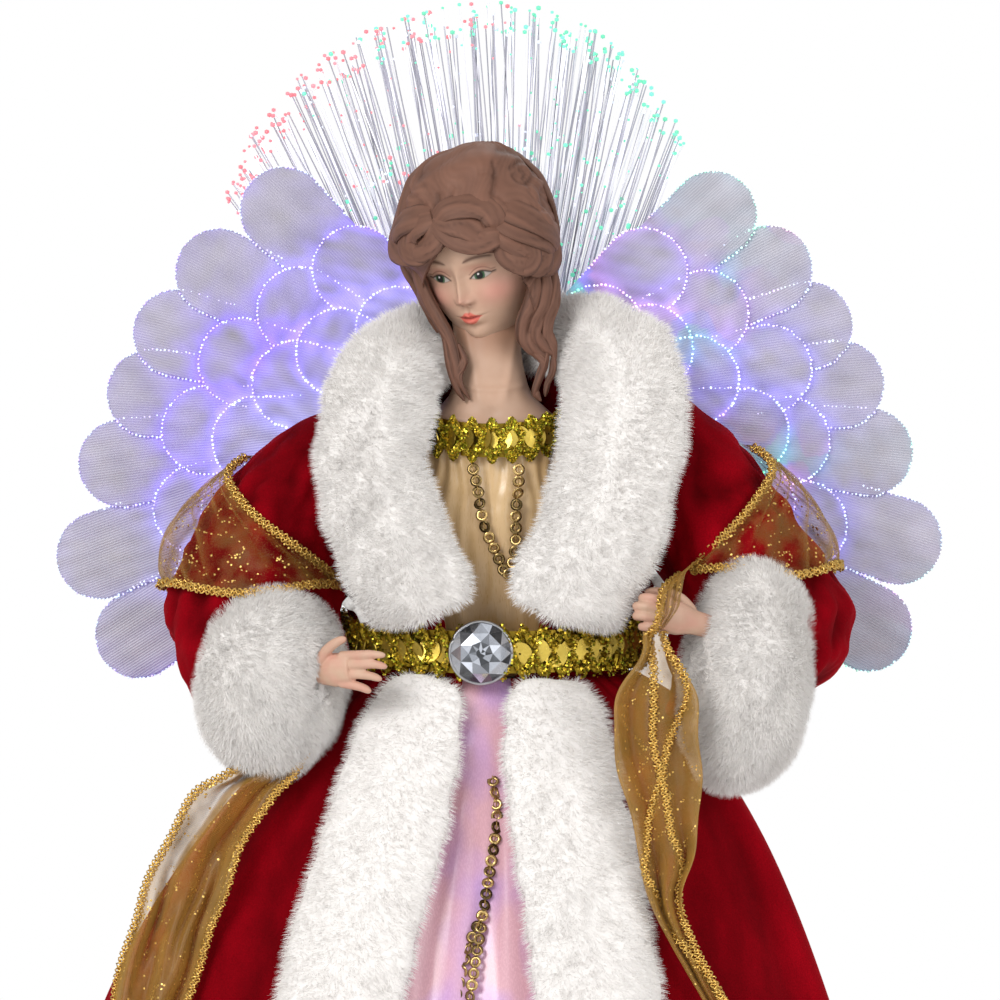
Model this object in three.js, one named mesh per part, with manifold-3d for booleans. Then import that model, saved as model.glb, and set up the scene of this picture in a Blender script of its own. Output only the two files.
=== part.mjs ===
// A table-top angel with fibre optic wings and halo, in millimetres, +Z up.
// The origin is the centre of the standing face under the base, and the angel looks along -Y.
// Her left and right are the viewer's: left pieces have a negative x.
import * as THREE from "three";
import { mergeVertices } from "three/addons/utils/BufferGeometryUtils.js";
import Module from "manifold-3d";

const wasm = await Module();
wasm.setup();

// Gaps and cutting
const SEAT = 0.35; // gap between a piece and what carries it
const SOFT_GAP = 0.5; // gap that fur and cloth keep to the piece they lie on
const OVERRUN = 5; // how far a cutter runs past what it cuts

// Base housing
const BASE_RADIUS = 60;
const BASE_HEIGHT = 36;
const BASE_WALL = 2.2;
const FOOT_HEIGHT = 3.6;
const FOOT_WIDTH = 8;
const FLOOR_THICKNESS = 2.4;
const LID_THICKNESS = 2.4;
const LID_LIP_HEIGHT = 3.5;
const LID_LIP_WALL = 1.6;

// Cells and their compartment
const CELL_RADIUS = 7.1;
const CELL_LENGTH = 50;
const CELL_PITCH = 15.4;
const CELL_TIP_RADIUS = 2.7;
const CELL_TIP_HEIGHT = 1.2;
const CELL_COUNT = 3;
const BAY_HALF_WIDTH = 25;
const BAY_HALF_LENGTH = 28;
const BAY_WALL = 1.6;
const BAY_ROOF_HEIGHT = 19.4;
const CONTACT_THICKNESS = 0.6;
const CONTACT_HEIGHT = 11;
const CONTACT_NUB_RADIUS = 2.4;

// Battery cover and its rails
const COVER_HALF_WIDTH = 31.5;
const COVER_HALF_LENGTH = 30.5;
const COVER_EDGE = 1.3;
const COVER_THICKNESS = 3.3;
const COVER_TONGUE = 2.1;
const COVER_RIDGE_COUNT = 4;
const COVER_RIDGE_WIDTH = 24;
const COVER_RIDGE_DEPTH = 0.5;
const COVER_RIDGE_PITCH = 2.4;
const RAIL_WIDTH = 3;
const RAIL_LENGTH = 80;
const LIP_THICKNESS = 0.9;

// Power switch
const SWITCH_OUT = 43;
const SWITCH_WIDTH = 7;
const SWITCH_LENGTH = 15;
const SWITCH_HEIGHT = 6;
const SWITCH_SLOT_DEPTH = 2.4;
const KNOB_WIDTH = 3.2;
const KNOB_LENGTH = 3;
const KNOB_CLEARANCE = 0.4;
const KNOB_TRAVEL = 5;
const KNOB_TIP_HEIGHT = 1.4;

// Circuit board and lamps
const BOARD_HALF_WIDTH = 22;
const BOARD_HALF_DEPTH = 13;
const BOARD_THICKNESS = 1.6;
const STANDOFF_RADIUS = 2.2;
const STANDOFF_HEIGHT = 6;
const STANDOFF_INSET = 5;
const LAMP_RADIUS = 2.5;
const LAMP_FLANGE_RADIUS = 2.9;
const LAMP_FLANGE_HEIGHT = 1;
const LAMP_BODY_HEIGHT = 5.4;
const LAMP_PITCH = 14;
const LAMP_HOLE_RADIUS = 3.2;

// Fibre trunks
const TRUNK_RADIUS = 3.6;
const SOCKET_WALL = 1.5;
const SOCKET_HEIGHT = 9;
const TRUNK_BACK = 17.5; // how far behind the middle the trunks climb through the waist
const TRUNK_PITCH = 8;

// Cone and waist
const CONE_WALL = 1.6;
const CONE_FOOT_HEIGHT = 6;
const CONE_TOP_RADIUS = 25.6;
const WAIST_HEIGHT = 203.5;
const WAIST_BLOCK_HEIGHT = 13.5; // the foam block between the cone and the waist
const CONE_TOP_HEIGHT = WAIST_HEIGHT - WAIST_BLOCK_HEIGHT;

// Skirts
const HEM_HEIGHT = 2;
const WAIST_HALF_WIDTH = 40;
const WAIST_HALF_DEPTH = 28;
const HEM_SPREAD_LEFT = 92;
const HIP_SPREAD_RIGHT = 28;
const HEM_SPREAD_RIGHT = 64;
const HEM_SPREAD_DEPTH = 51;
const FLARE_LEFT = 2.5;
const FLARE_HIP = 7;
const FLARE_DEPTH = 1.9;
const ROBE_CLOTH = 2;
const ROBE_FOLD_DEPTH = 3.4;
const ROBE_FOLDS = 14;
const SATIN_CLOTH = 1.2;
const UNDERSKIRT_INSET = 7.2;
const UNDERSKIRT_FOLD_DEPTH = 1.2;
const UNDERSKIRT_FOLDS = 9;

// Fur trims down the front opening
const TRIM_TOP_LEFT = 18.6; // from the middle to the strip's middle, at the waist
const TRIM_TOP_RIGHT = 15.6;
const TRIM_SPREAD_LEFT = 56; // how much further out the strip's middle is at the hem
const TRIM_SPREAD_RIGHT = 33;
const TRIM_HALF_WIDTH = 20.5;
const TRIM_HALF_THICKNESS = 7;
const TRIM_TOP_SHARE = 0.012;
const TRIM_END_SHARE = 0.97;
const TRIM_TUCK = 10; // how far the robe's edge reaches past the strip's middle

// Torso, bodices and bust
const TORSO_HALF_WIDTH = 31;
const TORSO_HALF_DEPTH = 15.5;
const TORSO_FORWARD = 4;
const TORSO_RISE = 58.5; // from the waist to the foam torso's top
const SATIN_RISE = 11; // above the torso's top, as the next two
const BODICE_RISE = 32;
const NECK_RISE = 42;
const TORSO_TOP_HEIGHT = WAIST_HEIGHT + TORSO_RISE;
const SATIN_TOP_HEIGHT = TORSO_TOP_HEIGHT + SATIN_RISE;
const BODICE_TOP_HEIGHT = TORSO_TOP_HEIGHT + BODICE_RISE;
const BODICE_HALF_WIDTH = 46;
const BODICE_HALF_DEPTH = 28;
const OPENING_HALF_WIDTH = 21;
const NECK_RADIUS = 12;
const PLATE_RISE = 28;
const CHIN_HEIGHT = TORSO_TOP_HEIGHT + NECK_RISE;
const HEAD_WIDTH = 53;
const HEAD_DEPTH = 52;
const HEAD_HEIGHT = 60;
const HEAD_OUT = 4.5;
const LOCK_RADIUS = 5;
const LOCK_DROP = 14; // how far the locks hang below the chin

// Collar
const COLLAR_HALF_WIDTH = 19;
const COLLAR_HALF_THICKNESS = 7;
const COLLAR_REACH = 36; // from the middle to the middle of the fur roll on the chest
const COLLAR_OVER = 25.5; // how much taller the collar is than the torso
const COLLAR_RISE = TORSO_RISE + COLLAR_OVER;
const COLLAR_GAP = 18.1; // from the waist to the collar's lower ends
const COLLAR_FOOT = WAIST_HEIGHT + COLLAR_GAP;
const COLLAR_FORWARD = 37;

// Braids, jewel and sequins
const BELT_HALF_WIDTH = 43.8;
const BELT_HALF_DEPTH = 30.3;
const BELT_HEIGHT = 15;
const BELT_THICKNESS = 3;
const BELT_RISE = 8.3; // from the waist to the belt's middle
const BELT_MIDDLE = WAIST_HEIGHT + BELT_RISE;
const BELT_SAG = 5;
const NECK_BRAID_HALF_WIDTH = 21;
const NECK_BRAID_HALF_DEPTH = 17;
const NECK_BRAID_HEIGHT = 12;
const NECK_BRAID_THICKNESS = 3.2;
const NECK_BRAID_RISE = 13; // above the torso's top
const NECK_BRAID_MIDDLE = TORSO_TOP_HEIGHT + NECK_BRAID_RISE;
const NECK_BRAID_SAG = 6;
const JEWEL_RADIUS = 9;
const JEWEL_THICKNESS = 6;
const JEWEL_OUT = 3.3;
const SEQUIN_RADIUS = 1.8;
const SEQUIN_THICKNESS = 0.5;
const SEQUIN_PITCH = 3.9;
const SEQUIN_THREAD_WIDTH = 1.2;

// Arms
const SHOULDER_OUT = 51;
const SHOULDER_RISE = 7; // above the torso's top
const SHOULDER_HEIGHT = TORSO_TOP_HEIGHT + SHOULDER_RISE;
const SHOULDER_DROP = 7; // how much lower she carries her left shoulder
const SHOULDER_RADIUS = 21.5;
const SOCKET_GAP = 0.4;
const SLEEVE_INNER = 45.5; // where the sleeves stop beside the body
const ARM_REACH = 60;
const SLEEVE_RADIUS = 22;
const WIRE_RADIUS = 1.6;
const WIRE_GAP = 0.35;
const CUFF_LEFT_HALF_HEIGHT = 29;
const CUFF_LEFT_HALF_WIDTH = 25;
const CUFF_LEFT_HALF_LENGTH = 19;
const CUFF_LEFT_DROP = 4;
const CUFF_LEFT_OUT = 1.2; // away from the body
const CUFF_RIGHT_HALF_HEIGHT = 36;
const CUFF_RIGHT_HALF_WIDTH = 21;
const CUFF_RIGHT_HALF_LENGTH = 18;
const CUFF_RIGHT_DROP = 12.8;
const CUFF_RIGHT_IN = 0.8; // towards the body
const PALM_RADIUS = 5;
const PALM_LENGTH = 11;
const FINGER_RADIUS = 1.45;
const FINGER_LENGTH = 7.5;

// Shawl
const SHAWL_CLOTH = 1;
const SHAWL_PLEAT = 2.4;
const WRAP_PLEAT = 1.2;
const WRAP_GAP = 1.1;
const WRAP_RISE_LEFT = 7; // from the arm's own shoulder up to the wrap's top edge
const WRAP_RISE_RIGHT = 3;
const WRAP_FALL_LEFT = 29.4; // from the arm's own shoulder down to the wrap's lower edge
const WRAP_FALL_RIGHT = 32;
const WRAP_FRONT_TOP = 88; // degrees from the sleeve's front towards its outer side
const WRAP_FRONT_END_LEFT = -68;
const WRAP_FRONT_END_RIGHT = -35;
const WRAP_BACK = 140;
const TAIL_LEFT_DROP = 104;
const TAIL_LEFT_SPREAD = 46;
const TAIL_RIGHT_DROP = 130;
const TAIL_RIGHT_SPREAD = 44;

// Wings, clamp and halo
const WING_REACH = 142; // from the root to the longest feather's tip
const WING_ROOT_RISE = 19.5; // above the torso's top
const WING_ROOT_HEIGHT = TORSO_TOP_HEIGHT + WING_ROOT_RISE;
const WING_ROOT_OUT = 5;
const FEATHER_HALF_WIDTH = 13.3;
const FEATHER_ROOT_HALF_WIDTH = 7;
const FEATHER_THICKNESS = 0.8;
const BRACKET_FRONT = 27.5;
const BRACKET_THICKNESS = 5.8;
const BRACKET_HALF_WIDTH = 21;
const BRACKET_HALF_HEIGHT = 21;
const POST_HALF_WIDTH = 6;
const POST_HALF_HEIGHT = 4;
const POST_DROP = 13.5; // from the wings' root down to the post's middle
const POST_HEIGHT = WING_ROOT_HEIGHT - POST_DROP;
const PLATE_THICKNESS = 3;
const SCREW_RADIUS = 1.5;
const SCREW_HEAD_RADIUS = 3;
const SCREW_HEAD_HEIGHT = 2;
const SCREW_PITCH = 20;
const SCREW_RISE = 2;
const HALO_ROOT_HALF_WIDTH = 19;
const HALO_ROOT_DEPTH = 6;
const HALO_ROOT_HEIGHT = 8;
const HALO_ROOT_DROP = 15.5; // from the wings' root down to the halo root's top
const HALO_ROOT_TOP = WING_ROOT_HEIGHT - HALO_ROOT_DROP;
const HALO_REACH = 139;
const HALO_DROOP = 26; // how much shorter the outermost fibres reach
const HALO_LAYER_GAP = 1.5;
const HALO_LAYER_SPREAD = 2.4;
const HALO_LAYERS = 4;
const HALO_PER_LAYER = 68;
const FIBRE_RADIUS = 0.19;

// Sides and steps
const ROUND = 30;
const SMALL_ROUND = 10;
const TRUNK_SIDES = 6;
const BODY_SIDES = 16;
const SLEEVE_SIDES = 14;
const FUR_SIDES = 9;
const CUFF_SIDES = 14;
const ROBE_COLUMNS = 44;
const SATIN_COLUMNS = 30;
const SKIRT_ROWS = 7;

const DEGREE = Math.PI / 180;
const sideName = (side) => (side < 0 ? "left" : "right");
const v3 = (x, y, z) => new THREE.Vector3(x, y, z);
const turns = (count) => Array.from({ length: count }, (_, i) => (2 * Math.PI * i) / count);
const steps = (count) => Array.from({ length: count }, (_, i) => i / (count - 1));
const mix = THREE.MathUtils.lerp;

// Geometry as a solid that can be joined and cut, turned to face out.
function solidOf(geometry) {
  const bare = geometry.index ? geometry.toNonIndexed() : geometry.clone();
  bare.deleteAttribute("normal");
  bare.deleteAttribute("uv");
  const merged = mergeVertices(bare, 1e-4);
  const points = merged.attributes.position.array;
  const corners = new Uint32Array(merged.index.array).filter((_, i, all) => {
    const [a, b, c] = all.subarray(i - (i % 3), i - (i % 3) + 3);
    return a !== b && b !== c && c !== a;
  });
  let volume = 0;
  const at = (k) => v3(points[3 * k], points[3 * k + 1], points[3 * k + 2]);
  for (let i = 0; i < corners.length; i += 3) {
    volume += at(corners[i]).dot(at(corners[i + 1]).cross(at(corners[i + 2])));
  }
  if (volume < 0) {
    corners.reverse();
  }
  return new wasm.Manifold(
    new wasm.Mesh({ numProp: 3, vertProperties: points, triVerts: corners }),
  );
}

function geometryOf(solid) {
  const made = solid.getMesh();
  const geometry = new THREE.BufferGeometry();
  geometry.setAttribute(
    "position",
    new THREE.BufferAttribute(new Float32Array(made.vertProperties), 3),
  );
  geometry.setIndex(new THREE.BufferAttribute(new Uint32Array(made.triVerts), 1));
  geometry.computeVertexNormals();
  return geometry;
}

// What is left of a solid after the cuts, without the slivers that a cut sets loose.
function cut(solid, ...tools) {
  const left = tools.reduce((kept, tool) => kept.subtract(tool), solid);
  return left.decompose().sort((a, b) => b.volume() - a.volume())[0];
}

const join = (...solids) => solids.reduce((all, one) => all.add(one));

// A closed surface over a list of points and their triangles.
function surface(points, triangles) {
  const geometry = new THREE.BufferGeometry().setFromPoints(points);
  geometry.setIndex(triangles);
  return solidOf(geometry);
}

// A skin over rings of points, closed by a fan at each end, or end to end if it is a loop.
function loft(rings, isLoop = false) {
  const sides = rings[0].length;
  const points = rings.flat();
  const triangles = [];
  const last = isLoop ? rings.length : rings.length - 1;
  for (let i = 0; i < last; i += 1) {
    const next = (i + 1) % rings.length;
    for (let j = 0; j < sides; j += 1) {
      const a = i * sides + j;
      const b = i * sides + ((j + 1) % sides);
      const c = next * sides + j;
      const d = next * sides + ((j + 1) % sides);
      triangles.push(a, b, c, b, d, c);
    }
  }
  if (!isLoop) {
    [0, rings.length - 1].forEach((row) => {
      const middle = rings[row].reduce((sum, p) => sum.add(p), v3(0, 0, 0)).divideScalar(sides);
      const hub = points.push(middle) - 1;
      for (let j = 0; j < sides; j += 1) {
        const a = row * sides + j;
        const b = row * sides + ((j + 1) % sides);
        triangles.push(...(row === 0 ? [hub, b, a] : [hub, a, b]));
      }
    });
  }
  return surface(points, triangles);
}

// A sheet between two grids of points that face each other, with its four edges closed.
function slab(front, back) {
  const rows = front.length;
  const columns = front[0].length;
  const points = [...front.flat(), ...back.flat()];
  const behind = rows * columns;
  const triangles = [];
  const quad = (a, b, c, d) => triangles.push(a, b, c, b, d, c);
  for (let i = 0; i < rows - 1; i += 1) {
    for (let j = 0; j < columns - 1; j += 1) {
      const a = i * columns + j;
      quad(a, a + 1, a + columns, a + columns + 1);
      quad(behind + a + 1, behind + a, behind + a + columns + 1, behind + a + columns);
    }
  }
  for (let j = 0; j < columns - 1; j += 1) {
    const low = (rows - 1) * columns + j;
    quad(j + 1, j, behind + j + 1, behind + j);
    quad(low, low + 1, behind + low, behind + low + 1);
  }
  for (let i = 0; i < rows - 1; i += 1) {
    const a = i * columns;
    const b = a + columns - 1;
    quad(a, a + columns, behind + a, behind + a + columns);
    quad(b + columns, b, behind + b + columns, behind + b);
  }
  return surface(points, triangles);
}

// An oval ring of points round a middle, spread along two directions.
function oval(middle, across, up, halfAcross, halfUp, sides) {
  return Array.from({ length: sides }, (_, i) => {
    const turn = (2 * Math.PI * i) / sides;
    return middle
      .clone()
      .addScaledVector(across, halfAcross * Math.cos(turn))
      .addScaledVector(up, halfUp * Math.sin(turn));
  });
}

// Level ovals on top of each other. Each level is {z, halfWidth, halfDepth, x, y}.
function stack(levels, sides, grow = 0) {
  const last = levels.length - 1;
  return loft(
    levels.map(({ z, halfWidth, halfDepth, x = 0, y = 0 }, i) => {
      const lift = (i === last) * grow - (i === 0) * grow;
      const middle = v3(x, y, z + lift);
      return oval(middle, v3(1, 0, 0), v3(0, 1, 0), halfWidth + grow, halfDepth + grow, sides);
    }),
  );
}

// The frame of an oval on a smooth path through stations {at, across, wide, thick}.
function pathFrame(stations) {
  const middles = new THREE.CatmullRomCurve3(stations.map((s) => s.at));
  const sideways = new THREE.CatmullRomCurve3(stations.map((s) => s.across));
  const sizes = new THREE.CatmullRomCurve3(stations.map((s) => v3(s.wide, s.thick, 0)));
  return (share) => {
    const along = middles.getTangent(share);
    const out = along.clone().cross(sideways.getPoint(share)).normalize();
    const size = sizes.getPoint(share);
    const across = out.clone().cross(along).normalize();
    return { middle: middles.getPoint(share), along, across, out, wide: size.x, thick: size.y };
  };
}

// A rounded roll along such a path. Growing it thickens it and lengthens both ends.
function sweep(stations, rings, sides, grow = 0) {
  const frame = pathFrame(stations);
  return loft(
    steps(rings).map((share) => {
      const { middle, along, across, out, wide, thick } = frame(share);
      middle.addScaledVector(along, ((share === 1) - (share === 0)) * grow);
      return oval(middle, across, out, wide + grow, thick + grow, sides);
    }),
  );
}

// A round limb with a blunt round tip through points [at, radius].
function limb(places, sides = 8) {
  const last = places.length - 1;
  const tangentAt = (i) =>
    places[Math.min(i + 1, last)][0].clone().sub(places[Math.max(i - 1, 0)][0]).normalize();
  const along = tangentAt(0);
  const start = v3(along.z, along.x, along.y);
  const ring = (i, reach, shrink) => {
    const [at, radius] = places[i];
    const tangent = tangentAt(i);
    const across = start.clone().cross(tangent).normalize();
    const up = tangent.clone().cross(across);
    const middle = at.clone().addScaledVector(tangent, reach * radius);
    return oval(middle, across, up, radius * shrink, radius * shrink, sides);
  };
  return loft([...places.map((_, i) => ring(i, 0, 1)), ring(last, Math.SQRT1_2, Math.SQRT1_2)]);
}

function boxAt(lowX, highX, lowY, highY, lowZ, highZ) {
  const geometry = new THREE.BoxGeometry(highX - lowX, highY - lowY, highZ - lowZ);
  geometry.translate((lowX + highX) / 2, (lowY + highY) / 2, (lowZ + highZ) / 2);
  return solidOf(geometry);
}

function upright(radius, lowZ, highZ, x = 0, y = 0, sides = ROUND) {
  const geometry = new THREE.CylinderGeometry(radius, radius, highZ - lowZ, sides);
  geometry.rotateX(Math.PI / 2);
  geometry.translate(x, y, (lowZ + highZ) / 2);
  return solidOf(geometry);
}

function ball(middle, radius) {
  const geometry = new THREE.SphereGeometry(radius, SLEEVE_SIDES, SLEEVE_SIDES / 2);
  geometry.translate(middle.x, middle.y, middle.z);
  return solidOf(geometry);
}

// A turned piece from [radius, height] pairs, with its axis along Z.
function turned(profile, sides = ROUND) {
  const geometry = new THREE.LatheGeometry(
    profile.map(([radius, height]) => new THREE.Vector2(radius, height)),
    sides,
  );
  geometry.rotateX(Math.PI / 2);
  return solidOf(geometry);
}

function tube(points, radius, count, sides = 8) {
  const section = new THREE.Shape(
    Array.from({ length: sides }, (_, i) => {
      const turn = (2 * Math.PI * i) / sides;
      return new THREE.Vector2(radius * Math.cos(turn), radius * Math.sin(turn));
    }),
  );
  return solidOf(
    new THREE.ExtrudeGeometry(section, {
      steps: count,
      extrudePath: new THREE.CatmullRomCurve3(points),
    }),
  );
}

function finish(color, roughness, metalness = 0, opacity = 1) {
  const isClear = opacity < 1;
  return new THREE.MeshStandardMaterial({ color, roughness, metalness, opacity, transparent: isClear });
}

const finishes = {
  mould: finish(0xe8e6e0, 0.5),
  dark: finish(0x2a2a2c, 0.5),
  board: finish(0x1f6b3a, 0.6),
  steel: finish(0xb8babd, 0.35, 0.9),
  cell: finish(0x3c4a55, 0.4, 0.3),
  lamp: finish(0xdfe6f4, 0.1, 0, 0.6),
  fibre: finish(0xdcd8e6, 0.15, 0, 0.6),
  feather: finish(0xcfc9d8, 0.35, 0, 0.85),
  card: finish(0xd9cfba, 0.9),
  foam: finish(0xeceae4, 0.9),
  resin: finish(0xd8b196, 0.55),
  velvet: finish(0x8c0010, 0.85),
  fur: finish(0xf1efed, 0.95),
  goldSatin: finish(0xcfae72, 0.35),
  pinkSatin: finish(0xd9b3c6, 0.35),
  gold: finish(0xb8962a, 0.3, 0.8),
  organza: finish(0xb98a3a, 0.5, 0, 0.55),
  crystal: finish(0xb8c6d0, 0.05, 0.3),
};

function piece(name, solid, material) {
  const mesh = new THREE.Mesh(geometryOf(solid), material);
  mesh.name = name;
  return mesh;
}

// Base: housing, lid, cells, cover, switch, board and lamps

const floorTop = FOOT_HEIGHT + FLOOR_THICKNESS;
const coverTop = FOOT_HEIGHT - SEAT;
const bayOuterTop = BAY_ROOF_HEIGHT + BAY_WALL;
const boardBottom = bayOuterTop + STANDOFF_HEIGHT + SEAT;
const lidTop = BASE_HEIGHT + SEAT + LID_THICKNESS;
const socketRadius = TRUNK_RADIUS + SEAT;
const channelHalfWidth = COVER_HALF_WIDTH + SEAT;
const lampPlaces = [-LAMP_PITCH, 0, LAMP_PITCH];

function standoffPlaces() {
  const x = BOARD_HALF_WIDTH - STANDOFF_INSET;
  const y = BOARD_HALF_DEPTH - STANDOFF_INSET;
  return [[-x, -y], [x, -y], [-x, y], [x, y]];
}

function baseHousing() {
  const foot = FOOT_HEIGHT;
  const rails = [-1, 1].map((side) => {
    const inner = channelHalfWidth;
    const outer = inner + RAIL_WIDTH;
    const lip = COVER_HALF_WIDTH - COVER_TONGUE + SEAT;
    const back = RAIL_LENGTH - COVER_HALF_LENGTH;
    const lipTop = coverTop - COVER_EDGE - SEAT;
    const span = (low, high) => (side < 0 ? [-high, -low] : [low, high]);
    return join(
      boxAt(...span(inner, outer), -COVER_HALF_LENGTH, back, lipTop - LIP_THICKNESS, floorTop),
      boxAt(...span(lip, outer), -COVER_HALF_LENGTH, back, lipTop - LIP_THICKNESS, lipTop),
    );
  });
  const shell = cut(
    upright(BASE_RADIUS, 0, BASE_HEIGHT),
    upright(BASE_RADIUS - BASE_WALL, floorTop, BASE_HEIGHT + OVERRUN),
    upright(BASE_RADIUS - FOOT_WIDTH, -OVERRUN, foot),
    boxAt(
      -channelHalfWidth,
      channelHalfWidth,
      -COVER_HALF_LENGTH - SEAT,
      BASE_RADIUS + OVERRUN,
      -OVERRUN,
      foot,
    ),
  );
  const bay = boxAt(
    -BAY_HALF_WIDTH - BAY_WALL,
    BAY_HALF_WIDTH + BAY_WALL,
    -BAY_HALF_LENGTH - BAY_WALL,
    BAY_HALF_LENGTH + BAY_WALL,
    floorTop - FLOOR_THICKNESS / 2,
    bayOuterTop,
  );
  const standoffs = standoffPlaces().map(([x, y]) =>
    upright(STANDOFF_RADIUS, BAY_ROOF_HEIGHT + BAY_WALL / 2, boardBottom - SEAT, x, y, SMALL_ROUND),
  );
  return cut(
    join(shell, bay, ...rails, ...standoffs),
    boxAt(
      -BAY_HALF_WIDTH,
      BAY_HALF_WIDTH,
      -BAY_HALF_LENGTH,
      BAY_HALF_LENGTH,
      foot - OVERRUN,
      BAY_ROOF_HEIGHT,
    ),
    boxAt(
      SWITCH_OUT - KNOB_WIDTH / 2 - KNOB_CLEARANCE,
      SWITCH_OUT + KNOB_WIDTH / 2 + KNOB_CLEARANCE,
      -(KNOB_LENGTH + KNOB_TRAVEL) / 2 - KNOB_CLEARANCE,
      (KNOB_LENGTH + KNOB_TRAVEL) / 2 + KNOB_CLEARANCE,
      foot - OVERRUN,
      floorTop + OVERRUN,
    ),
  );
}

function baseLid() {
  const bottom = BASE_HEIGHT + SEAT;
  const lipRadius = BASE_RADIUS - BASE_WALL - SEAT;
  const disc = upright(BASE_RADIUS, bottom, lidTop);
  const lip = cut(
    upright(lipRadius, bottom - LID_LIP_HEIGHT, bottom + LID_THICKNESS / 2),
    upright(lipRadius - LID_LIP_WALL, bottom - LID_LIP_HEIGHT - OVERRUN, bottom),
  );
  const sockets = lampPlaces.map((x) =>
    upright(socketRadius + SOCKET_WALL, bottom, lidTop + SOCKET_HEIGHT, x, 0, SMALL_ROUND),
  );
  const bores = lampPlaces.flatMap((x) => [
    upright(LAMP_HOLE_RADIUS, bottom - OVERRUN, lidTop + OVERRUN, x, 0, SMALL_ROUND),
    upright(socketRadius, lidTop, lidTop + SOCKET_HEIGHT + OVERRUN, x, 0, SMALL_ROUND),
  ]);
  return cut(join(disc, lip, ...sockets), ...bores);
}

function batteryCover() {
  const inner = COVER_HALF_WIDTH - COVER_TONGUE;
  const y = COVER_HALF_LENGTH;
  const bottom = coverTop - COVER_THICKNESS;
  const ridges = Array.from({ length: COVER_RIDGE_COUNT }, (_, i) => {
    const back = y - COVER_RIDGE_PITCH * (2 * i + 2);
    const half = COVER_RIDGE_WIDTH / 2;
    return boxAt(
      -half,
      half,
      back - COVER_RIDGE_PITCH / 2,
      back + COVER_RIDGE_PITCH / 2,
      bottom - OVERRUN,
      bottom + COVER_RIDGE_DEPTH,
    );
  });
  return cut(
    join(
      boxAt(-COVER_HALF_WIDTH, COVER_HALF_WIDTH, -y, y, coverTop - COVER_EDGE, coverTop),
      boxAt(-inner, inner, -y, y, bottom, coverTop),
    ),
    ...ridges,
  );
}

const cellHeight = coverTop + SEAT + CELL_RADIUS;

// One round cell, lying along Y with its tip towards the front.
function cell() {
  const half = CELL_LENGTH / 2;
  const lying = turned(
    [
      [0, -half],
      [CELL_RADIUS, -half],
      [CELL_RADIUS, half - CELL_TIP_HEIGHT],
      [CELL_TIP_RADIUS, half - CELL_TIP_HEIGHT],
      [CELL_TIP_RADIUS, half],
      [0, half],
    ],
    SMALL_ROUND,
  );
  return geometryOf(lying).rotateX(Math.PI / 2);
}

// A contact strip across the end of the bay, with a nub pressed towards each cell.
function contactStrip(side) {
  const inner = CELL_LENGTH / 2 + SEAT;
  const outer = BAY_HALF_LENGTH - SEAT;
  const plate = boxAt(
    -BAY_HALF_WIDTH + SEAT,
    BAY_HALF_WIDTH - SEAT,
    outer - CONTACT_THICKNESS,
    outer,
    cellHeight - CONTACT_HEIGHT / 2,
    cellHeight + CONTACT_HEIGHT / 2,
  );
  const nubs = cellPlaces().map((x) => {
    const nub = new THREE.CylinderGeometry(CONTACT_NUB_RADIUS, CONTACT_NUB_RADIUS, outer - inner, 10);
    nub.translate(x, (inner + outer) / 2, cellHeight);
    return solidOf(nub);
  });
  return geometryOf(join(plate, ...nubs)).rotateZ(side > 0 ? 0 : Math.PI);
}

function cellPlaces() {
  return Array.from({ length: CELL_COUNT }, (_, i) => (i - (CELL_COUNT - 1) / 2) * CELL_PITCH);
}

function switchBody() {
  const bottom = floorTop + SEAT;
  const slot = (KNOB_LENGTH + KNOB_TRAVEL) / 2 + KNOB_CLEARANCE;
  return cut(
    boxAt(
      SWITCH_OUT - SWITCH_WIDTH / 2,
      SWITCH_OUT + SWITCH_WIDTH / 2,
      -SWITCH_LENGTH / 2,
      SWITCH_LENGTH / 2,
      bottom,
      bottom + SWITCH_HEIGHT,
    ),
    boxAt(
      SWITCH_OUT - KNOB_WIDTH / 2 - KNOB_CLEARANCE,
      SWITCH_OUT + KNOB_WIDTH / 2 + KNOB_CLEARANCE,
      -slot,
      slot,
      bottom - OVERRUN,
      bottom + SWITCH_SLOT_DEPTH,
    ),
  );
}

// The knob stands at the off end of its slot, towards the front.
function switchKnob() {
  const top = floorTop + SEAT + SWITCH_SLOT_DEPTH - KNOB_CLEARANCE;
  const front = -(KNOB_LENGTH + KNOB_TRAVEL) / 2;
  return boxAt(
    SWITCH_OUT - KNOB_WIDTH / 2,
    SWITCH_OUT + KNOB_WIDTH / 2,
    front,
    front + KNOB_LENGTH,
    KNOB_TIP_HEIGHT,
    top,
  );
}

function lamp() {
  const shoulder = LAMP_FLANGE_HEIGHT + LAMP_BODY_HEIGHT;
  const dome = steps(4).map((share) => {
    const turn = (share * Math.PI) / 2;
    return [LAMP_RADIUS * Math.cos(turn), shoulder + LAMP_RADIUS * Math.sin(turn)];
  });
  return geometryOf(
    turned(
      [
        [0, 0],
        [LAMP_FLANGE_RADIUS, 0],
        [LAMP_FLANGE_RADIUS, LAMP_FLANGE_HEIGHT],
        [LAMP_RADIUS, LAMP_FLANGE_HEIGHT],
        ...dome.slice(0, -1),
        [0, shoulder + LAMP_RADIUS],
      ],
      SMALL_ROUND,
    ),
  );
}

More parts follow.
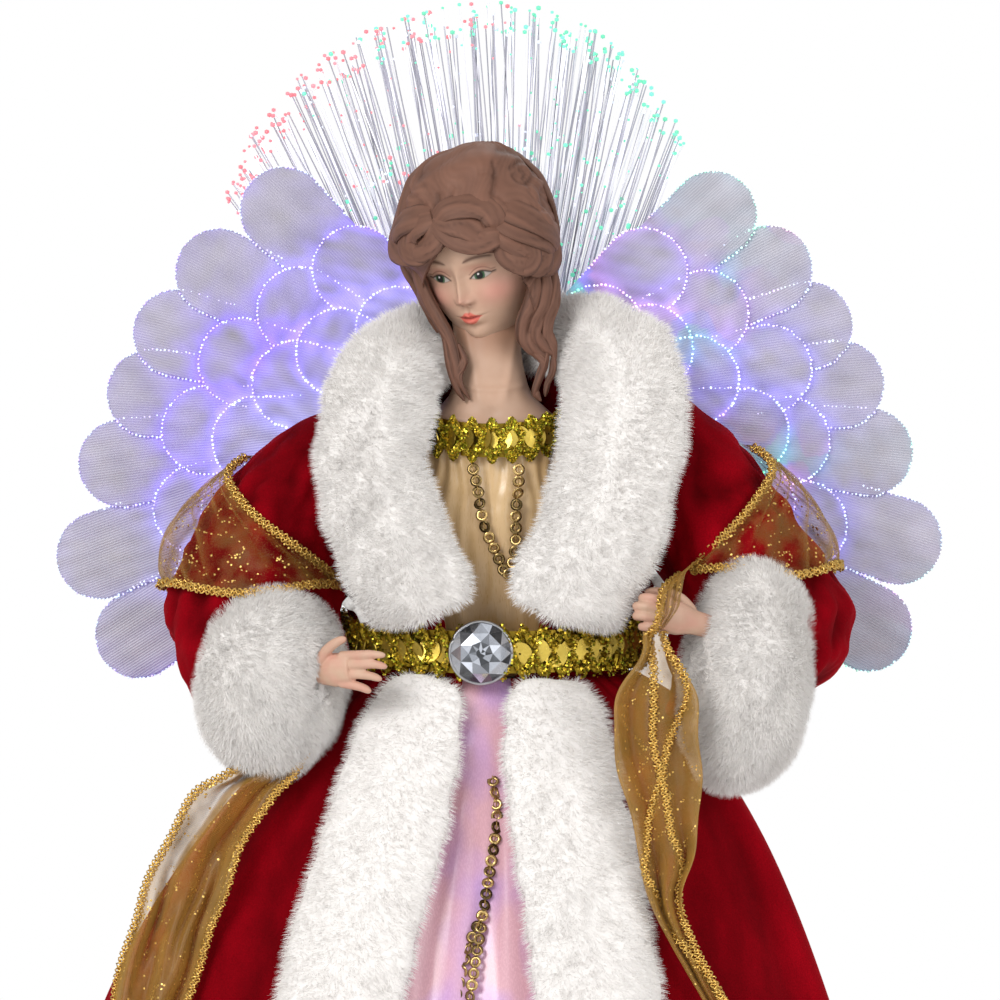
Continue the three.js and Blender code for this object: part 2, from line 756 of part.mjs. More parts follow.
function baseGroup() {
  const group = new THREE.Group();
  group.add(
    piece("base_housing", baseHousing(), finishes.mould),
    piece("base_lid", baseLid(), finishes.mould),
    piece("battery_cover", batteryCover(), finishes.mould),
    piece("switch_body", switchBody(), finishes.dark),
    piece("switch_knob", switchKnob(), finishes.dark),
    piece(
      "circuit_board",
      boxAt(
        -BOARD_HALF_WIDTH,
        BOARD_HALF_WIDTH,
        -BOARD_HALF_DEPTH,
        BOARD_HALF_DEPTH,
        boardBottom,
        boardBottom + BOARD_THICKNESS,
      ),
      finishes.board,
    ),
  );
  cellPlaces().forEach((x, i) => {
    const mesh = new THREE.Mesh(cell(), finishes.cell);
    mesh.name = `battery_cell_${i + 1}`;
    mesh.position.set(x, 0, cellHeight);
    group.add(mesh);
  });
  [["front_contact_strip", -1], ["rear_contact_strip", 1]].forEach(([name, side]) => {
    const mesh = new THREE.Mesh(contactStrip(side), finishes.steel);
    mesh.name = name;
    group.add(mesh);
  });
  ["left_wing_lamp", "halo_lamp", "right_wing_lamp"].forEach((name, i) => {
    const mesh = new THREE.Mesh(lamp(), finishes.lamp);
    mesh.name = name;
    mesh.position.set(lampPlaces[i], 0, boardBottom + BOARD_THICKNESS + SEAT);
    group.add(mesh);
  });
  return group;
}

// Skirts: the share of the way down from the waist is 0 at the waist and 1 at the hem.

const skirtDrop = WAIST_HEIGHT - HEM_HEIGHT;
const flare = (down, power) => 1 - (1 - down) ** power;
const downShares = steps(SKIRT_ROWS).map((share) => share ** 1.5);

function skirtHalfWidth(down, side) {
  return side > 0
    ? WAIST_HALF_WIDTH + HIP_SPREAD_RIGHT * flare(down, FLARE_HIP) + HEM_SPREAD_RIGHT * down
    : WAIST_HALF_WIDTH + HEM_SPREAD_LEFT * flare(down, FLARE_LEFT);
}

const skirtHalfDepth = (down) => WAIST_HALF_DEPTH + HEM_SPREAD_DEPTH * flare(down, FLARE_DEPTH);

// A point on a skirt. Turn 0 is the front and grows towards the right.
function skirtPoint(turn, down, inset, wave) {
  const reach = wave - inset;
  const x = (skirtHalfWidth(down, Math.sin(turn)) + reach) * Math.sin(turn);
  const y = -(skirtHalfDepth(down) + reach) * Math.cos(turn);
  return v3(x, y, WAIST_HEIGHT - down * skirtDrop);
}

const trimMiddle = (down, side) =>
  side > 0 ? TRIM_TOP_RIGHT + TRIM_SPREAD_RIGHT * down : -TRIM_TOP_LEFT - TRIM_SPREAD_LEFT * down;

const turnAt = (x, down) => Math.asin(x / skirtHalfWidth(down, x));

// The robe's soft pleats, which die out at the waist and along the front opening.
function robeWave(turn, down) {
  const front = Math.abs(turn > Math.PI ? 2 * Math.PI - turn : turn);
  const calm = THREE.MathUtils.smoothstep(front, 0.6, 1.3);
  const pleat = Math.cos(ROBE_FOLDS * turn + 1.3 * Math.sin(2 * turn));
  return ROBE_FOLD_DEPTH * calm * Math.sqrt(down) * pleat;
}

function robeFilled(grow) {
  const rings = downShares.map((down) =>
    turns(ROBE_COLUMNS).map((turn) => skirtPoint(turn, down, -grow, robeWave(turn, down))),
  );
  rings[0].forEach((point) => point.setZ(point.z + grow));
  return loft(rings);
}

function robeSkirt() {
  const grid = (inset) =>
    downShares.map((down) => {
      const start = turnAt(trimMiddle(down, 1) - TRIM_TUCK, down);
      const end = 2 * Math.PI + turnAt(trimMiddle(down, -1) + TRIM_TUCK, down);
      return steps(ROBE_COLUMNS).map((share) => {
        const turn = mix(start, end, share);
        return skirtPoint(turn, down, inset, robeWave(turn, down));
      });
    });
  return slab(grid(0), grid(ROBE_CLOTH));
}

// The underskirt's outside, which hugs the robe at the waist and hangs free below it.
function satinPoint(turn, down, inset = 0) {
  const settled = mix(ROBE_CLOTH + SOFT_GAP, UNDERSKIRT_INSET, Math.min(1, 4 * down));
  const wave = UNDERSKIRT_FOLD_DEPTH * down * Math.cos(UNDERSKIRT_FOLDS * turn);
  return skirtPoint(turn, down, settled + inset, wave);
}

function underskirt() {
  const rings = (inset) =>
    downShares.map((down) => turns(SATIN_COLUMNS).map((turn) => satinPoint(turn, down, inset)));
  return loft([...rings(0), ...rings(SATIN_CLOTH).reverse()], true);
}

// A strip of fur down one edge of the robe's front opening, rounded off at both ends.
function trimFilled(side, grow = 0) {
  const sizeShares = [0.8, 0.93, 0.98, 1, 1, 1, 0.9];
  const stations = sizeShares.map((size, i) => {
    const down = mix(TRIM_TOP_SHARE, TRIM_END_SHARE, i / (sizeShares.length - 1));
    const turn = turnAt(trimMiddle(down, side), down);
    const at = skirtPoint(turn, down, -TRIM_HALF_THICKNESS / 2, 0);
    const nearby = skirtPoint(turn + DEGREE, down, -TRIM_HALF_THICKNESS / 2, 0);
    return {
      at,
      across: nearby.sub(at).normalize(),
      wide: TRIM_HALF_WIDTH * size,
      thick: TRIM_HALF_THICKNESS * size,
    };
  });
  return sweep(stations, 10, FUR_SIDES, grow);
}

const frontTrim = (side, beltCutter) => cut(trimFilled(side), robeFilled(SOFT_GAP), beltCutter);

// Torso, bodices, head and collar

const torsoBottom = WAIST_HEIGHT + SEAT;
const plateBottom = TORSO_TOP_HEIGHT + SEAT;
const torsoShares = [
  [0, 0.87, 0.95],
  [0.35, 0.94, 0.98],
  [0.75, 1, 1],
  [1, 0.9, 0.94],
];

function torsoLevels() {
  return torsoShares.map(([rise, wide, deep]) => ({
    z: mix(torsoBottom, TORSO_TOP_HEIGHT, rise),
    halfWidth: TORSO_HALF_WIDTH * wide,
    halfDepth: TORSO_HALF_DEPTH * deep,
    y: -TORSO_FORWARD,
  }));
}

function satinLevels() {
  const levels = torsoLevels();
  const top = levels[levels.length - 1];
  return [...levels, { ...top, z: SATIN_TOP_HEIGHT, halfWidth: top.halfWidth - SATIN_CLOTH }];
}

const satinFilled = (grow) => stack(satinLevels(), BODY_SIDES, grow);

function satinBodice() {
  const rings = (grow) =>
    satinLevels().map(({ z, halfWidth, halfDepth, y }) =>
      oval(v3(0, y, z), v3(1, 0, 0), v3(0, 1, 0), halfWidth + grow, halfDepth + grow, BODY_SIDES),
    );
  return loft([...rings(SEAT + SATIN_CLOTH), ...rings(SEAT).reverse()], true);
}

// Head levels: rise from chin to crown, half width, half depth, forward reach and lean to the left
// as shares.
const headShares = [
  [0, 0.42, 0.42, 0.22, 0.5],
  [0.08, 0.66, 0.64, 0.2, 0.3],
  [0.2, 0.8, 0.84, 0.12, 0.32],
  [0.33, 0.88, 0.95, 0.04, 0.55],
  [0.44, 0.96, 1, 0, 0.93],
  [0.56, 0.95, 1, -0.03, 1],
  [0.7, 0.82, 0.9, -0.05, 0.8],
  [0.85, 0.64, 0.7, -0.06, 0.67],
  [0.93, 0.46, 0.5, -0.05, 0.67],
  [1, 0.18, 0.2, -0.04, 0.7],
];
// The two front locks of hair: how far out each starts beside the cheek and ends by the neck.
const lockShares = [
  [0.3, 0.27],
  [-0.3, -0.19],
];
// Shoulder plate levels: rise to the neck, then shares of the way from plate size to neck size.
const plateShares = [
  [0, 0],
  [0.4, 0.04],
  [0.75, 0.5],
  [1, 0.88],
  [1.25, 1],
];

function bustFilled(grow) {
  const plateHalfWidth = TORSO_HALF_WIDTH * 0.86;
  const plateHalfDepth = TORSO_HALF_DEPTH * 0.88;
  const plate = plateShares.map(([rise, narrow]) => ({
    z: plateBottom + PLATE_RISE * rise,
    halfWidth: mix(plateHalfWidth, NECK_RADIUS, narrow),
    halfDepth: mix(plateHalfDepth, NECK_RADIUS, narrow),
    y: -TORSO_FORWARD * (1 - narrow / 2),
  }));
  const neckTop = { ...plate[plate.length - 1], z: CHIN_HEIGHT + HEAD_HEIGHT / 4 };
  return stack([...plate, neckTop], BODY_SIDES, grow);
}

function headFilled(grow) {
  const levels = headShares.map(([rise, wide, deep, forward, lean]) => ({
    z: CHIN_HEIGHT + HEAD_HEIGHT * rise,
    halfWidth: (HEAD_WIDTH / 2) * wide,
    halfDepth: (HEAD_DEPTH / 2) * deep,
    x: -HEAD_OUT * lean,
    y: (-HEAD_DEPTH / 2) * forward,
  }));
  const lock = ([highOut, lowOut]) =>
    limb([
      [v3(highOut * HEAD_WIDTH, -NECK_RADIUS / 2, CHIN_HEIGHT + HEAD_HEIGHT / 4), LOCK_RADIUS + grow],
      [v3(lowOut * HEAD_WIDTH, -NECK_RADIUS / 2, CHIN_HEIGHT - LOCK_DROP), LOCK_RADIUS * 0.75 + grow],
    ]);
  return join(
    stack(levels, BODY_SIDES, grow),
    ...lockShares.map(lock),
  );
}

const shoulder = (side) => v3(side * SHOULDER_OUT, 0, SHOULDER_HEIGHT - (side < 0) * SHOULDER_DROP);

// Robe bodice levels: rise from the waist, half width and half depth as shares.
const bodiceShares = [
  [0, 0.88, 1],
  [0.35, 0.92, 0.97],
  [0.65, 1, 0.95],
  [0.84, 1, 0.85],
  [0.95, 0.82, 0.64],
  [1, 0.6, 0.48],
];

function bodiceFilled(grow) {
  return stack(
    bodiceShares.map(([rise, wide, deep]) => ({
      z: mix(WAIST_HEIGHT + SEAT, BODICE_TOP_HEIGHT, rise),
      halfWidth: BODICE_HALF_WIDTH * wide,
      halfDepth: BODICE_HALF_DEPTH * deep,
    })),
    BODY_SIDES,
    grow,
  );
}

// The round bore beside the body that a sleeve's cap turns in.
function armhole(side) {
  const inner = SHOULDER_OUT - SHOULDER_RADIUS - SOCKET_GAP;
  const depth = 2 * SHOULDER_RADIUS;
  const radius = SHOULDER_RADIUS + SOCKET_GAP;
  const geometry = new THREE.CylinderGeometry(radius, radius, depth, SLEEVE_SIDES);
  geometry.rotateZ(Math.PI / 2);
  geometry.translate(side * (inner + depth / 2), 0, shoulder(side).z);
  return solidOf(geometry);
}

// The wedge of the chest that the robe leaves open, wide at the top, less a margin at each side.
function chestOpening(margin) {
  const high = OPENING_HALF_WIDTH - margin;
  const low = high / 8;
  const wedge = new THREE.Shape([
    new THREE.Vector2(-low, WAIST_HEIGHT - OVERRUN),
    new THREE.Vector2(low, WAIST_HEIGHT - OVERRUN),
    new THREE.Vector2(high, TORSO_TOP_HEIGHT),
    new THREE.Vector2(high, BODICE_TOP_HEIGHT + OVERRUN),
    new THREE.Vector2(-high, BODICE_TOP_HEIGHT + OVERRUN),
    new THREE.Vector2(-high, TORSO_TOP_HEIGHT),
  ]);
  const depth = BODICE_HALF_DEPTH + OVERRUN;
  const geometry = new THREE.ExtrudeGeometry(wedge, { depth, bevelEnabled: false });
  geometry.rotateX(Math.PI / 2);
  return solidOf(geometry);
}

function robeBodice() {
  const slot = TRUNK_PITCH + TRUNK_RADIUS + SOFT_GAP;
  const backSlit = boxAt(
    -slot,
    slot,
    TORSO_HALF_DEPTH - TORSO_FORWARD,
    BODICE_HALF_DEPTH + OVERRUN,
    WAIST_HEIGHT - OVERRUN,
    POST_HEIGHT + POST_HALF_HEIGHT + SEAT,
  );
  return cut(
    bodiceFilled(0),
    satinFilled(SEAT * 2 + SATIN_CLOTH),
    bustFilled(SOFT_GAP),
    chestOpening(0),
    backSlit,
    armhole(-1),
    armhole(1),
  );
}

// Fur roll stations: out, forward and rise as shares, the roll's sideways direction,
// then its width and thickness as shares.
const collarShares = {
  left: [
    [0.47, 1, -0.05, 1, 0, 0.35, 0.95, 0.75],
    [0.61, 1.04, 0.12, 1, 0, 0.33, 0.97, 1],
    [0.81, 1.05, 0.3, 1, 0.2, 0.3, 0.97, 1],
    [0.96, 1, 0.52, 1, 0.35, 0.05, 0.97, 1],
    [0.97, 0.84, 0.73, 1, 0.4, -0.2, 0.92, 1],
    [0.83, 0.51, 0.9, 1, 0.1, 0.45, 0.84, 0.95],
    [0.66, 0.1, 0.97, 0.8, -0.2, 0.9, 0.74, 0.9],
    [0.44, -0.27, 1, 0.4, -0.3, 1, 0.7, 0.75],
    [0.2, -0.48, 1.01, 0.1, -0.1, 1, 0.68, 0.65],
    [0.01, -0.54, 1.01, 0, 0, 1, 0.66, 0.6],
  ],
  right: [
    [0.47, 1, -0.05, 1, 0, 0.35, 0.95, 0.75],
    [0.61, 1.04, 0.11, 1, 0, 0.33, 0.98, 1],
    [0.84, 1.05, 0.29, 1, 0.2, 0.3, 1.04, 1],
    [1, 1, 0.52, 1, 0.35, 0.05, 1.06, 1],
    [1.09, 0.84, 0.72, 1, 0.4, -0.2, 1.09, 1],
    [1.05, 0.53, 0.91, 1, 0.1, 0.45, 1.02, 0.95],
    [0.8, 0.1, 1.01, 0.8, -0.2, 0.9, 0.8, 0.9],
    [0.5, -0.27, 1.03, 0.4, -0.3, 1, 0.72, 0.75],
    [0.22, -0.48, 1.02, 0.1, -0.1, 1, 0.68, 0.65],
    [0.01, -0.54, 1.01, 0, 0, 1, 0.66, 0.6],
  ],
};

function collarHalf(side, grow = 0) {
  const stations = collarShares[sideName(side)].map(
    ([out, forward, rise, acrossX, acrossY, acrossZ, wide, thick]) => ({
      at: v3(
        side * COLLAR_REACH * out,
        -COLLAR_FORWARD * forward,
        BELT_MIDDLE + BELT_HEIGHT / 2 + COLLAR_RISE * rise,
      ),
      across: v3(side * acrossX, -acrossY, acrossZ).normalize(),
      wide: COLLAR_HALF_WIDTH * wide,
      thick: COLLAR_HALF_THICKNESS * thick,
    }),
  );
  return sweep(stations, 13, FUR_SIDES, grow);
}

// Everything on the far side of the middle, where a half collar must not reach.
function farSide(side) {
  const far = 2 * COLLAR_REACH;
  const span = side < 0 ? [-SEAT / 2, far] : [-far, SEAT / 2];
  return boxAt(...span, -far, far, WAIST_HEIGHT, WAIST_HEIGHT + 2 * COLLAR_RISE);
}

// Braids, jewel and sequins

// A flat band round the body, whose height climbs by a sag from its front to its back.
function band({ halfWidth, halfDepth, y = 0, thickness, height, middle, sag, columns }) {
  const rings = turns(columns).map((turn) => {
    const lift = sag * Math.sin(turn / 2) ** 2;
    const point = (reach, rise) =>
      v3(
        (halfWidth + reach) * Math.sin(turn),
        y - (halfDepth + reach) * Math.cos(turn),
        middle + lift + rise,
      );
    return [
      point(thickness / 2, -height / 2),
      point(thickness / 2, height / 2),
      point(-thickness / 2, height / 2),
      point(-thickness / 2, -height / 2),
    ];
  });
  return loft(rings, true);
}

function beltFilled(grow) {
  return band({
    halfWidth: BELT_HALF_WIDTH,
    halfDepth: BELT_HALF_DEPTH,
    thickness: BELT_THICKNESS + 2 * grow,
    height: BELT_HEIGHT + 2 * grow,
    middle: BELT_MIDDLE,
    sag: BELT_SAG,
    columns: ROUND - 6,
  });
}

// The braid across the neckline, which stays within the robe's opening.
function necklineBraid() {
  const ring = band({
    halfWidth: NECK_BRAID_HALF_WIDTH,
    halfDepth: NECK_BRAID_HALF_DEPTH,
    y: -TORSO_FORWARD,
    thickness: NECK_BRAID_THICKNESS,
    height: NECK_BRAID_HEIGHT,
    middle: NECK_BRAID_MIDDLE,
    sag: NECK_BRAID_SAG,
    columns: ROUND,
  });
  return cut(ring.intersect(chestOpening(SOFT_GAP)), bustFilled(SEAT), satinFilled(SEAT * 2 + SATIN_CLOTH));
}

function jewel() {
  const girdle = JEWEL_THICKNESS / 3;
  const stone = turned(
    [
      [0, 0],
      [JEWEL_RADIUS * 0.9, 0],
      [JEWEL_RADIUS, girdle],
      [JEWEL_RADIUS * 0.6, JEWEL_THICKNESS * 0.85],
      [JEWEL_RADIUS * 0.3, JEWEL_THICKNESS],
      [0, JEWEL_THICKNESS],
    ],
    12,
  );
  return geometryOf(stone).rotateX(Math.PI / 2);
}

// A string of sequins, as a strip that widens at each one. Route gives the seat's point and its
// outward direction at each share of the way.
function sequinString(route, length) {
  const count = Math.round(length / SEQUIN_PITCH);
  const rows = steps(2 * count + 1).map((share, i) => ({
    ...route(share),
    half: i % 2 === 0 ? SEQUIN_THREAD_WIDTH / 2 : SEQUIN_RADIUS,
  }));
  const grid = (lift) =>
    rows.map(({ at, out, half }, i) => {
      const before = rows[Math.max(i - 1, 0)].at;
      const after = rows[Math.min(i + 1, rows.length - 1)].at;
      const across = after.clone().sub(before).cross(out).normalize();
      const middle = at.clone().addScaledVector(out, lift);
      return [-half, half].map((reach) => middle.clone().addScaledVector(across, reach));
    });
  return slab(grid(SEQUIN_THICKNESS), grid(0));
}

// Both strings hang from the neckline braid and meet in a V at the bottom of the opening.
const bodiceSequinShares = {
  left: [[-0.2, 0.98], [-0.12, 0.8], [0, 0.62], [0.14, 0.44]],
  right: [[0.24, 0.98], [0.25, 0.8], [0.22, 0.62], [0.14, 0.44]],
};

function bodiceSequins() {
  const seat = -TORSO_FORWARD - TORSO_HALF_DEPTH - SEAT * 2 - SATIN_CLOTH;
  const chest = NECK_BRAID_MIDDLE - NECK_BRAID_HEIGHT / 2 - WAIST_HEIGHT;
  const strings = Object.values(bodiceSequinShares).map((places) => {
    const line = new THREE.CatmullRomCurve3(
      places.map(([out, rise]) => v3(TORSO_HALF_WIDTH * out, seat, WAIST_HEIGHT + chest * rise)),
    );
    return sequinString((share) => ({ at: line.getPointAt(share), out: v3(0, -1, 0) }), line.getLength());
  });
  return join(...strings);
}

// The skirt's strings: turn round the skirt in degrees, and share of the way down.
const skirtSequinShares = {
  long: [[0, 0.14], [1.2, 0.2], [-0.4, 0.27], [-2, 0.36], [-3.4, 0.46], [-5, 0.6]],
  short: [[-1.4, 0.335], [-3.6, 0.38], [-5.6, 0.46], [-7.4, 0.56]],
};

function skirtSequins() {
  const strings = Object.values(skirtSequinShares).map((places) => {
    const line = new THREE.CatmullRomCurve3(places.map(([turn, down]) => v3(turn * DEGREE, down, 0)));
    const seat = (turn, down) => satinPoint(turn, down, -SOFT_GAP);
    const route = (share) => {
      const { x: turn, y: down } = line.getPoint(share);
      const at = seat(turn, down);
      const aside = seat(turn + DEGREE, down).sub(at);
      const below = seat(turn, down + 0.01).sub(at);
      return { at, out: below.cross(aside).normalize() };
    };
    const length = steps(20).reduce(
      (sum, share, i, all) => sum + (i && route(share).at.distanceTo(route(all[i - 1]).at)),
      0,
    );
    return sequinString(route, length);
  });
  return join(...strings);
}

// Arms: stations from the shoulder to the hand, as shares of the arm's reach.

const armShares = {
  left: [
    [0, 0, 0],
    [0.24, 0.03, -0.26],
    [0.38, 0.12, -0.6],
    [0.34, 0.35, -0.86],
    [0.16, 0.58, -0.95],
    [-0.14, 0.76, -0.9],
  ],
  right: [
    [0, 0, 0],
    [0.28, 0.03, -0.28],
    [0.52, 0.1, -0.66],
    [0.56, 0.36, -0.86],
    [0.34, 0.6, -0.85],
    [0, 0.78, -0.75],
  ],
};
// Sleeve levels from the shoulder: rise, out and forward as shares of the arm's reach, then half
// width and half depth as shares of the sleeve's radius.
const sleeveShares = {
  left: [
    [0.26, -0.03, 0, 0.5, 0.5],
    [0, 0.07, 0, 0.97, 0.93],
    [-0.24, 0.22, 0.03, 1.05, 1.05],
    [-0.57, 0.34, 0.13, 1.11, 1.22],
    [-0.87, 0.32, 0.23, 1.07, 1.27],
    [-1.09, 0.28, 0.32, 0.82, 1],
    [-1.22, 0.25, 0.37, 0.4, 0.55],
  ],
  right: [
    [0.26, -0.03, 0, 0.5, 0.5],
    [0, 0.07, 0, 0.97, 0.93],
    [-0.32, 0.26, 0.03, 1.09, 1.05],
    [-0.7, 0.48, 0.12, 1.14, 1.18],
    [-0.98, 0.46, 0.2, 1.09, 1.22],
    [-1.18, 0.38, 0.28, 0.9, 1.05],
    [-1.31, 0.32, 0.33, 0.5, 0.6],
  ],
};

function armPoints(side) {
  return armShares[sideName(side)].map(([out, forward, rise]) =>
    shoulder(side).add(v3(side * ARM_REACH * out, -ARM_REACH * forward, ARM_REACH * rise)),
  );
}

function sleeveLevels(side) {
  return sleeveShares[sideName(side)].map(([rise, out, forward, wide, deep]) => ({
    x: side * (SHOULDER_OUT + ARM_REACH * out),
    y: -ARM_REACH * forward,
    z: shoulder(side).z + ARM_REACH * rise,
    halfWidth: SLEEVE_RADIUS * wide,
    halfDepth: SLEEVE_RADIUS * deep,
  }));
}

const sleeveFilled = (side, grow) => stack(sleeveLevels(side).reverse(), SLEEVE_SIDES, grow);

const capFilled = (side, grow) => ball(shoulder(side), SHOULDER_RADIUS + grow);

// The space beside the body that a sleeve keeps out of, but for its round cap in the armhole.
function besideBody(side) {
  const far = 2 * ARM_REACH;
  const span = side < 0 ? [-SLEEVE_INNER, far] : [-far, SLEEVE_INNER];
  return boxAt(...span, -far, far, SHOULDER_HEIGHT - far, SHOULDER_HEIGHT + far);
}

function wirePath(side) {
  const points = armPoints(side);
  const start = points[0].clone().lerp(points[1], 0.2);
  return [start, ...points.slice(1, 4), points[4].clone().lerp(points[5], 0.35)];
}

const wireFilled = (side, grow) => tube(wirePath(side), WIRE_RADIUS + grow, 10, TRUNK_SIDES);

function cuffFilled(side, grow) {
  const [, , , forearm, wrist, hand] = armPoints(side);
  const isLeft = side < 0;
  const along = hand.clone().sub(forearm).normalize();
  const halfLength = isLeft ? CUFF_LEFT_HALF_LENGTH : CUFF_RIGHT_HALF_LENGTH;
  const halfHeight = isLeft ? CUFF_LEFT_HALF_HEIGHT : CUFF_RIGHT_HALF_HEIGHT;
  const halfWidth = isLeft ? CUFF_LEFT_HALF_WIDTH : CUFF_RIGHT_HALF_WIDTH;
  const shift = isLeft ? v3(-CUFF_LEFT_OUT, 0, -CUFF_LEFT_DROP) : v3(-CUFF_RIGHT_IN, 0, -CUFF_RIGHT_DROP);
  const middle = forearm.clone().lerp(wrist, 0.6).add(shift);
  const bulgeShares = [0.62, 0.92, 1, 0.94, 0.66];
  const stations = bulgeShares.map((bulge, i) => ({
    at: middle.clone().addScaledVector(along, mix(-halfLength, halfLength, i / (bulgeShares.length - 1))),
    across: v3(0, 0, 1),
    wide: halfHeight * bulge,
    thick: halfWidth * bulge,
  }));
  return sweep(stations, 7, CUFF_SIDES, grow);
}

// An open hand: a palm, four fingers and a thumb. Each finger is [start, bend, tip] in palm shares.
const handShares = {
  left: {
    fingers: [
      [[1, 0, 0.72], [1.6, 0.06, 0.62], [2.2, 0.06, 0.4]],
      [[1, 0, 0.2], [1.7, 0.18, 0], [2, 0.3, -0.4]],
      [[0.95, 0, -0.32], [1.5, 0.24, -0.6], [1.75, 0.36, -1]],
      [[0.8, 0, -0.82], [1.2, 0.24, -1.2], [1.4, 0.36, -1.6]],
    ],
    thumb: [[0.3, -0.2, 0.7], [0.7, -0.3, 1.4], [1.1, -0.3, 1.8]],
  },
  right: {
    fingers: [
      [[0.9, 0.2, 0.75], [1.5, 0.5, 0.7], [1.2, 0.9, 0.6]],
      [[0.95, 0.2, 0.22], [1.6, 0.5, 0.12], [1.3, 0.9, 0.02]],
      [[0.9, 0.2, -0.3], [1.5, 0.5, -0.45], [1.2, 0.9, -0.55]],
      [[0.75, 0.2, -0.8], [1.3, 0.5, -1], [1.1, 0.9, -1.1]],
    ],
    thumb: [[0.2, 0, 0.7], [0.8, 0.2, 1.5], [1.4, 0.5, 1.4]],
  },
};

function handFilled(side, grow) {
  const [, , , , wrist, hand] = armPoints(side);
  const along = hand.clone().sub(wrist).normalize();
  const up = v3(0, 0, 1).addScaledVector(along, -along.z).normalize();
  const outward = up.clone().cross(along).multiplyScalar(-side);
  const heel = hand.clone().addScaledVector(along, -PALM_LENGTH);
  const place = ([reach, curl, rise]) =>
    heel
      .clone()
      .addScaledVector(along, PALM_LENGTH * reach)
      .addScaledVector(outward, FINGER_LENGTH * curl)
      .addScaledVector(up, PALM_RADIUS * rise);
  const palm = limb(
    [
      [place([-0.5, 0, 0]), PALM_RADIUS * 0.75 + grow],
      [place([0.3, 0, 0]), PALM_RADIUS * 0.95 + grow],
      [place([0.9, 0, 0]), PALM_RADIUS + grow],
    ],
    8,
  );
  const { fingers, thumb } = handShares[sideName(side)];
  const digits = [...fingers, thumb].map((joints) =>
    limb(joints.map((at, i) => [place(at), FINGER_RADIUS * (1 - 0.1 * i) + grow]), 5),
  );
  return join(palm, ...digits);
}

// The sleeve's level at a height, between its two nearest levels.
function sleeveLevelAt(side, z) {
  const levels = sleeveLevels(side);
  const above = levels.findLastIndex((level, i) => level.z >= z && i < levels.length - 1);
  const [upper, lower] = [levels[above], levels[above + 1]];
  const share = (upper.z - z) / (upper.z - lower.z);
  const blend = (key) => mix(upper[key], lower[key], share);
  return { x: blend("x"), y: blend("y"), halfWidth: blend("halfWidth"), halfDepth: blend("halfDepth") };
}

// Organza wrapped round the outside of the upper sleeve in soft pleats. Its front edge slants from
// the outer shoulder down towards the hand.
function shawlWrap(side) {
  const isLeft = side < 0;
  const ownShoulder = shoulder(side).z;
  const top = ownShoulder + (isLeft ? WRAP_RISE_LEFT : WRAP_RISE_RIGHT);
  const end = ownShoulder - (isLeft ? WRAP_FALL_LEFT : WRAP_FALL_RIGHT);
  const frontEnd = isLeft ? WRAP_FRONT_END_LEFT : WRAP_FRONT_END_RIGHT;
  const grid = (lift) =>
    steps(6).map((share) => {
      const z = mix(top, end, share);
      const { x, y, halfWidth, halfDepth } = sleeveLevelAt(side, z);
      return steps(11).map((turnShare) => {
        const pleat = WRAP_PLEAT * (0.5 - 0.5 * Math.cos(4 * Math.PI * turnShare)) * share;
        const turn = mix(mix(WRAP_FRONT_TOP, frontEnd, share), WRAP_BACK, turnShare) * DEGREE;
        const reach = WRAP_GAP + lift + pleat;
        return v3(
          x + side * (halfWidth + reach) * Math.sin(turn),
          y - (halfDepth + reach) * Math.cos(turn),
          z,
        );
      });
    });
  return slab(grid(SHAWL_CLOTH), grid(0));
}

// Hanging ends: drop, left edge, right edge and forward reach as shares.
const tailShares = {
  left: [
    [0, -0.04, 0.16, 0.58],
    [0.09, -0.42, 0.02, 0.6],
    [0.16, -0.64, -0.14, 0.62],
    [0.38, -0.88, -0.38, 0.65],
    [0.62, -1.07, -0.58, 0.7],
    [0.76, -1.12, -0.66, 0.76],
    [0.9, -1.03, -0.68, 0.85],
    [1, -0.86, -0.7, 0.93],
  ],
  right: [
    [0, -0.14, 0.02, 0.8],
    [0.06, -0.16, 0.06, 0.84],
    [0.16, -0.34, 0.22, 0.9],
    [0.3, -0.3, 0.25, 0.93],
    [0.48, -0.18, 0.2, 0.93],
    [0.6, -0.11, 0.12, 0.92],
    [0.72, 0.07, 0.2, 0.92],
    [0.87, 0.32, 0.45, 0.93],
    [1, 0.45, 0.58, 0.96],
  ],
};

function shawlTail(side) {
  const [, , , , wrist, hand] = armPoints(side);
  const isLeft = side < 0;
  const drop = isLeft ? TAIL_LEFT_DROP : TAIL_RIGHT_DROP;
  const spread = isLeft ? TAIL_LEFT_SPREAD : TAIL_RIGHT_SPREAD;
  const top = isLeft ? wrist.z - CUFF_LEFT_HALF_HEIGHT * 0.7 : hand.z - PALM_RADIUS;
  const middle = isLeft ? wrist.x : hand.x;
  const shares = tailShares[sideName(side)];
  const edges = new THREE.CatmullRomCurve3(shares.map(([, ...edge]) => v3(...edge)));
  const drops = new THREE.CatmullRomCurve3(shares.map(([down]) => v3(down, 0, 0)));
  const grid = (back) =>
    steps(11).map((share) => {
      const { x: low, y: high, z: forward } = edges.getPoint(share);
      const down = drops.getPoint(share).x;
      return steps(7).map((across) => {
        const pleat = SHAWL_PLEAT * Math.sin(across * 4 * Math.PI + 2 * down) * Math.min(1, 5 * (high - low));
        const x = middle + spread * mix(low, high, across);
        return v3(x, -(ARM_REACH * forward) - pleat + back, top - drop * down);
      });
    });
  return slab(grid(0), grid(SHAWL_CLOTH));
}

// Wings, clamp and halo

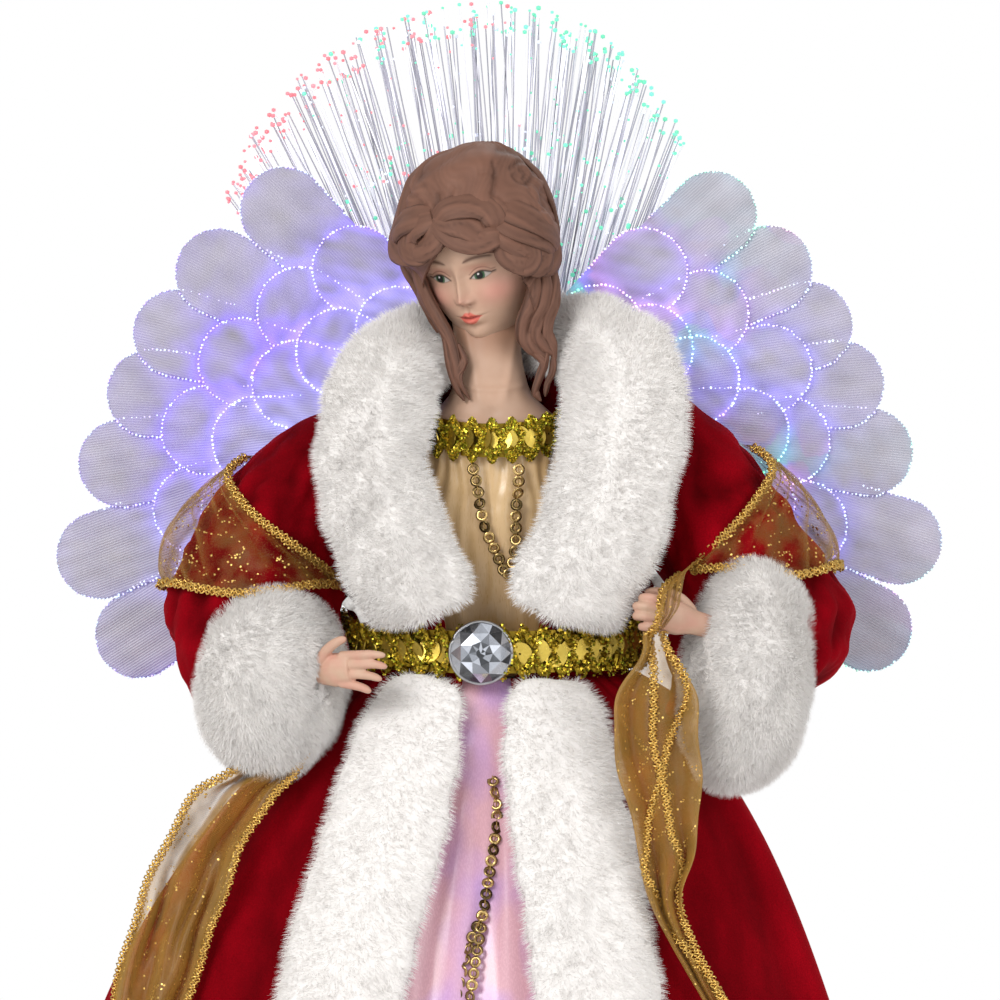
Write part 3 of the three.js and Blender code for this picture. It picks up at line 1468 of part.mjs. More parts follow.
// Feathers of each layer: angle above level in degrees, and reach as a share of the wing's reach.
const featherShares = {
  left: {
    outer: [
      [43.8, 0.708], [26.8, 0.745], [13.8, 0.785], [2.9, 0.822], [-8.1, 0.89], [-20.3, 0.984],
      [-32.4, 0.985],
    ],
    middle: [[46, 0.51], [27.5, 0.553], [11, 0.635], [-4, 0.705], [-18.5, 0.755], [-32, 0.78]],
    inner: [[40.9, 0.354], [20.9, 0.44], [7.5, 0.515], [-7.3, 0.6], [-22, 0.66]],
  },
  right: {
    outer: [
      [41.5, 0.722], [27, 0.755], [15, 0.792], [4.3, 0.838], [-6.3, 0.902], [-17.8, 1.003],
      [-30, 1.02],
    ],
    middle: [[42.5, 0.53], [24.4, 0.59], [8.6, 0.687], [-5.9, 0.723], [-20.3, 0.8], [-33, 0.8]],
    inner: [[37.6, 0.38], [21.5, 0.453], [8.5, 0.531], [-4.9, 0.634], [-20, 0.68]],
  },
};
const layerNames = ["inner", "middle", "outer"];
const bracketBack = BRACKET_FRONT + BRACKET_THICKNESS;
const layerFront = (layer) => bracketBack + SEAT + layer * (FEATHER_THICKNESS + SEAT);
const plateFront = layerFront(layerNames.length);

// One feather, drawn from the root at the origin along +X, with a round tip.
function featherOutline(reach) {
  const bend = reach - FEATHER_HALF_WIDTH;
  const outline = new THREE.Shape();
  outline.moveTo(0, -FEATHER_ROOT_HALF_WIDTH);
  outline.lineTo(bend, -FEATHER_HALF_WIDTH);
  outline.absarc(bend, 0, FEATHER_HALF_WIDTH, -Math.PI / 2, Math.PI / 2);
  outline.lineTo(0, FEATHER_ROOT_HALF_WIDTH);
  return outline;
}

function wingLayer(side, layer) {
  const front = layerFront(layer);
  const feathers = featherShares[sideName(side)][layerNames[layer]].map(([angle, share]) => {
    const geometry = new THREE.ExtrudeGeometry(featherOutline(WING_REACH * share), {
      depth: FEATHER_THICKNESS,
      bevelEnabled: false,
      curveSegments: 5,
    });
    geometry.rotateX(Math.PI / 2);
    geometry.rotateY(side > 0 ? -angle * DEGREE : angle * DEGREE - Math.PI);
    geometry.translate(0, front + FEATHER_THICKNESS, WING_ROOT_HEIGHT);
    return solidOf(geometry);
  });
  const span = side < 0 ? [-WING_ROOT_OUT, WING_REACH] : [-WING_REACH, WING_ROOT_OUT];
  const low = WING_ROOT_HEIGHT - WING_REACH;
  return cut(join(...feathers), boxAt(...span, front - OVERRUN, front + OVERRUN, low, low + 2 * WING_REACH));
}

function screwHeights() {
  const middle = WING_ROOT_HEIGHT + SCREW_RISE;
  return [middle - SCREW_PITCH / 2, middle + SCREW_PITCH / 2];
}

function alongY(radius, lowY, highY, z, sides = SMALL_ROUND) {
  const geometry = new THREE.CylinderGeometry(radius, radius, highY - lowY, sides);
  geometry.translate(0, (lowY + highY) / 2, z);
  return solidOf(geometry);
}

const bracketLow = WING_ROOT_HEIGHT - BRACKET_HALF_HEIGHT;
const bracketHigh = WING_ROOT_HEIGHT + BRACKET_HALF_HEIGHT;
const screwTip = BRACKET_FRONT + BRACKET_THICKNESS / 3;
const plateBack = plateFront + PLATE_THICKNESS;

// The bracket's post reaches forward through the robe's back and stands on the satin bodice.
function wingBracket() {
  const plate = boxAt(
    -BRACKET_HALF_WIDTH,
    BRACKET_HALF_WIDTH,
    BRACKET_FRONT,
    bracketBack,
    bracketLow,
    bracketHigh,
  );
  const post = boxAt(
    -POST_HALF_WIDTH,
    POST_HALF_WIDTH,
    0,
    BRACKET_FRONT + BRACKET_THICKNESS / 2,
    POST_HEIGHT - POST_HALF_HEIGHT,
    POST_HEIGHT + POST_HALF_HEIGHT,
  );
  const bores = screwHeights().map((z) =>
    alongY(SCREW_RADIUS + SEAT, screwTip, bracketBack + OVERRUN, z),
  );
  return cut(join(plate, post), satinFilled(SEAT * 2 + SATIN_CLOTH), bustFilled(SEAT), ...bores);
}

function clampPlate() {
  const plate = boxAt(
    -BRACKET_HALF_WIDTH,
    BRACKET_HALF_WIDTH,
    plateFront,
    plateBack,
    bracketLow,
    bracketHigh,
  );
  const bores = screwHeights().map((z) =>
    alongY(SCREW_RADIUS + SEAT, plateFront - OVERRUN, plateBack + OVERRUN, z),
  );
  return cut(plate, ...bores);
}

// A clamp screw with a flat head, on the level of the origin.
function clampScrew() {
  const seat = plateBack + SEAT;
  return geometryOf(
    join(
      alongY(SCREW_RADIUS, screwTip + SEAT, seat + SCREW_HEAD_HEIGHT / 2, 0, 8),
      alongY(SCREW_HEAD_RADIUS, seat, seat + SCREW_HEAD_HEIGHT, 0),
    ),
  );
}

const haloFront = plateBack + SEAT + SCREW_HEAD_HEIGHT + SEAT;
const haloSweep = { left: 46, right: 31 }; // degrees from upright

// A number from 0 to 1 that looks random but depends only on the fibre's count.
const scatter = (count) => Math.abs((Math.sin(count * 12.9898) * 43758.5453) % 1);

// One fibre as a slim three-sided point.
function strand(root, tip) {
  const ring = oval(root, v3(1, 0, 0), v3(0, 1, 0), FIBRE_RADIUS, FIBRE_RADIUS, 3);
  return surface([...ring, tip], [0, 2, 1, 0, 1, 3, 1, 2, 3, 2, 0, 3]);
}

// The fan of fibres, held at its root in a moulded bar behind the wings' clamp. The fibres of a
// layer stand side by side in the order of their tips, so none crosses another.
function fibreHalo() {
  const bar = boxAt(
    -HALO_ROOT_HALF_WIDTH,
    HALO_ROOT_HALF_WIDTH,
    plateBack + SEAT,
    haloFront + HALO_ROOT_DEPTH,
    HALO_ROOT_TOP - HALO_ROOT_HEIGHT,
    HALO_ROOT_TOP,
  );
  const total = HALO_LAYERS * HALO_PER_LAYER;
  const fibres = Array.from({ length: total }, (_, count) => {
    const layer = count % HALO_LAYERS;
    const share = (count + 0.5) / total;
    const degrees = mix(-haloSweep.left, haloSweep.right, share);
    const edge = degrees / (degrees < 0 ? haloSweep.left : haloSweep.right);
    const reach = HALO_REACH - HALO_DROOP * edge * edge;
    const rootY = haloFront + HALO_LAYER_GAP * (layer + 0.5);
    const root = v3(
      mix(-0.94, 0.94, share) * HALO_ROOT_HALF_WIDTH,
      rootY,
      HALO_ROOT_TOP - HALO_LAYER_GAP,
    );
    const end = v3(
      Math.sin(degrees * DEGREE) * reach,
      rootY + HALO_LAYER_SPREAD * layer,
      HALO_ROOT_TOP + Math.cos(degrees * DEGREE) * reach,
    );
    const chance = scatter(count + 1);
    return strand(root, root.clone().lerp(end, chance < 0.55 ? 1 - chance / 10 : 1.2 - chance * 0.75));
  });
  return join(bar, ...fibres);
}

// Light trunks from the lamps up to the wings' clamp, and the middle one to the halo's root.
function trunk(column) {
  const start = column * LAMP_PITCH;
  const top = column * TRUNK_PITCH;
  const isHalo = column === 0;
  const bottom = lidTop + SEAT;
  const end = isHalo ? HALO_ROOT_TOP - HALO_ROOT_HEIGHT - SEAT : bracketLow - SEAT;
  const back = isHalo ? haloFront + HALO_ROOT_DEPTH / 2 : bracketBack - TRUNK_RADIUS;
  const radius = TRUNK_RADIUS * (isHalo ? 0.82 : 0.9);
  const route = [
    v3(start, 0, bottom),
    v3(start, 0, bottom + SOCKET_HEIGHT * 1.5),
    v3(mix(start, top, 0.7), TRUNK_BACK * 0.7, CONE_TOP_HEIGHT * 0.7),
    v3(top, TRUNK_BACK, CONE_TOP_HEIGHT),
    v3(top, TRUNK_BACK, WAIST_HEIGHT + TRUNK_RADIUS * 3),
    v3(top, mix(TRUNK_BACK, back, isHalo ? 0.45 : 0.6), end - TRUNK_RADIUS * 5.5),
    v3(top, back, end - TRUNK_RADIUS),
    v3(top, back, end),
  ];
  return tube(route, radius, 13, TRUNK_SIDES);
}

function supportCone() {
  const foot = BASE_RADIUS + SEAT;
  return turned(
    [
      [foot, CONE_FOOT_HEIGHT],
      [foot + CONE_WALL, CONE_FOOT_HEIGHT],
      [foot + CONE_WALL, lidTop + SEAT],
      [CONE_TOP_RADIUS, CONE_TOP_HEIGHT],
      [CONE_TOP_RADIUS - CONE_WALL, CONE_TOP_HEIGHT],
      [foot, lidTop],
      [foot, CONE_FOOT_HEIGHT],
    ],
    ROUND,
  );
}

// The foam block that fills the waist, under both skirts' top edges.
function waistBlock() {
  const slot = TRUNK_PITCH + TRUNK_RADIUS + SOFT_GAP;
  const bottom = CONE_TOP_HEIGHT + SEAT;
  const inset = ROBE_CLOTH + SOFT_GAP + SATIN_CLOTH + SEAT;
  const level = { halfWidth: WAIST_HALF_WIDTH - inset, halfDepth: WAIST_HALF_DEPTH - inset };
  return cut(
    stack([{ ...level, z: bottom }, { ...level, z: WAIST_HEIGHT }], BODY_SIDES),
    boxAt(
      -slot,
      slot,
      TRUNK_BACK - TRUNK_RADIUS - SOFT_GAP,
      WAIST_HALF_DEPTH + OVERRUN,
      bottom - OVERRUN,
      WAIST_HEIGHT + OVERRUN,
    ),
  );
}

function bodyGroup() {
  const group = new THREE.Group();
  const beltCutter = beltFilled(SOFT_GAP);
  const far = 2 * COLLAR_REACH;
  const collarCutters = [
    boxAt(-far, far, -far, far, 0, COLLAR_FOOT),
    bodiceFilled(SOFT_GAP),
    bustFilled(SOFT_GAP),
    headFilled(SOFT_GAP),
    satinFilled(SEAT * 2 + SATIN_CLOTH),
    beltCutter,
    armhole(-1),
    armhole(1),
  ];
  const collar = (side) => cut(collarHalf(side), farSide(side), ...collarCutters);
  const neckCollars = [collarHalf(-1, SOFT_GAP), collarHalf(1, SOFT_GAP)];
  const stone = new THREE.Mesh(jewel(), finishes.crystal);
  stone.name = "belt_jewel";
  stone.position.set(-JEWEL_OUT, -BELT_HALF_DEPTH - BELT_THICKNESS / 2 - SEAT, BELT_MIDDLE);
  group.add(
    piece("support_cone", supportCone(), finishes.card),
    piece("waist_block", waistBlock(), finishes.foam),
    piece("torso_core", stack(torsoLevels(), BODY_SIDES), finishes.foam),
    piece("head_and_bust", join(bustFilled(0), headFilled(0)), finishes.resin),
    piece("underskirt", underskirt(), finishes.pinkSatin),
    piece("robe_skirt", robeSkirt(), finishes.velvet),
    piece("left_front_trim", frontTrim(-1, beltCutter), finishes.fur),
    piece("right_front_trim", frontTrim(1, beltCutter), finishes.fur),
    piece("satin_bodice", satinBodice(), finishes.goldSatin),
    piece("robe_bodice", robeBodice(), finishes.velvet),
    piece("left_collar", collar(-1), finishes.fur),
    piece("right_collar", collar(1), finishes.fur),
    piece("neckline_braid", cut(necklineBraid(), ...neckCollars), finishes.gold),
    piece("waist_braid", beltFilled(0), finishes.gold),
    stone,
    piece("bodice_sequins", bodiceSequins(), finishes.gold),
    piece("skirt_sequins", skirtSequins(), finishes.gold),
  );
  return group;
}

// One arm turns about its shoulder, so its group's origin is there.
function armGroup(side) {
  const group = new THREE.Group();
  group.position.copy(shoulder(side));
  group.updateMatrixWorld();
  const skirts = [robeFilled(SOFT_GAP), trimFilled(side, SOFT_GAP)];
  const chest = [collarHalf(side, SOFT_GAP), bodiceFilled(SOFT_GAP), beltFilled(SOFT_GAP)];
  const bore = wireFilled(side, WIRE_GAP);
  const handCutter = handFilled(side, SOFT_GAP);
  const cuffCutter = cuffFilled(side, SOFT_GAP);
  const sleeveCutters = [sleeveFilled(side, SOFT_GAP), capFilled(side, SOFT_GAP)];
  const sleeveBody = cut(sleeveFilled(side, 0), besideBody(side), ...skirts);
  const sleeve = cut(join(sleeveBody, capFilled(side, 0)), bore, handCutter);
  const cuff = cut(cuffFilled(side, 0), ...sleeveCutters, handCutter, bore, ...skirts, ...chest);
  const wrap = cut(shawlWrap(side), cuffCutter, besideBody(side), capFilled(side, SEAT), ...skirts);
  const tail = cut(shawlTail(side), ...sleeveCutters, cuffCutter, handCutter, ...skirts);
  const name = sideName(side);
  [
    piece(`${name}_sleeve`, sleeve, finishes.velvet),
    piece(`${name}_cuff`, cuff, finishes.fur),
    piece(`${name}_hand`, handFilled(side, 0), finishes.resin),
    piece(`${name}_arm_wire`, cut(wireFilled(side, 0), handCutter), finishes.steel),
    piece(`${name}_shawl_wrap`, wrap, finishes.organza),
    piece(`${name}_shawl_tail`, tail, finishes.organza),
  ].forEach((mesh) => group.attach(mesh));
  return group;
}

function lightGroup() {
  const group = new THREE.Group();
  group.add(
    piece("left_wing_trunk", trunk(-1), finishes.fibre),
    piece("halo_trunk", trunk(0), finishes.fibre),
    piece("right_wing_trunk", trunk(1), finishes.fibre),
    piece("wing_bracket", wingBracket(), finishes.mould),
    piece("wing_clamp_plate", clampPlate(), finishes.mould),
    piece("fibre_halo", fibreHalo(), finishes.fibre),
  );
  screwHeights().forEach((z, i) => {
    const mesh = new THREE.Mesh(clampScrew(), finishes.steel);
    mesh.name = ["lower_clamp_screw", "upper_clamp_screw"][i];
    mesh.position.set(0, 0, z);
    group.add(mesh);
  });
  [-1, 1].forEach((side) => {
    layerNames.forEach((layer, i) => {
      const name = `${sideName(side)}_wing_${layer}_feathers`;
      group.add(piece(name, wingLayer(side, i), finishes.feather));
    });
  });
  return group;
}

const angel = new THREE.Group();
angel.add(baseGroup(), bodyGroup(), armGroup(-1), armGroup(1), lightGroup());

export default angel;
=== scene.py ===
"""A fibre optic angel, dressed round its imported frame: cloth, fur, hair, sequins and lit fibres.

Sizes are in millimetres in the frame of the CAD part, and meshes are stored in metres.
"""

import logging
import math
from collections.abc import Iterable, Sequence
from dataclasses import dataclass, field
from enum import Enum

import bpy
import numpy as np
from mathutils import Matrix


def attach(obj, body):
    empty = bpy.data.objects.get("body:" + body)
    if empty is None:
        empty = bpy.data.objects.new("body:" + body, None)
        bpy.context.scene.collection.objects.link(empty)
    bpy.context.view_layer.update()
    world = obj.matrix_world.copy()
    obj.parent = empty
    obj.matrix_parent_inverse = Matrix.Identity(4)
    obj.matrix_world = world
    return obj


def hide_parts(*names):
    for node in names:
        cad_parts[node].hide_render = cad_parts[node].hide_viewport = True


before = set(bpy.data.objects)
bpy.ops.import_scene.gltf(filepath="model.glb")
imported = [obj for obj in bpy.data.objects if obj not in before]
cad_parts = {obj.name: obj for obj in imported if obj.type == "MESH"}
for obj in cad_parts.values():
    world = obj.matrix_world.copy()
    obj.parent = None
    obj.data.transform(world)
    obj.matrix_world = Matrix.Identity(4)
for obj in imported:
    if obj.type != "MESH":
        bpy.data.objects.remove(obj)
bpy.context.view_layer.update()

Array = np.ndarray
Color = Sequence[float]
Paint = bpy.types.NodeSocket | Color
MM = 0.001
TAU = 2 * math.pi
LOG = logging.getLogger("angel")

WAIST_HEIGHT = 203.5
SKIRT_DROP = 201.5
SHOULDERS = {-1: (-51.0, 0.0, 262.0), 1: (51.0, 0.0, 269.0)}
ARM_REACH = 60.0


class Side(Enum):
    """The picture's left or right half, with the sign of its x."""

    LEFT = -1
    RIGHT = 1

    @property
    def label(self) -> str:
        """The side's word in node and body names."""
        return self.name.lower()


class Coat(Enum):
    """How a fur strip is combed."""

    OUTWARD = "outward"
    DOWNWARD = "downward"


# Arrays, curves and small shapes


def unit(vectors: Array) -> Array:
    """Vectors scaled to length one along the last axis."""
    return vectors / (np.linalg.norm(vectors, axis=-1, keepdims=True) + 1e-12)


def xyz(x: Array | float, y: Array | float, z: Array | float) -> Array:
    """Coordinates of shapes that fit each other, put together on a last axis."""
    return np.stack(np.broadcast_arrays(x, y, z), -1)


def off_axis(way: Array) -> Array:
    """An axis well away from each direction: Z, or X where the direction is steep."""
    return np.where(np.abs(way[..., 2:]) > 0.9, [1.0, 0, 0], [0, 0, 1.0])


def turned_to(normal: Array, away: Array) -> Array:
    """Normals, reversed where they point against a direction."""
    return normal * np.sign((normal * away).sum(-1, keepdims=True))


def ease(low: float, high: float, value: Array) -> Array:
    """A smooth step: 3t^2 - 2t^3 of the way from low to high."""
    share = np.clip((value - low) / (high - low), 0, 1)
    return share * share * (3 - 2 * share)


def hill(offset: Array, width: float) -> Array:
    """A bell curve, exp(-(offset / width)^2)."""
    return np.exp(-((offset / width) ** 2))


def along(table: Sequence[Sequence[float]], places: Array) -> Array:
    """A Catmull-Rom curve through a table's rows.

    Args:
        table: Rows of numbers, one for each control point.
        places: Row positions, from 0 to the last row.

    Returns:
        One row of numbers for each place.
    """
    rows = np.asarray(table, float)
    last = len(rows) - 1
    start = np.clip(places.astype(int), 0, last - 1)
    t = (places - start)[:, None]
    a, b = rows[np.clip(start - 1, 0, last)], rows[start]
    c, d = rows[start + 1], rows[np.clip(start + 2, 0, last)]
    cubic = 3 * b - a - 3 * c + d
    return 0.5 * (2 * b + (c - a) * t + (2 * a - 5 * b + 4 * c - d) * t**2 + cubic * t**3)


def through(table: Sequence[Sequence[float]], count: int) -> Array:
    """The same curve at an even number of steps from its first row to its last."""
    return along(table, np.linspace(0, len(table) - 1, count))


def travelled(path: Array) -> Array:
    """How far along a path each of its points is."""
    return np.concatenate([[0], np.cumsum(np.linalg.norm(np.diff(path, axis=0), axis=-1))])


def read_off(places: Array, travel: Array, rows: Array) -> Array:
    """A path's rows of three numbers, read off at distances along it."""
    return np.stack([np.interp(places, travel, rows[:, i]) for i in range(3)], -1)


def rumple(points: Array, size: float, seed: int) -> Array:
    """Smooth noise from about -1 to 1: twelve sine waves in random directions.

    Args:
        points: Places, with x, y and z on the last axis.
        size: The usual wavelength, in the points' own unit.
        seed: Chooses the waves.

    Returns:
        One number for each place.
    """
    rng = np.random.default_rng(seed)
    total = np.zeros(points.shape[:-1])
    for _ in range(12):
        direction = unit(rng.normal(size=3)) * TAU / (size * rng.uniform(0.6, 1.7))
        total = total + np.sin(points @ direction + rng.uniform(0, TAU))
    return total / 3.9


@dataclass
class Shape:
    """Points in millimetres, arrays of faces with 3 or more corners, and marks for each point."""

    points: Array
    faces: list[Array]
    marks: dict[str, Array] = field(default_factory=dict)

    def volume(self) -> float:
        """Six times the signed volume, by fans from the origin."""
        total = 0.0
        for face in self.faces:
            corners = self.points[face]
            for i in range(1, face.shape[1] - 1):
                cross = np.cross(corners[:, i], corners[:, i + 1])
                total += float((corners[:, 0] * cross).sum())
        return total

    def outward(self) -> "Shape":
        """The same closed shape with its faces pointing out."""
        if self.volume() >= 0:
            return self
        return Shape(self.points, [face[:, ::-1] for face in self.faces], self.marks)


def gathered(shapes: Iterable[Shape]) -> Shape:
    """Many shapes as one. All of them carry the same marks."""
    parts = list(shapes)
    starts = np.cumsum([0] + [len(part.points) for part in parts])
    faces = [face + start for part, start in zip(parts, starts) for face in part.faces]
    marks = {key: np.concatenate([part.marks[key] for part in parts]) for key in parts[0].marks}
    return Shape(np.concatenate([part.points for part in parts]), faces, marks)


def grid(points: Array, rows_close: bool = False, columns_close: bool = False, **marks: Array) -> Shape:
    """A surface over a grid of points.

    Args:
        points: Rows by columns by x, y and z.
        rows_close: Whether the last row joins the first.
        columns_close: Whether the last column joins the first.
        **marks: Values or colours for each point, rows by columns.

    Returns:
        The surface of four-sided faces.
    """
    rows, columns = points.shape[:2]
    row = np.arange(rows if rows_close else rows - 1)[:, None]
    column = np.arange(columns if columns_close else columns - 1)[None]
    start, below, beside = row * columns, (row + 1) % rows * columns, (column + 1) % columns
    corners = [start + column, start + beside, below + beside, below + column]
    quads = np.stack(np.broadcast_arrays(*corners), -1).reshape(-1, 4)
    flat = {key: np.asarray(value, float).reshape(rows * columns, -1) for key, value in marks.items()}
    return Shape(points.reshape(-1, 3), [quads], flat)


def normals(points: Array, columns_close: bool = False) -> Array:
    """The unit normals of a grid: its slope along its rows crossed with its slope down them."""
    if columns_close:
        across = np.roll(points, -1, 1) - np.roll(points, 1, 1)
    else:
        across = np.gradient(points, axis=1)
    return unit(np.cross(across, np.gradient(points, axis=0)))


def cell_areas(points: Array, columns_close: bool) -> Array:
    """The area of each cell of a grid, in square millimetres."""
    if columns_close:
        points = np.concatenate([points, points[:, :1]], 1)
    across, down = np.diff(points, axis=1)[:-1], np.diff(points, axis=0)[:, :-1]
    return np.linalg.norm(np.cross(across, down), axis=-1)


def slab(points: Array, thickness: float, columns_close: bool = False, **marks: Array) -> Shape:
    """A closed sheet: the grid, its copy moved back along its normals, and the edges between.

    Args:
        points: The outer face, rows by columns.
        thickness: How far back the inner face lies. A negative one lies in front.
        columns_close: Whether the sheet is a ring.
        **marks: Values or colours for each point, rows by columns.

    Returns:
        The closed shape, with its faces pointing out.
    """
    back = points - thickness * normals(points, columns_close)
    both = {key: np.concatenate([value, value[::-1]]) for key, value in marks.items()}
    shape = grid(np.concatenate([points, back[::-1]]), True, columns_close, **both)
    if not columns_close:
        rows, columns = points.shape[:2]
        row = np.arange(rows - 1)
        for column in (0, columns - 1):
            front = row * columns + column
            rear = (2 * rows - 1 - row) * columns + column
            quad = np.stack([front, front + columns, rear - columns, rear], -1)
            shape.faces.append(quad if column == 0 else quad[:, ::-1])
    return shape.outward()


def sweep(path: Array, across: Array, wide: Array, thick: Array, sides: int) -> Array:
    """Ovals carried along a path: middle + across * wide * cos(turn) + out * thick * sin(turn).

    Args:
        path: Points along the way.
        across: The ovals' sideways directions.
        wide: Half widths along across.
        thick: Half widths along the other direction.
        sides: Points in each oval.

    Returns:
        A grid, one row for each oval.
    """
    tangent = unit(np.gradient(path, axis=0))
    out = unit(np.cross(tangent, across))
    level = np.cross(out, tangent)
    turn = np.arange(sides) * TAU / sides
    side = level[:, None] * np.cos(turn)[None, :, None] * np.asarray(wide)[:, None, None]
    rise = out[:, None] * np.sin(turn)[None, :, None] * np.asarray(thick)[:, None, None]
    return path[:, None] + side + rise


def closed(points: Array, **marks: Array) -> Shape:
    """A closed skin over rings of points, with a flat face on each end ring."""
    rows, columns = points.shape[:2]
    shape = grid(points, columns_close=True, **marks)
    ring = np.arange(columns)[None]
    shape.faces += [ring[:, ::-1], ring + (rows - 1) * columns]
    return shape.outward()


def tubes(paths: Array, radius: Array | float, sides: int, **marks: Array) -> Shape:
    """Many round tubes at once, each along its own path.

    Args:
        paths: Tubes by points by x, y and z.
        radius: One radius, or one for each point of each tube.
        sides: Sides of each tube.
        **marks: Values or colours for each point of each tube.

    Returns:
        The closed tubes as one shape.
    """
    count, steps = paths.shape[:2]
    tangent = unit(np.gradient(paths, axis=1))
    aside = unit(np.cross(tangent, off_axis(tangent)))
    up = np.cross(tangent, aside)
    turn = np.arange(sides) * TAU / sides
    reach = np.broadcast_to(np.asarray(radius, float), (count, steps))[..., None, None]
    ring = aside[:, :, None] * np.cos(turn)[:, None] + up[:, :, None] * np.sin(turn)[:, None]
    points = paths[:, :, None] + reach * ring
    size = steps * sides
    start = (np.arange(count) * size)[:, None, None]
    row, column = np.arange(steps - 1)[:, None] * sides, np.arange(sides)[None]
    beside = (column + 1) % sides
    corners = [row + column, row + beside, row + sides + beside, row + sides + column]
    quads = np.stack([start + corner for corner in corners], -1).reshape(-1, 4)
    ends = np.arange(sides) + (np.arange(count) * size)[:, None]
    flat = {}
    for key, value in marks.items():
        spread = np.broadcast_to(np.asarray(value, float), (count, steps, np.shape(value)[-1]))
        flat[key] = np.repeat(spread, sides, axis=1).reshape(count * size, -1)
    faces = [quads[:, ::-1], ends, (ends + size - sides)[:, ::-1]]
    return Shape(points.reshape(-1, 3), faces, flat)


def scatter(template: Shape, places: Array, frames: Array, sizes: Array | float, **marks: Array) -> Shape:
    """Copies of a small shape.

    Args:
        template: The shape, about its own origin.
        places: Where each copy goes.
        frames: Each copy's three axes, as rows.
        sizes: One scale, or one for each copy.
        **marks: A value or colour for each copy.

    Returns:
        All copies as one shape.
    """
    count, each = len(places), len(template.points)
    scale = np.broadcast_to(np.asarray(sizes, float), (count,))[:, None, None]
    points = places[:, None] + scale * np.einsum("pk,nkx->npx", template.points, frames)
    start = (np.arange(count) * each)[:, None, None]
    faces = [(start + face[None]).reshape(-1, face.shape[1]) for face in template.faces]
    flat = {
        key: np.repeat(np.asarray(value, float).reshape(count, -1), each, axis=0)
        for key, value in marks.items()
    }
    return Shape(points.reshape(-1, 3), faces, flat)


def bases(normal: Array, spin: Array | float = 0.0) -> Array:
    """Axes for copies that lie on a surface: two in the surface, turned by spin, then its normal."""
    normal = unit(normal)
    first = unit(np.cross(off_axis(normal), normal))
    second = np.cross(normal, first)
    cos, sin = np.cos(spin), np.sin(spin)
    cos, sin = (np.broadcast_to(v, normal.shape[:-1])[..., None] for v in (cos, sin))
    return np.stack([first * cos + second * sin, second * cos - first * sin, normal], -2)


def bead() -> Shape:
    """An icosahedron of radius one."""
    gold = (1 + 5**0.5) / 2
    points = [(-1, gold, 0), (1, gold, 0), (-1, -gold, 0), (1, -gold, 0), (0, -1, gold), (0, 1, gold)]
    points += [(0, -1, -gold), (0, 1, -gold), (gold, 0, -1), (gold, 0, 1), (-gold, 0, -1), (-gold, 0, 1)]
    faces = [(0, 11, 5), (0, 5, 1), (0, 1, 7), (0, 7, 10), (0, 10, 11), (1, 5, 9), (5, 11, 4)]
    faces += [(11, 10, 2), (10, 7, 6), (7, 1, 8), (3, 9, 4), (3, 4, 2), (3, 2, 6), (3, 6, 8)]
    faces += [(3, 8, 9), (4, 9, 5), (2, 4, 11), (6, 2, 10), (8, 6, 7), (9, 8, 1)]
    return Shape(unit(np.array(points, float)), [np.array(faces)])


def washer(hole: float, rim: float, thickness: float, sides: int) -> Shape:
    """A flat ring from hole to rim, cupped a little towards its hole."""
    turn = np.arange(sides) * TAU / sides
    profile = [(hole, -thickness / 2), (rim, 0), (rim, thickness), (hole, thickness / 2)]
    rings = [[r * np.cos(turn), r * np.sin(turn), np.full(sides, z)] for r, z in profile]
    return grid(np.transpose(rings, (0, 2, 1)), True, True).outward()


def flake(sides: int, thickness: float) -> Shape:
    """A thin closed plate of radius one."""
    turn = np.arange(sides) * TAU / sides
    ring = xyz(np.cos(turn), np.sin(turn), 0.0)
    return closed(np.stack([ring - [0, 0, thickness / 2], ring + [0, 0, thickness / 2]]))


def on_grid(points: Array, rows: Array, columns: Array, columns_close: bool) -> Array:
    """A grid's value at places between its points, blended from the four round each."""
    count_r, count_c = points.shape[:2]
    r0 = np.clip(rows.astype(int), 0, count_r - 2)
    c0 = columns.astype(int) if columns_close else np.clip(columns.astype(int), 0, count_c - 2)
    fr, fc = (rows - r0)[:, None], (columns - c0)[:, None]
    c0, c1 = c0 % count_c, (c0 + 1) % count_c
    top = points[r0, c0] * (1 - fc) + points[r0, c1] * fc
    low = points[r0 + 1, c0] * (1 - fc) + points[r0 + 1, c1] * fc
    return top * (1 - fr) + low * fr


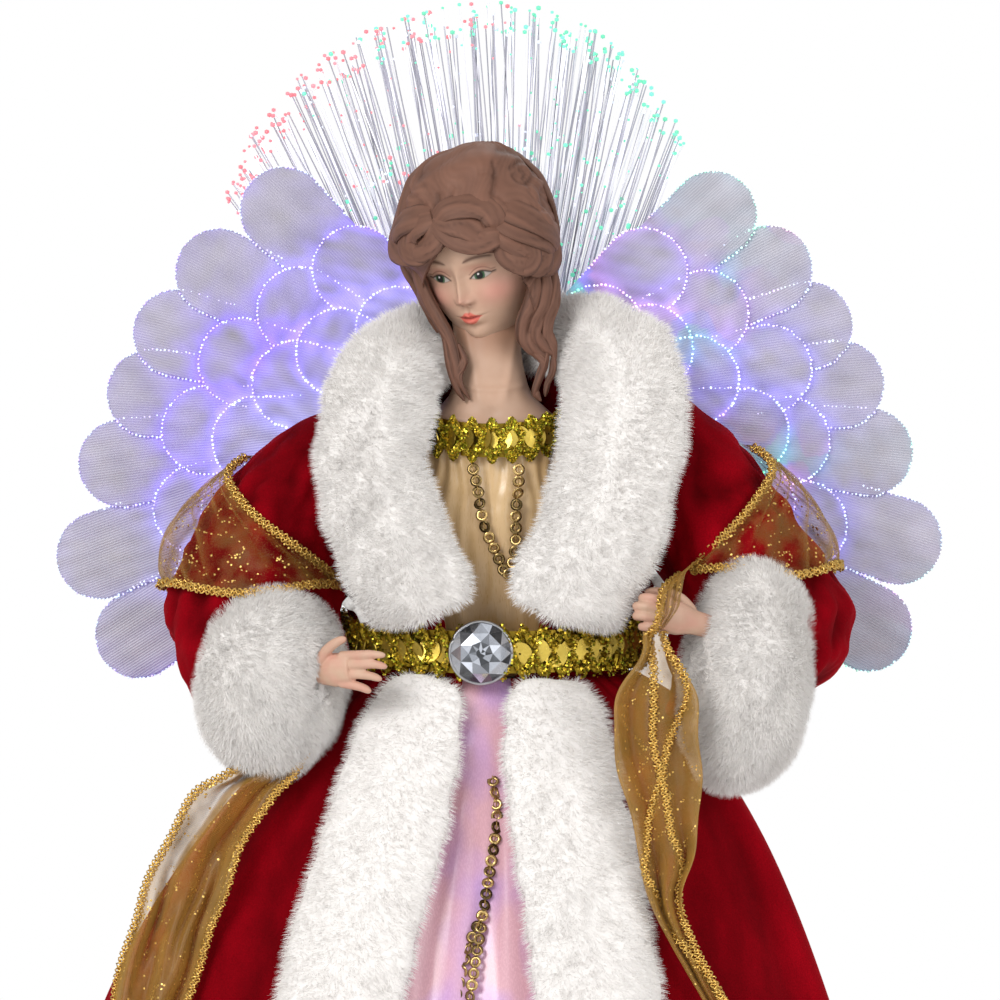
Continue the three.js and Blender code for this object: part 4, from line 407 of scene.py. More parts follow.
@dataclass(frozen=True)
class Pile:
    """Short fur: how many strands, and how long, thick and combed they are."""

    count: int
    length: float = 2.6
    width: float = 0.2
    lift: float = 1.0
    comb: float = 0.34
    stray: float = 0.26
    clump: float = 0.36

    def grown(self, surface: Array, out: Array, comb: Array, seed: int) -> Shape:
        """Tapered strands of one long triangle each, spread evenly over the area of a ring of skin.

        Args:
            surface: The skin, rows by columns, whose last column joins the first.
            out: The skin's outward unit normals.
            comb: The directions in which the fur is combed.
            seed: Chooses the strands.

        Returns:
            All strands, marked with tip, from 0 at the root to 1, and shade, random for each.
        """
        rng = np.random.default_rng(seed)
        area = cell_areas(surface, True)
        chosen = rng.choice(area.size, self.count, p=(area / area.sum()).ravel())
        rows = chosen // area.shape[1] + rng.random(self.count)
        columns = chosen % area.shape[1] + rng.random(self.count)
        root, up, lean = (on_grid(values, rows, columns, True) for values in (surface, out, comb))
        up, lean = unit(up), unit(lean)
        swirl = np.stack([rumple(root, 7.0, seed + k) for k in (1, 2, 3)], -1)
        tuft = np.stack([rumple(root, 2.6, seed + k) for k in (4, 5, 6)], -1)
        wild = rng.normal(size=(self.count, 3))
        way = up * self.lift + lean * self.comb + self.stray * wild
        way = unit(way + self.clump * (0.5 * swirl + 0.6 * tuft))
        length = self.length * rng.uniform(0.6, 1.15, self.count)[:, None]
        side = unit(np.cross(way, rng.normal(size=(self.count, 3)))) * self.width / 2
        droop = lean * 0.28 * length - up * 0.05 * length
        tip = root + way * length + droop
        root = root - up * 0.3
        points = np.stack([root - side, root + side, tip], 1)
        start = (np.arange(self.count) * 3)[:, None]
        share = np.tile([0, 0, 1.0], self.count)[:, None]
        shade = np.repeat(rng.random(self.count), 3)[:, None]
        faces = [start + np.array([0, 1, 2])]
        return Shape(points.reshape(-1, 3), faces, {"tip": share, "shade": shade})


# Materials


class Value:
    """A socket that carries a number. Arithmetic on it adds Math nodes."""

    def __init__(self, graph: "Graph", socket: bpy.types.NodeSocket) -> None:
        self.graph = graph
        self.socket = socket

    def math(self, operation: str, *others: "Value | float") -> "Value":
        """One Math node on this value and the others."""
        inputs = dict(enumerate((self, *others)))
        node = self.graph.node("ShaderNodeMath", {"operation": operation}, inputs)
        return Value(self.graph, node.outputs[0])

    def __add__(self, other: "Value | float") -> "Value":
        """This plus other."""
        return self.math("ADD", other)

    def __sub__(self, other: "Value | float") -> "Value":
        """This minus other."""
        return self.math("SUBTRACT", other)

    def __mul__(self, other: "Value | float") -> "Value":
        """This times other."""
        return self.math("MULTIPLY", other)

    def __rsub__(self, other: float) -> "Value":
        """A number minus this."""
        return (self * -1.0) + other

    __radd__ = __add__
    __rmul__ = __mul__

    def wave(self) -> "Value":
        """Half of one plus the sine of this."""
        return self.math("SINE") * 0.5 + 0.5

    def band(self, low: float, high: float) -> "Value":
        """This mapped to 0 at low and 1 at high, and held between them."""
        settings = {"clamp": True}
        inputs = {"Value": self, "From Min": low, "From Max": high}
        return Value(self.graph, self.graph.node("ShaderNodeMapRange", settings, inputs).outputs[0])


class Graph:
    """The nodes of one material, round a Principled shader."""

    def __init__(self, name: str, **fixed: float | Color) -> None:
        """Makes the material.

        Args:
            name: The material's name.
            **fixed: The shader's own sockets, with _ for a space in their names.
        """
        self.material = bpy.data.materials.new(name)
        self.material.use_nodes = True
        self.tree = self.material.node_tree
        self.tree.nodes.clear()
        self.shader = self.node("ShaderNodeBsdfPrincipled")
        out = self.node("ShaderNodeOutputMaterial")
        self.tree.links.new(self.shader.outputs[0], out.inputs["Surface"])
        for key, value in fixed.items():
            self.feed(self.shader.inputs[key.replace("_", " ")], value)

    def feed(self, socket: bpy.types.NodeSocket, value: object) -> None:
        """Links a socket or value to a socket, or sets a number or colour on it."""
        if isinstance(value, Value):
            value = value.socket
        if isinstance(value, bpy.types.NodeSocket):
            self.tree.links.new(value, socket)
        elif socket.type == "RGBA":
            socket.default_value = (*value, 1.0) if len(value) == 3 else value
        else:
            socket.default_value = value

    def node(self, kind: str, settings: dict | None = None, inputs: dict | None = None) -> bpy.types.Node:
        """Adds a node, sets its options and then its sockets, by name or number."""
        node = self.tree.nodes.new(kind)
        for key, value in (settings or {}).items():
            setattr(node, key, value)
        for key, value in (inputs or {}).items():
            self.feed(node.inputs[key], value)
        return node

    def place(self, stretch: Color = (1, 1, 1)) -> bpy.types.NodeSocket:
        """Object coordinates in millimetres, times a stretch."""
        source = self.node("ShaderNodeTexCoord").outputs["Object"]
        scale = tuple(1000.0 * s for s in stretch)
        return self.node("ShaderNodeVectorMath", {"operation": "MULTIPLY"}, {0: source, 1: scale}).outputs[0]

    def mark(self, name: str) -> Value:
        """A number that the mesh carries for each point."""
        return Value(self, self.node("ShaderNodeAttribute", {"attribute_name": name}).outputs["Fac"])

    def paint(self, name: str) -> bpy.types.NodeSocket:
        """A colour that the mesh carries for each point."""
        return self.node("ShaderNodeAttribute", {"attribute_name": name}).outputs["Color"]

    def part(self, name: str, axis: str) -> Value:
        """One coordinate of a vector that the mesh carries for each point."""
        vector = self.node("ShaderNodeAttribute", {"attribute_name": name}).outputs["Vector"]
        return Value(self, self.node("ShaderNodeSeparateXYZ", None, {0: vector}).outputs[axis])

    def noise(self, size: float, detail: float = 2.0, stretch: Color = (1, 1, 1)) -> Value:
        """Noise whose features are about size millimetres, over Object coordinates."""
        inputs = {"Vector": self.place(stretch), "Scale": 1.0 / size, "Detail": detail}
        return Value(self, self.node("ShaderNodeTexNoise", None, inputs).outputs["Fac"])

    def cells(self, size: float) -> bpy.types.Node:
        """Voronoi cells about size millimetres across."""
        return self.node("ShaderNodeTexVoronoi", None, {"Vector": self.place(), "Scale": 1.0 / size})

    def blend(
        self, share: Value | float, first: Paint, second: Paint, kind: str = "MIX"
    ) -> bpy.types.NodeSocket:
        """Two colours mixed by a share."""
        settings = {"data_type": "RGBA", "blend_type": kind}
        return self.node("ShaderNodeMix", settings, {0: share, 6: first, 7: second}).outputs[2]

    def relief(self, height: Value, depth: float, strength: float = 1.0) -> None:
        """Bumps of a depth in millimetres. A second call stands on the first."""
        inputs = {"Height": height, "Distance": depth * MM, "Strength": strength}
        normal = self.shader.inputs["Normal"]
        if normal.is_linked:
            inputs["Normal"] = normal.links[0].from_socket
        self.feed(normal, self.node("ShaderNodeBump", None, inputs).outputs[0])

    def lay(self, **values: object) -> bpy.types.Material:
        """Feeds the shader's sockets, and returns the material."""
        for key, value in values.items():
            self.feed(self.shader.inputs[key.replace("_", " ")], value)
        return self.material


@dataclass(frozen=True)
class Finish:
    """What every finish has: a name, a colour and a roughness."""

    name: str
    color: Color
    rough: float

    def material(self) -> bpy.types.Material:
        """The Blender material, made once."""
        found = bpy.data.materials.get(self.name)
        return found or self.dressed()

    def dressed(self) -> bpy.types.Material:
        """Builds the material."""
        raise NotImplementedError


@dataclass(frozen=True)
class Moulded(Finish):
    """Moulded plastic with a fine spark-eroded grain and faint flow marks."""

    grain: float = 0.5
    glow: Color = (0, 0, 0)

    def dressed(self) -> bpy.types.Material:
        """Grain in the bump, and a little dust in the colour."""
        graph = Graph(self.name, Specular_IOR_Level=0.45)
        flow = graph.noise(18.0, 2, (1, 1, 0.3))
        shade = graph.blend(flow.band(0.35, 0.7), self.color, [c * 0.88 for c in self.color])
        graph.relief(graph.noise(self.grain), 0.03, 0.5)
        if any(self.glow):
            graph.lay(Emission_Color=self.glow)
            graph.shader.inputs["Emission Strength"].default_value = 1.0
        return graph.lay(Base_Color=shade, Roughness=flow * 0.1 + (self.rough - 0.05))


@dataclass(frozen=True)
class Plated(Finish):
    """Bare or plated metal with fine draw lines and light wear."""

    def dressed(self) -> bpy.types.Material:
        """Draw lines along Z and cloudy wear."""
        graph = Graph(self.name, Metallic=1.0)
        wear = graph.noise(3.0, 3)
        shade = graph.blend(wear.band(0.4, 0.75), self.color, [c * 0.7 for c in self.color])
        graph.relief(graph.noise(0.4, 2, (1, 1, 0.1)), 0.01, 0.4)
        return graph.lay(Base_Color=shade, Roughness=wear * 0.25 + (self.rough - 0.1))


@dataclass(frozen=True)
class Board(Finish):
    """Rolled board or foam: fibres or cells that show in the colour and the bump."""

    speck: float = 1.2

    def dressed(self) -> bpy.types.Material:
        """Specks over a soft cloud."""
        graph = Graph(self.name)
        speck = graph.noise(self.speck, 4)
        shade = graph.blend(speck.band(0.35, 0.7), self.color, [c * 0.78 for c in self.color])
        graph.relief(speck, 0.12, 0.6)
        return graph.lay(Base_Color=shade, Roughness=self.rough)


@dataclass(frozen=True)
class Cast(Finish):
    """A painted casting. The mesh carries its paint, with painted shade in hollows and painted highlights on
    ridges.
    """

    def dressed(self) -> bpy.types.Material:
        """The carried paint, mottled a little, over fine brush marks."""
        graph = Graph(self.name, Specular_IOR_Level=0.35)
        mottle = graph.noise(5.0, 3)
        shade = graph.blend(mottle.band(0.3, 0.75) * 0.22, graph.paint("paint"), self.color, "MULTIPLY")
        graph.relief(graph.noise(0.6, 3), 0.03, 0.5)
        return graph.lay(Base_Color=shade, Roughness=mottle * 0.12 + (self.rough - 0.06))


@dataclass(frozen=True)
class Velvet(Finish):
    """Cut pile, painted brighter on its fold crests and darker in its fold hollows, as painted light and
    shade.
    """

    bright: Color

    def dressed(self) -> bpy.types.Material:
        """Patches of brushed pile, the fold mark as painted light and shade, and pile ends as a fine bump."""
        graph = Graph(self.name, Sheen_Weight=0.3, Sheen_Roughness=0.3, Specular_IOR_Level=0.03)
        graph.lay(Sheen_Tint=(0.95, 0.03, 0.05, 1))
        nap = graph.noise(9.0, 3, (1, 1, 0.35))
        fine = graph.noise(0.5, 2)
        # The fold mark paints light: near 1 on fold crests, a painted highlight; near 0 in fold hollows,
        # painted shade.
        share = nap.band(0.36, 0.74) * 0.3 + graph.mark("fold") * 0.75
        shade = graph.blend(share, self.color, self.bright)
        shade = graph.blend(fine.band(0.3, 0.8) * 0.35, shade, [c * 0.45 for c in self.color])
        graph.relief(fine, 0.12, 0.7)
        return graph.lay(Base_Color=shade, Roughness=self.rough)


@dataclass(frozen=True)
class Fleece(Finish):
    """Fur: darker and warmer at the root as painted shade deep in the pile, bright at the tip, no two strands
    alike.
    """

    tip: Color

    def dressed(self) -> bpy.types.Material:
        """Colour by the strands' tip mark, with painted shade toward the root, and their random shade marks.
        """
        graph = Graph(self.name, Specular_IOR_Level=0.25, Sheen_Weight=0.15)
        # Painted shade: strands are darker toward the root, where the pile shades itself.
        share = graph.mark("tip") * 0.75 + graph.mark("shade") * 0.25
        cloud = graph.noise(11.0, 2)
        shade = graph.blend(share, self.color, self.tip)
        shade = graph.blend(cloud.band(0.35, 0.8) * 0.12, shade, self.color)
        return graph.lay(Base_Color=shade, Roughness=self.rough)


@dataclass(frozen=True)
class Satin(Finish):
    """A glossy weave with floating threads, and a second colour in drifting patches as its painted sheen."""

    second: Color
    spread: float = 26.0

    def dressed(self) -> bpy.types.Material:
        """Threads as stretched noise in the bump, and a soft drift between the colours as painted sheen."""
        graph = Graph(self.name, Sheen_Weight=0.45, Sheen_Roughness=0.3, Specular_IOR_Level=0.7)
        drift = graph.noise(self.spread, 2, (1, 1, 0.5))
        # Painted sheen: drifting patches of the second colour stand in for the satin's gleam.
        shade = graph.blend(drift.band(0.4, 0.68), self.color, self.second)
        thread = graph.noise(0.35, 1, (1, 1, 0.12))
        graph.relief(thread, 0.02, 0.6)
        return graph.lay(Base_Color=shade, Roughness=thread * 0.12 + (self.rough - 0.05))


@dataclass(frozen=True)
class Tinsel(Finish):
    """Metallised film. Every flake carries its own tint, many with a painted glint or painted shade in it."""

    def dressed(self) -> bpy.types.Material:
        """The carried tint on bright metal."""
        graph = Graph(self.name, Metallic=0.9)
        film = graph.noise(0.9, 2)
        shade = graph.blend(film.band(0.3, 0.8) * 0.3, graph.paint("tint"), self.color)
        return graph.lay(Base_Color=shade, Roughness=film * 0.16 + (self.rough - 0.08))


@dataclass(frozen=True)
class Gauze(Finish):
    """Sheer weave: threads that cover, gaps that show through, and specks of glitter."""

    cover: float
    glint: Color
    pitch: float = 0.55
    vine_width: float = 15.0
    vine_height: float = 21.0

    def dressed(self) -> bpy.types.Material:
        """Alpha from crossed threads along the cloth, and glitter cells that cover fully."""
        graph = Graph(self.name, Specular_IOR_Level=0.4)
        u, v = graph.part("cloth", "X"), graph.part("cloth", "Y")
        thread = (u * (TAU / self.pitch)).wave() * 0.5 + (v * (TAU / self.pitch)).wave() * 0.5
        cloud = graph.noise(10.0, 2)
        facing = Value(graph, graph.node("ShaderNodeLayerWeight", None, {"Blend": 0.5}).outputs["Facing"])
        sway = (v * (TAU / self.vine_height)).wave() * 5.0
        vine = (u * (TAU / self.vine_width) + sway + cloud * 4.0).wave().band(0.93, 0.99)
        cells = graph.cells(1.1)
        near = Value(graph, cells.outputs["Distance"]).band(0.36, 0.26)
        lucky = graph.node("ShaderNodeSeparateColor", None, {0: cells.outputs["Color"]}).outputs[0]
        glint = near * (Value(graph, lucky) + vine * 0.6).band(0.94, 0.97)
        shade = graph.blend(cloud.band(0.35, 0.7), self.color, [c * 0.6 for c in self.color])
        shade = graph.blend(glint, shade, self.glint)
        sheer = facing * facing * 0.8 + cloud.band(0.42, 0.68) * 0.2
        sheer = sheer + (thread - 0.5) * 0.1 + graph.mark("edge") * 0.35
        alpha = sheer + glint + (self.cover - 0.2)
        graph.relief(thread, 0.05, 0.5)
        return graph.lay(Base_Color=shade, Alpha=alpha, Roughness=self.rough, Metallic=glint * 0.9)


@dataclass(frozen=True)
class Lit(Finish):
    """Clear fibre that carries light: a tint, and a glow that the mesh carries."""

    glow: float = 1.0
    line: float = 0.0

    def dressed(self) -> bpy.types.Material:
        """The carried tint with fine fibre lines across the cloth, and the carried glow."""
        graph = Graph(self.name, Specular_IOR_Level=0.5, Emission_Strength=self.glow)
        shade = graph.paint("tint")
        if self.line:
            fine = (graph.part("cloth", "Y") * (TAU / self.line)).wave()
            drift = graph.noise(9.0, 3)
            share = fine.band(0.35, 1.0) * (drift.band(0.25, 0.6) * 0.3 + 0.2)
            shade = graph.blend(share, shade, self.color)
            graph.relief(fine, 0.12, 0.8)
        return graph.lay(Base_Color=shade, Emission_Color=graph.paint("glow"), Roughness=self.rough)


@dataclass(frozen=True)
class Crystal(Finish):
    """A mirror-backed stone. Each facet carries its own grey, a painted reflection."""

    def dressed(self) -> bpy.types.Material:
        """The facets' painted reflections in grey, under a polished coat."""
        graph = Graph(self.name, Metallic=0.75, Coat_Weight=1.0, Coat_Roughness=0.02)
        cloud = graph.noise(2.5, 2)
        shade = graph.blend(cloud.band(0.3, 0.8) * 0.35, graph.paint("tint"), self.color)
        return graph.lay(Base_Color=shade, Roughness=self.rough)


HOUSING = Moulded("housing_plastic", (0.78, 0.77, 0.74), 0.45)
CLAMP = Moulded("clamp_plastic", (0.82, 0.81, 0.78), 0.4)
DARK = Moulded("switch_plastic", (0.03, 0.03, 0.034), 0.45)
BOARD = Moulded("solder_resist", (0.02, 0.16, 0.06), 0.35, 1.4)
SLEEVED = Moulded("cell_sleeve", (0.07, 0.1, 0.13), 0.3, 2.0)
LAMP = Moulded("lamp_epoxy", (0.75, 0.8, 0.95), 0.1, 1.0, (0.3, 0.35, 0.8))
TRUNK = Moulded("fibre_bundle", (0.66, 0.64, 0.74), 0.25, 1.2, (0.05, 0.05, 0.12))
STEEL = Plated("plated_steel", (0.55, 0.55, 0.56), 0.35)
CARD = Board("rolled_card", (0.62, 0.5, 0.34), 0.9, 1.6)
FOAM = Board("foam_block", (0.74, 0.73, 0.69), 0.95, 0.9)
SKIN = Cast("painted_skin", (0.8, 0.62, 0.5), 0.5)
HAIR = Cast("painted_hair", (0.5, 0.36, 0.3), 0.68)
VELVET = Velvet("red_velvet", (0.045, 0.0002, 0.001), 0.85, (0.33, 0.001, 0.007))
FUR = Fleece("white_fur", (0.8, 0.77, 0.745), 0.8, (0.95, 0.93, 0.91))
GOLD_SATIN = Satin("warm_satin", (0.5, 0.3, 0.12), 0.28, (0.72, 0.5, 0.26))
PINK_SATIN = Satin("rose_satin", (0.72, 0.4, 0.46), 0.26, (0.56, 0.33, 0.64), 15.0)
GOLD = Tinsel("gold_tinsel", (0.5, 0.33, 0.03), 0.3)
RINGS = Tinsel("sequin_film", (0.32, 0.2, 0.06), 0.25)
THREAD = Board("gold_thread", (0.45, 0.27, 0.07), 0.5, 0.5)
WHITE_THREAD = Board("white_thread", (0.75, 0.74, 0.72), 0.7, 0.5)
GAUZE = Gauze("sheer_weave", (0.46, 0.25, 0.05), 0.4, 0.18, (0.9, 0.62, 0.18))
FEATHER = Lit("fibre_cloth", (0.27, 0.25, 0.31), 0.45, 1.0, 0.75)
FIBRE = Lit("clear_fibre", (0.5, 0.48, 0.55), 0.25, 1.0)
POINT = Lit("lit_point", (0.9, 0.9, 1.0), 0.3, 1.6)
STONE = Crystal("belt_stone", (0.25, 0.28, 0.33), 0.06)


def carry(mesh: bpy.types.Mesh, key: str, value: Array) -> None:
    """Stores a mark for each point of a mesh: a vector for cloth, else a number or a colour."""
    if key == "cloth":
        kind, slot = "FLOAT_VECTOR", "vector"
    elif value.shape[1] == 1:
        kind, slot = "FLOAT", "value"
    else:
        kind, slot = "FLOAT_COLOR", "color"
        value = np.hstack([value, np.ones((len(value), 1))])
    layer = mesh.attributes.new(key, kind, "POINT")
    layer.data.foreach_set(slot, value.astype(np.float32).ravel())


def mesh_of(name: str, shape: Shape, smooth: bool = True) -> bpy.types.Mesh:
    """A Blender mesh in metres, with the shape's marks as attributes."""
    mesh = bpy.data.meshes.new(name)
    mesh.vertices.add(len(shape.points))
    mesh.vertices.foreach_set("co", (shape.points * MM).astype(np.float32).ravel())
    faces = [face for face in shape.faces if len(face)]
    corners = np.concatenate([face.ravel() for face in faces]).astype(np.int32)
    sizes = np.concatenate([np.full(len(face), face.shape[1]) for face in faces])
    mesh.loops.add(len(corners))
    mesh.loops.foreach_set("vertex_index", corners)
    mesh.polygons.add(len(sizes))
    mesh.polygons.foreach_set("loop_start", (np.cumsum(sizes) - sizes).astype(np.int32))
    mesh.polygons.foreach_set("use_smooth", np.full(len(sizes), smooth))
    for key, value in shape.marks.items():
        carry(mesh, key, value)
    mesh.update(calc_edges=True)
    mesh.validate()
    return mesh


def make(
    name: str,
    shape: Shape,
    finish: Finish,
    body: str,
    replaces: Sequence[str] = (),
    smooth: bool = True,
) -> bpy.types.Object:
    """Makes a piece, dresses it, and seats it on its body.

    Args:
        name: The piece's name.
        shape: Its mesh.
        finish: Its finish.
        body: The body it moves with.
        replaces: The CAD nodes it stands for.
        smooth: Whether its faces are shaded smooth.

    Returns:
        The new object.
    """
    piece = bpy.data.objects.new(name, mesh_of(name, shape, smooth))
    bpy.context.scene.collection.objects.link(piece)
    piece.data.materials.append(finish.material())
    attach(piece, body)
    if replaces:
        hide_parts(*replaces)
    LOG.info("%s: %d faces", name, len(piece.data.polygons))
    return piece


def dress(finish: Finish, *nodes: str) -> None:
    """Gives CAD nodes a finish."""
    for node in nodes:
        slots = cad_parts[node].material_slots
        for entry in slots:
            entry.material = finish.material()
        if not slots:
            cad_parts[node].data.materials.append(finish.material())


# Skirts


@dataclass
class Skirts:
    """The robe's skirt and the satin underskirt, over one flared outline."""

    waist_half_width: float = 40.0
    waist_half_depth: float = 28.0
    hem_spread_left: float = 92.0
    hip_spread_right: float = 28.0
    hem_spread_right: float = 64.0
    hem_spread_depth: float = 51.0
    fold_depth: float = 3.4
    folds: int = 14
    trim_tops: dict[int, float] = field(default_factory=lambda: {-1: 18.6, 1: 15.6})
    trim_spreads: dict[int, float] = field(default_factory=lambda: {-1: 56.0, 1: 33.0})
    hip_bulge: float = 7.0
    tuck: float = 10.0
    satin_hug: float = 2.5
    satin_inset: float = 7.2

    def half_width(self, down: Array, turn: Array) -> Array:
        """The outline's half width: flared by 1 - (1 - down)^power, one power a side."""
        left = self.waist_half_width + self.hem_spread_left * (1 - (1 - down) ** 2.5)
        hip = self.hip_spread_right * (1 - (1 - down) ** 7)
        bulge = self.hip_bulge * hill(down - 0.045, 0.045) * np.clip(np.sin(turn), 0, 1) ** 2
        right = self.waist_half_width + hip + bulge + self.hem_spread_right * down
        return np.where(np.sin(turn) > 0, right, left)

    def at(self, turn: Array, down: Array, out: Array) -> Array:
        """A place at a turn from the front, a share of the way down, and out from the outline."""
        depth = self.waist_half_depth + self.hem_spread_depth * (1 - (1 - down) ** 1.9)
        x = (self.half_width(down, turn) + out) * np.sin(turn)
        y = -(depth + out) * np.cos(turn)
        return xyz(x, y, WAIST_HEIGHT - down * SKIRT_DROP)

    def trim_middle(self, down: Array, side: int) -> Array:
        """How far to the side the middle of a front trim is."""
        return side * (self.trim_tops[side] + self.trim_spreads[side] * down)

    def turn_at(self, x: Array, down: Array) -> Array:
        """The turn at which the outline passes x, near the front."""
        return np.arcsin(x / self.half_width(down, np.sign(x) * 0.5))

    def robe_wave(self, turn: Array, down: Array) -> Array:
        """The robe's pleats: the part's main ones, and narrow gathers that fade below the waist."""
        front = np.abs(np.where(turn > math.pi, TAU - turn, turn))
        calm = ease(0.6, 1.3, front)
        main = np.cos(self.folds * turn + 1.3 * np.sin(2 * turn))
        crisp = np.sign(main) * np.abs(main) ** 0.75
        point = xyz(turn * 60, down * 60, 0.0)
        drift = rumple(point, 46.0, 5)
        gather = np.cos(46 * turn + 3 * drift) * np.exp(-down * 8) * 0.5
        soft = 2.0 * np.sqrt(down) * rumple(point * [1, 0.2, 1], 15.0, 8) * ease(0.15, 0.5, front)
        return self.fold_depth * calm * np.sqrt(down) * crisp + gather * ease(0.3, 0.8, front) + soft

    def robe(self) -> None:
        """The velvet skirt, open at the front between the fur trims."""
        down = (np.linspace(0, 1, 66) ** 1.25)[:, None]
        start = self.turn_at(self.trim_middle(down, 1) - self.tuck, down)
        end = TAU + self.turn_at(self.trim_middle(down, -1) + self.tuck, down)
        turn = start + (end - start) * np.linspace(0, 1, 230)[None]
        wave = self.robe_wave(turn, down)
        points = self.at(turn, down, wave)
        # The fold mark follows the pleats' depth, for painted highlights on the crests and painted shade in
        # the hollows.
        shape = slab(points, 1.1, fold=np.clip(0.5 + wave / 6, 0, 1)[..., None])
        piece = make("robe_skirt_cloth", shape, VELVET, "figure", ["robe_skirt"])

    def satin_at(self, turn: Array, down: Array, out: Array | float = 0.0) -> Array:
        """The underskirt's outside: it hugs the robe at the waist and hangs free below."""
        settled = self.satin_hug + (self.satin_inset - self.satin_hug) * np.minimum(1, 4 * down)
        wave = 1.2 * down * np.cos(9 * turn)
        point = xyz(turn * 70, down * 70, 0.0)
        folds = 2.3 * ease(0.03, 0.3, down) * rumple(point * [1, 0.16, 1], 12.0, 21)
        return self.at(turn, down, wave - settled + out + folds)

    def underskirt(self) -> None:
        """The pink satin skirt, a closed ring with soft upright folds."""
        down = (np.linspace(0, 1, 54) ** 1.2)[:, None]
        turn = (np.arange(230) * TAU / 230)[None]
        points = self.satin_at(turn, down)
        shape = slab(points, 0.6, True)
        piece = make("underskirt_satin", shape, PINK_SATIN, "figure", ["underskirt"])

    def build(self) -> None:
        """Makes both skirts."""
        self.robe()
        self.underskirt()


# Fur


@dataclass
class FurRoll:
    """One fur strip as a stuffed roll: oval stations on a path, with a pile over them."""

    node: str
    body: str
    stations: Array
    pile: Pile
    coat: Coat
    seed: int
    rings: int
    sides: int = 40
    shrink: float = 1.6
    roundness: float = 14.0

    def surface(self) -> Array:
        """The roll under the pile: the part's ovals, shrunk, with soft dents and rounded ends."""
        table = through(self.stations, self.rings)
        share = np.linspace(-1, 1, self.rings)
        end = np.sqrt(np.clip(1 - np.abs(share) ** self.roundness, 0.0008, 1))
        wide = np.maximum(table[:, 6] - self.shrink, 1) * end
        thick = np.maximum(table[:, 7] - self.shrink, 1) * end
        points = sweep(table[:, :3], table[:, 3:6], wide, thick, self.sides)
        out = turned_to(normals(points, True), points - table[:, None, :3])
        return points + out * 0.7 * rumple(points, 13.0, self.seed)[..., None]

    def combed(self, points: Array) -> Array:
        """Comb directions: down the strip, and away from its middle line."""
        table = through(self.stations, self.rings)
        tangent = unit(np.gradient(points, axis=0))
        away = unit(points - table[:, None, :3])
        sideways = unit(table[:, 3:6])[:, None]
        outward = sideways * (away * sideways).sum(-1, keepdims=True)
        fall = np.array([0, 0, -1.0])
        if self.coat is Coat.DOWNWARD:
            return tangent * 0.5 + outward * 0.8 + fall * 0.5
        return outward * 1.1 + fall * 0.45 + tangent * 0.2

    def build(self) -> None:
        """Makes the backing and its fur as one stuffed piece."""
        points = self.surface()
        out = turned_to(normals(points, True), points - points.mean(1, keepdims=True))
        size = points.shape[:2]
        # The backing under the strands is painted partway to the root colour, as painted shade.
        core = closed(points, tip=np.full(size, 0.35), shade=np.full(size, 0.5))
        strands = self.pile.grown(points, out, self.combed(points), self.seed)
        shape = gathered([core, strands])
        piece = make(f"{self.node}_fur", shape, FUR, self.body, [self.node])


@dataclass
class Trims:
    """The two fur strips down the robe's front."""

    skirts: Skirts
    half_width: float = 20.5
    half_thickness: float = 7.0
    sizes: tuple[float, ...] = (0.8, 0.93, 0.98, 1, 1, 1, 0.9)

    def stations(self, side: Side) -> Array:
        """Oval stations from just under the belt to just above the hem."""
        down = np.linspace(-0.004, 0.97, len(self.sizes))
        turn = self.skirts.turn_at(self.skirts.trim_middle(down, side.value), down)
        lift = self.half_thickness / 2
        middle = self.skirts.at(turn, down, lift)
        across = unit(self.skirts.at(turn + math.radians(1), down, lift) - middle)
        size = np.array(self.sizes)[:, None]
        return np.hstack([middle, across, self.half_width * size, self.half_thickness * size])

    def build(self) -> None:
        """Makes both strips."""
        for side in Side:
            node, seed = f"{side.label}_front_trim", 40 + side.value
            FurRoll(node, "figure", self.stations(side), Pile(68000), Coat.DOWNWARD, seed, 90).build()


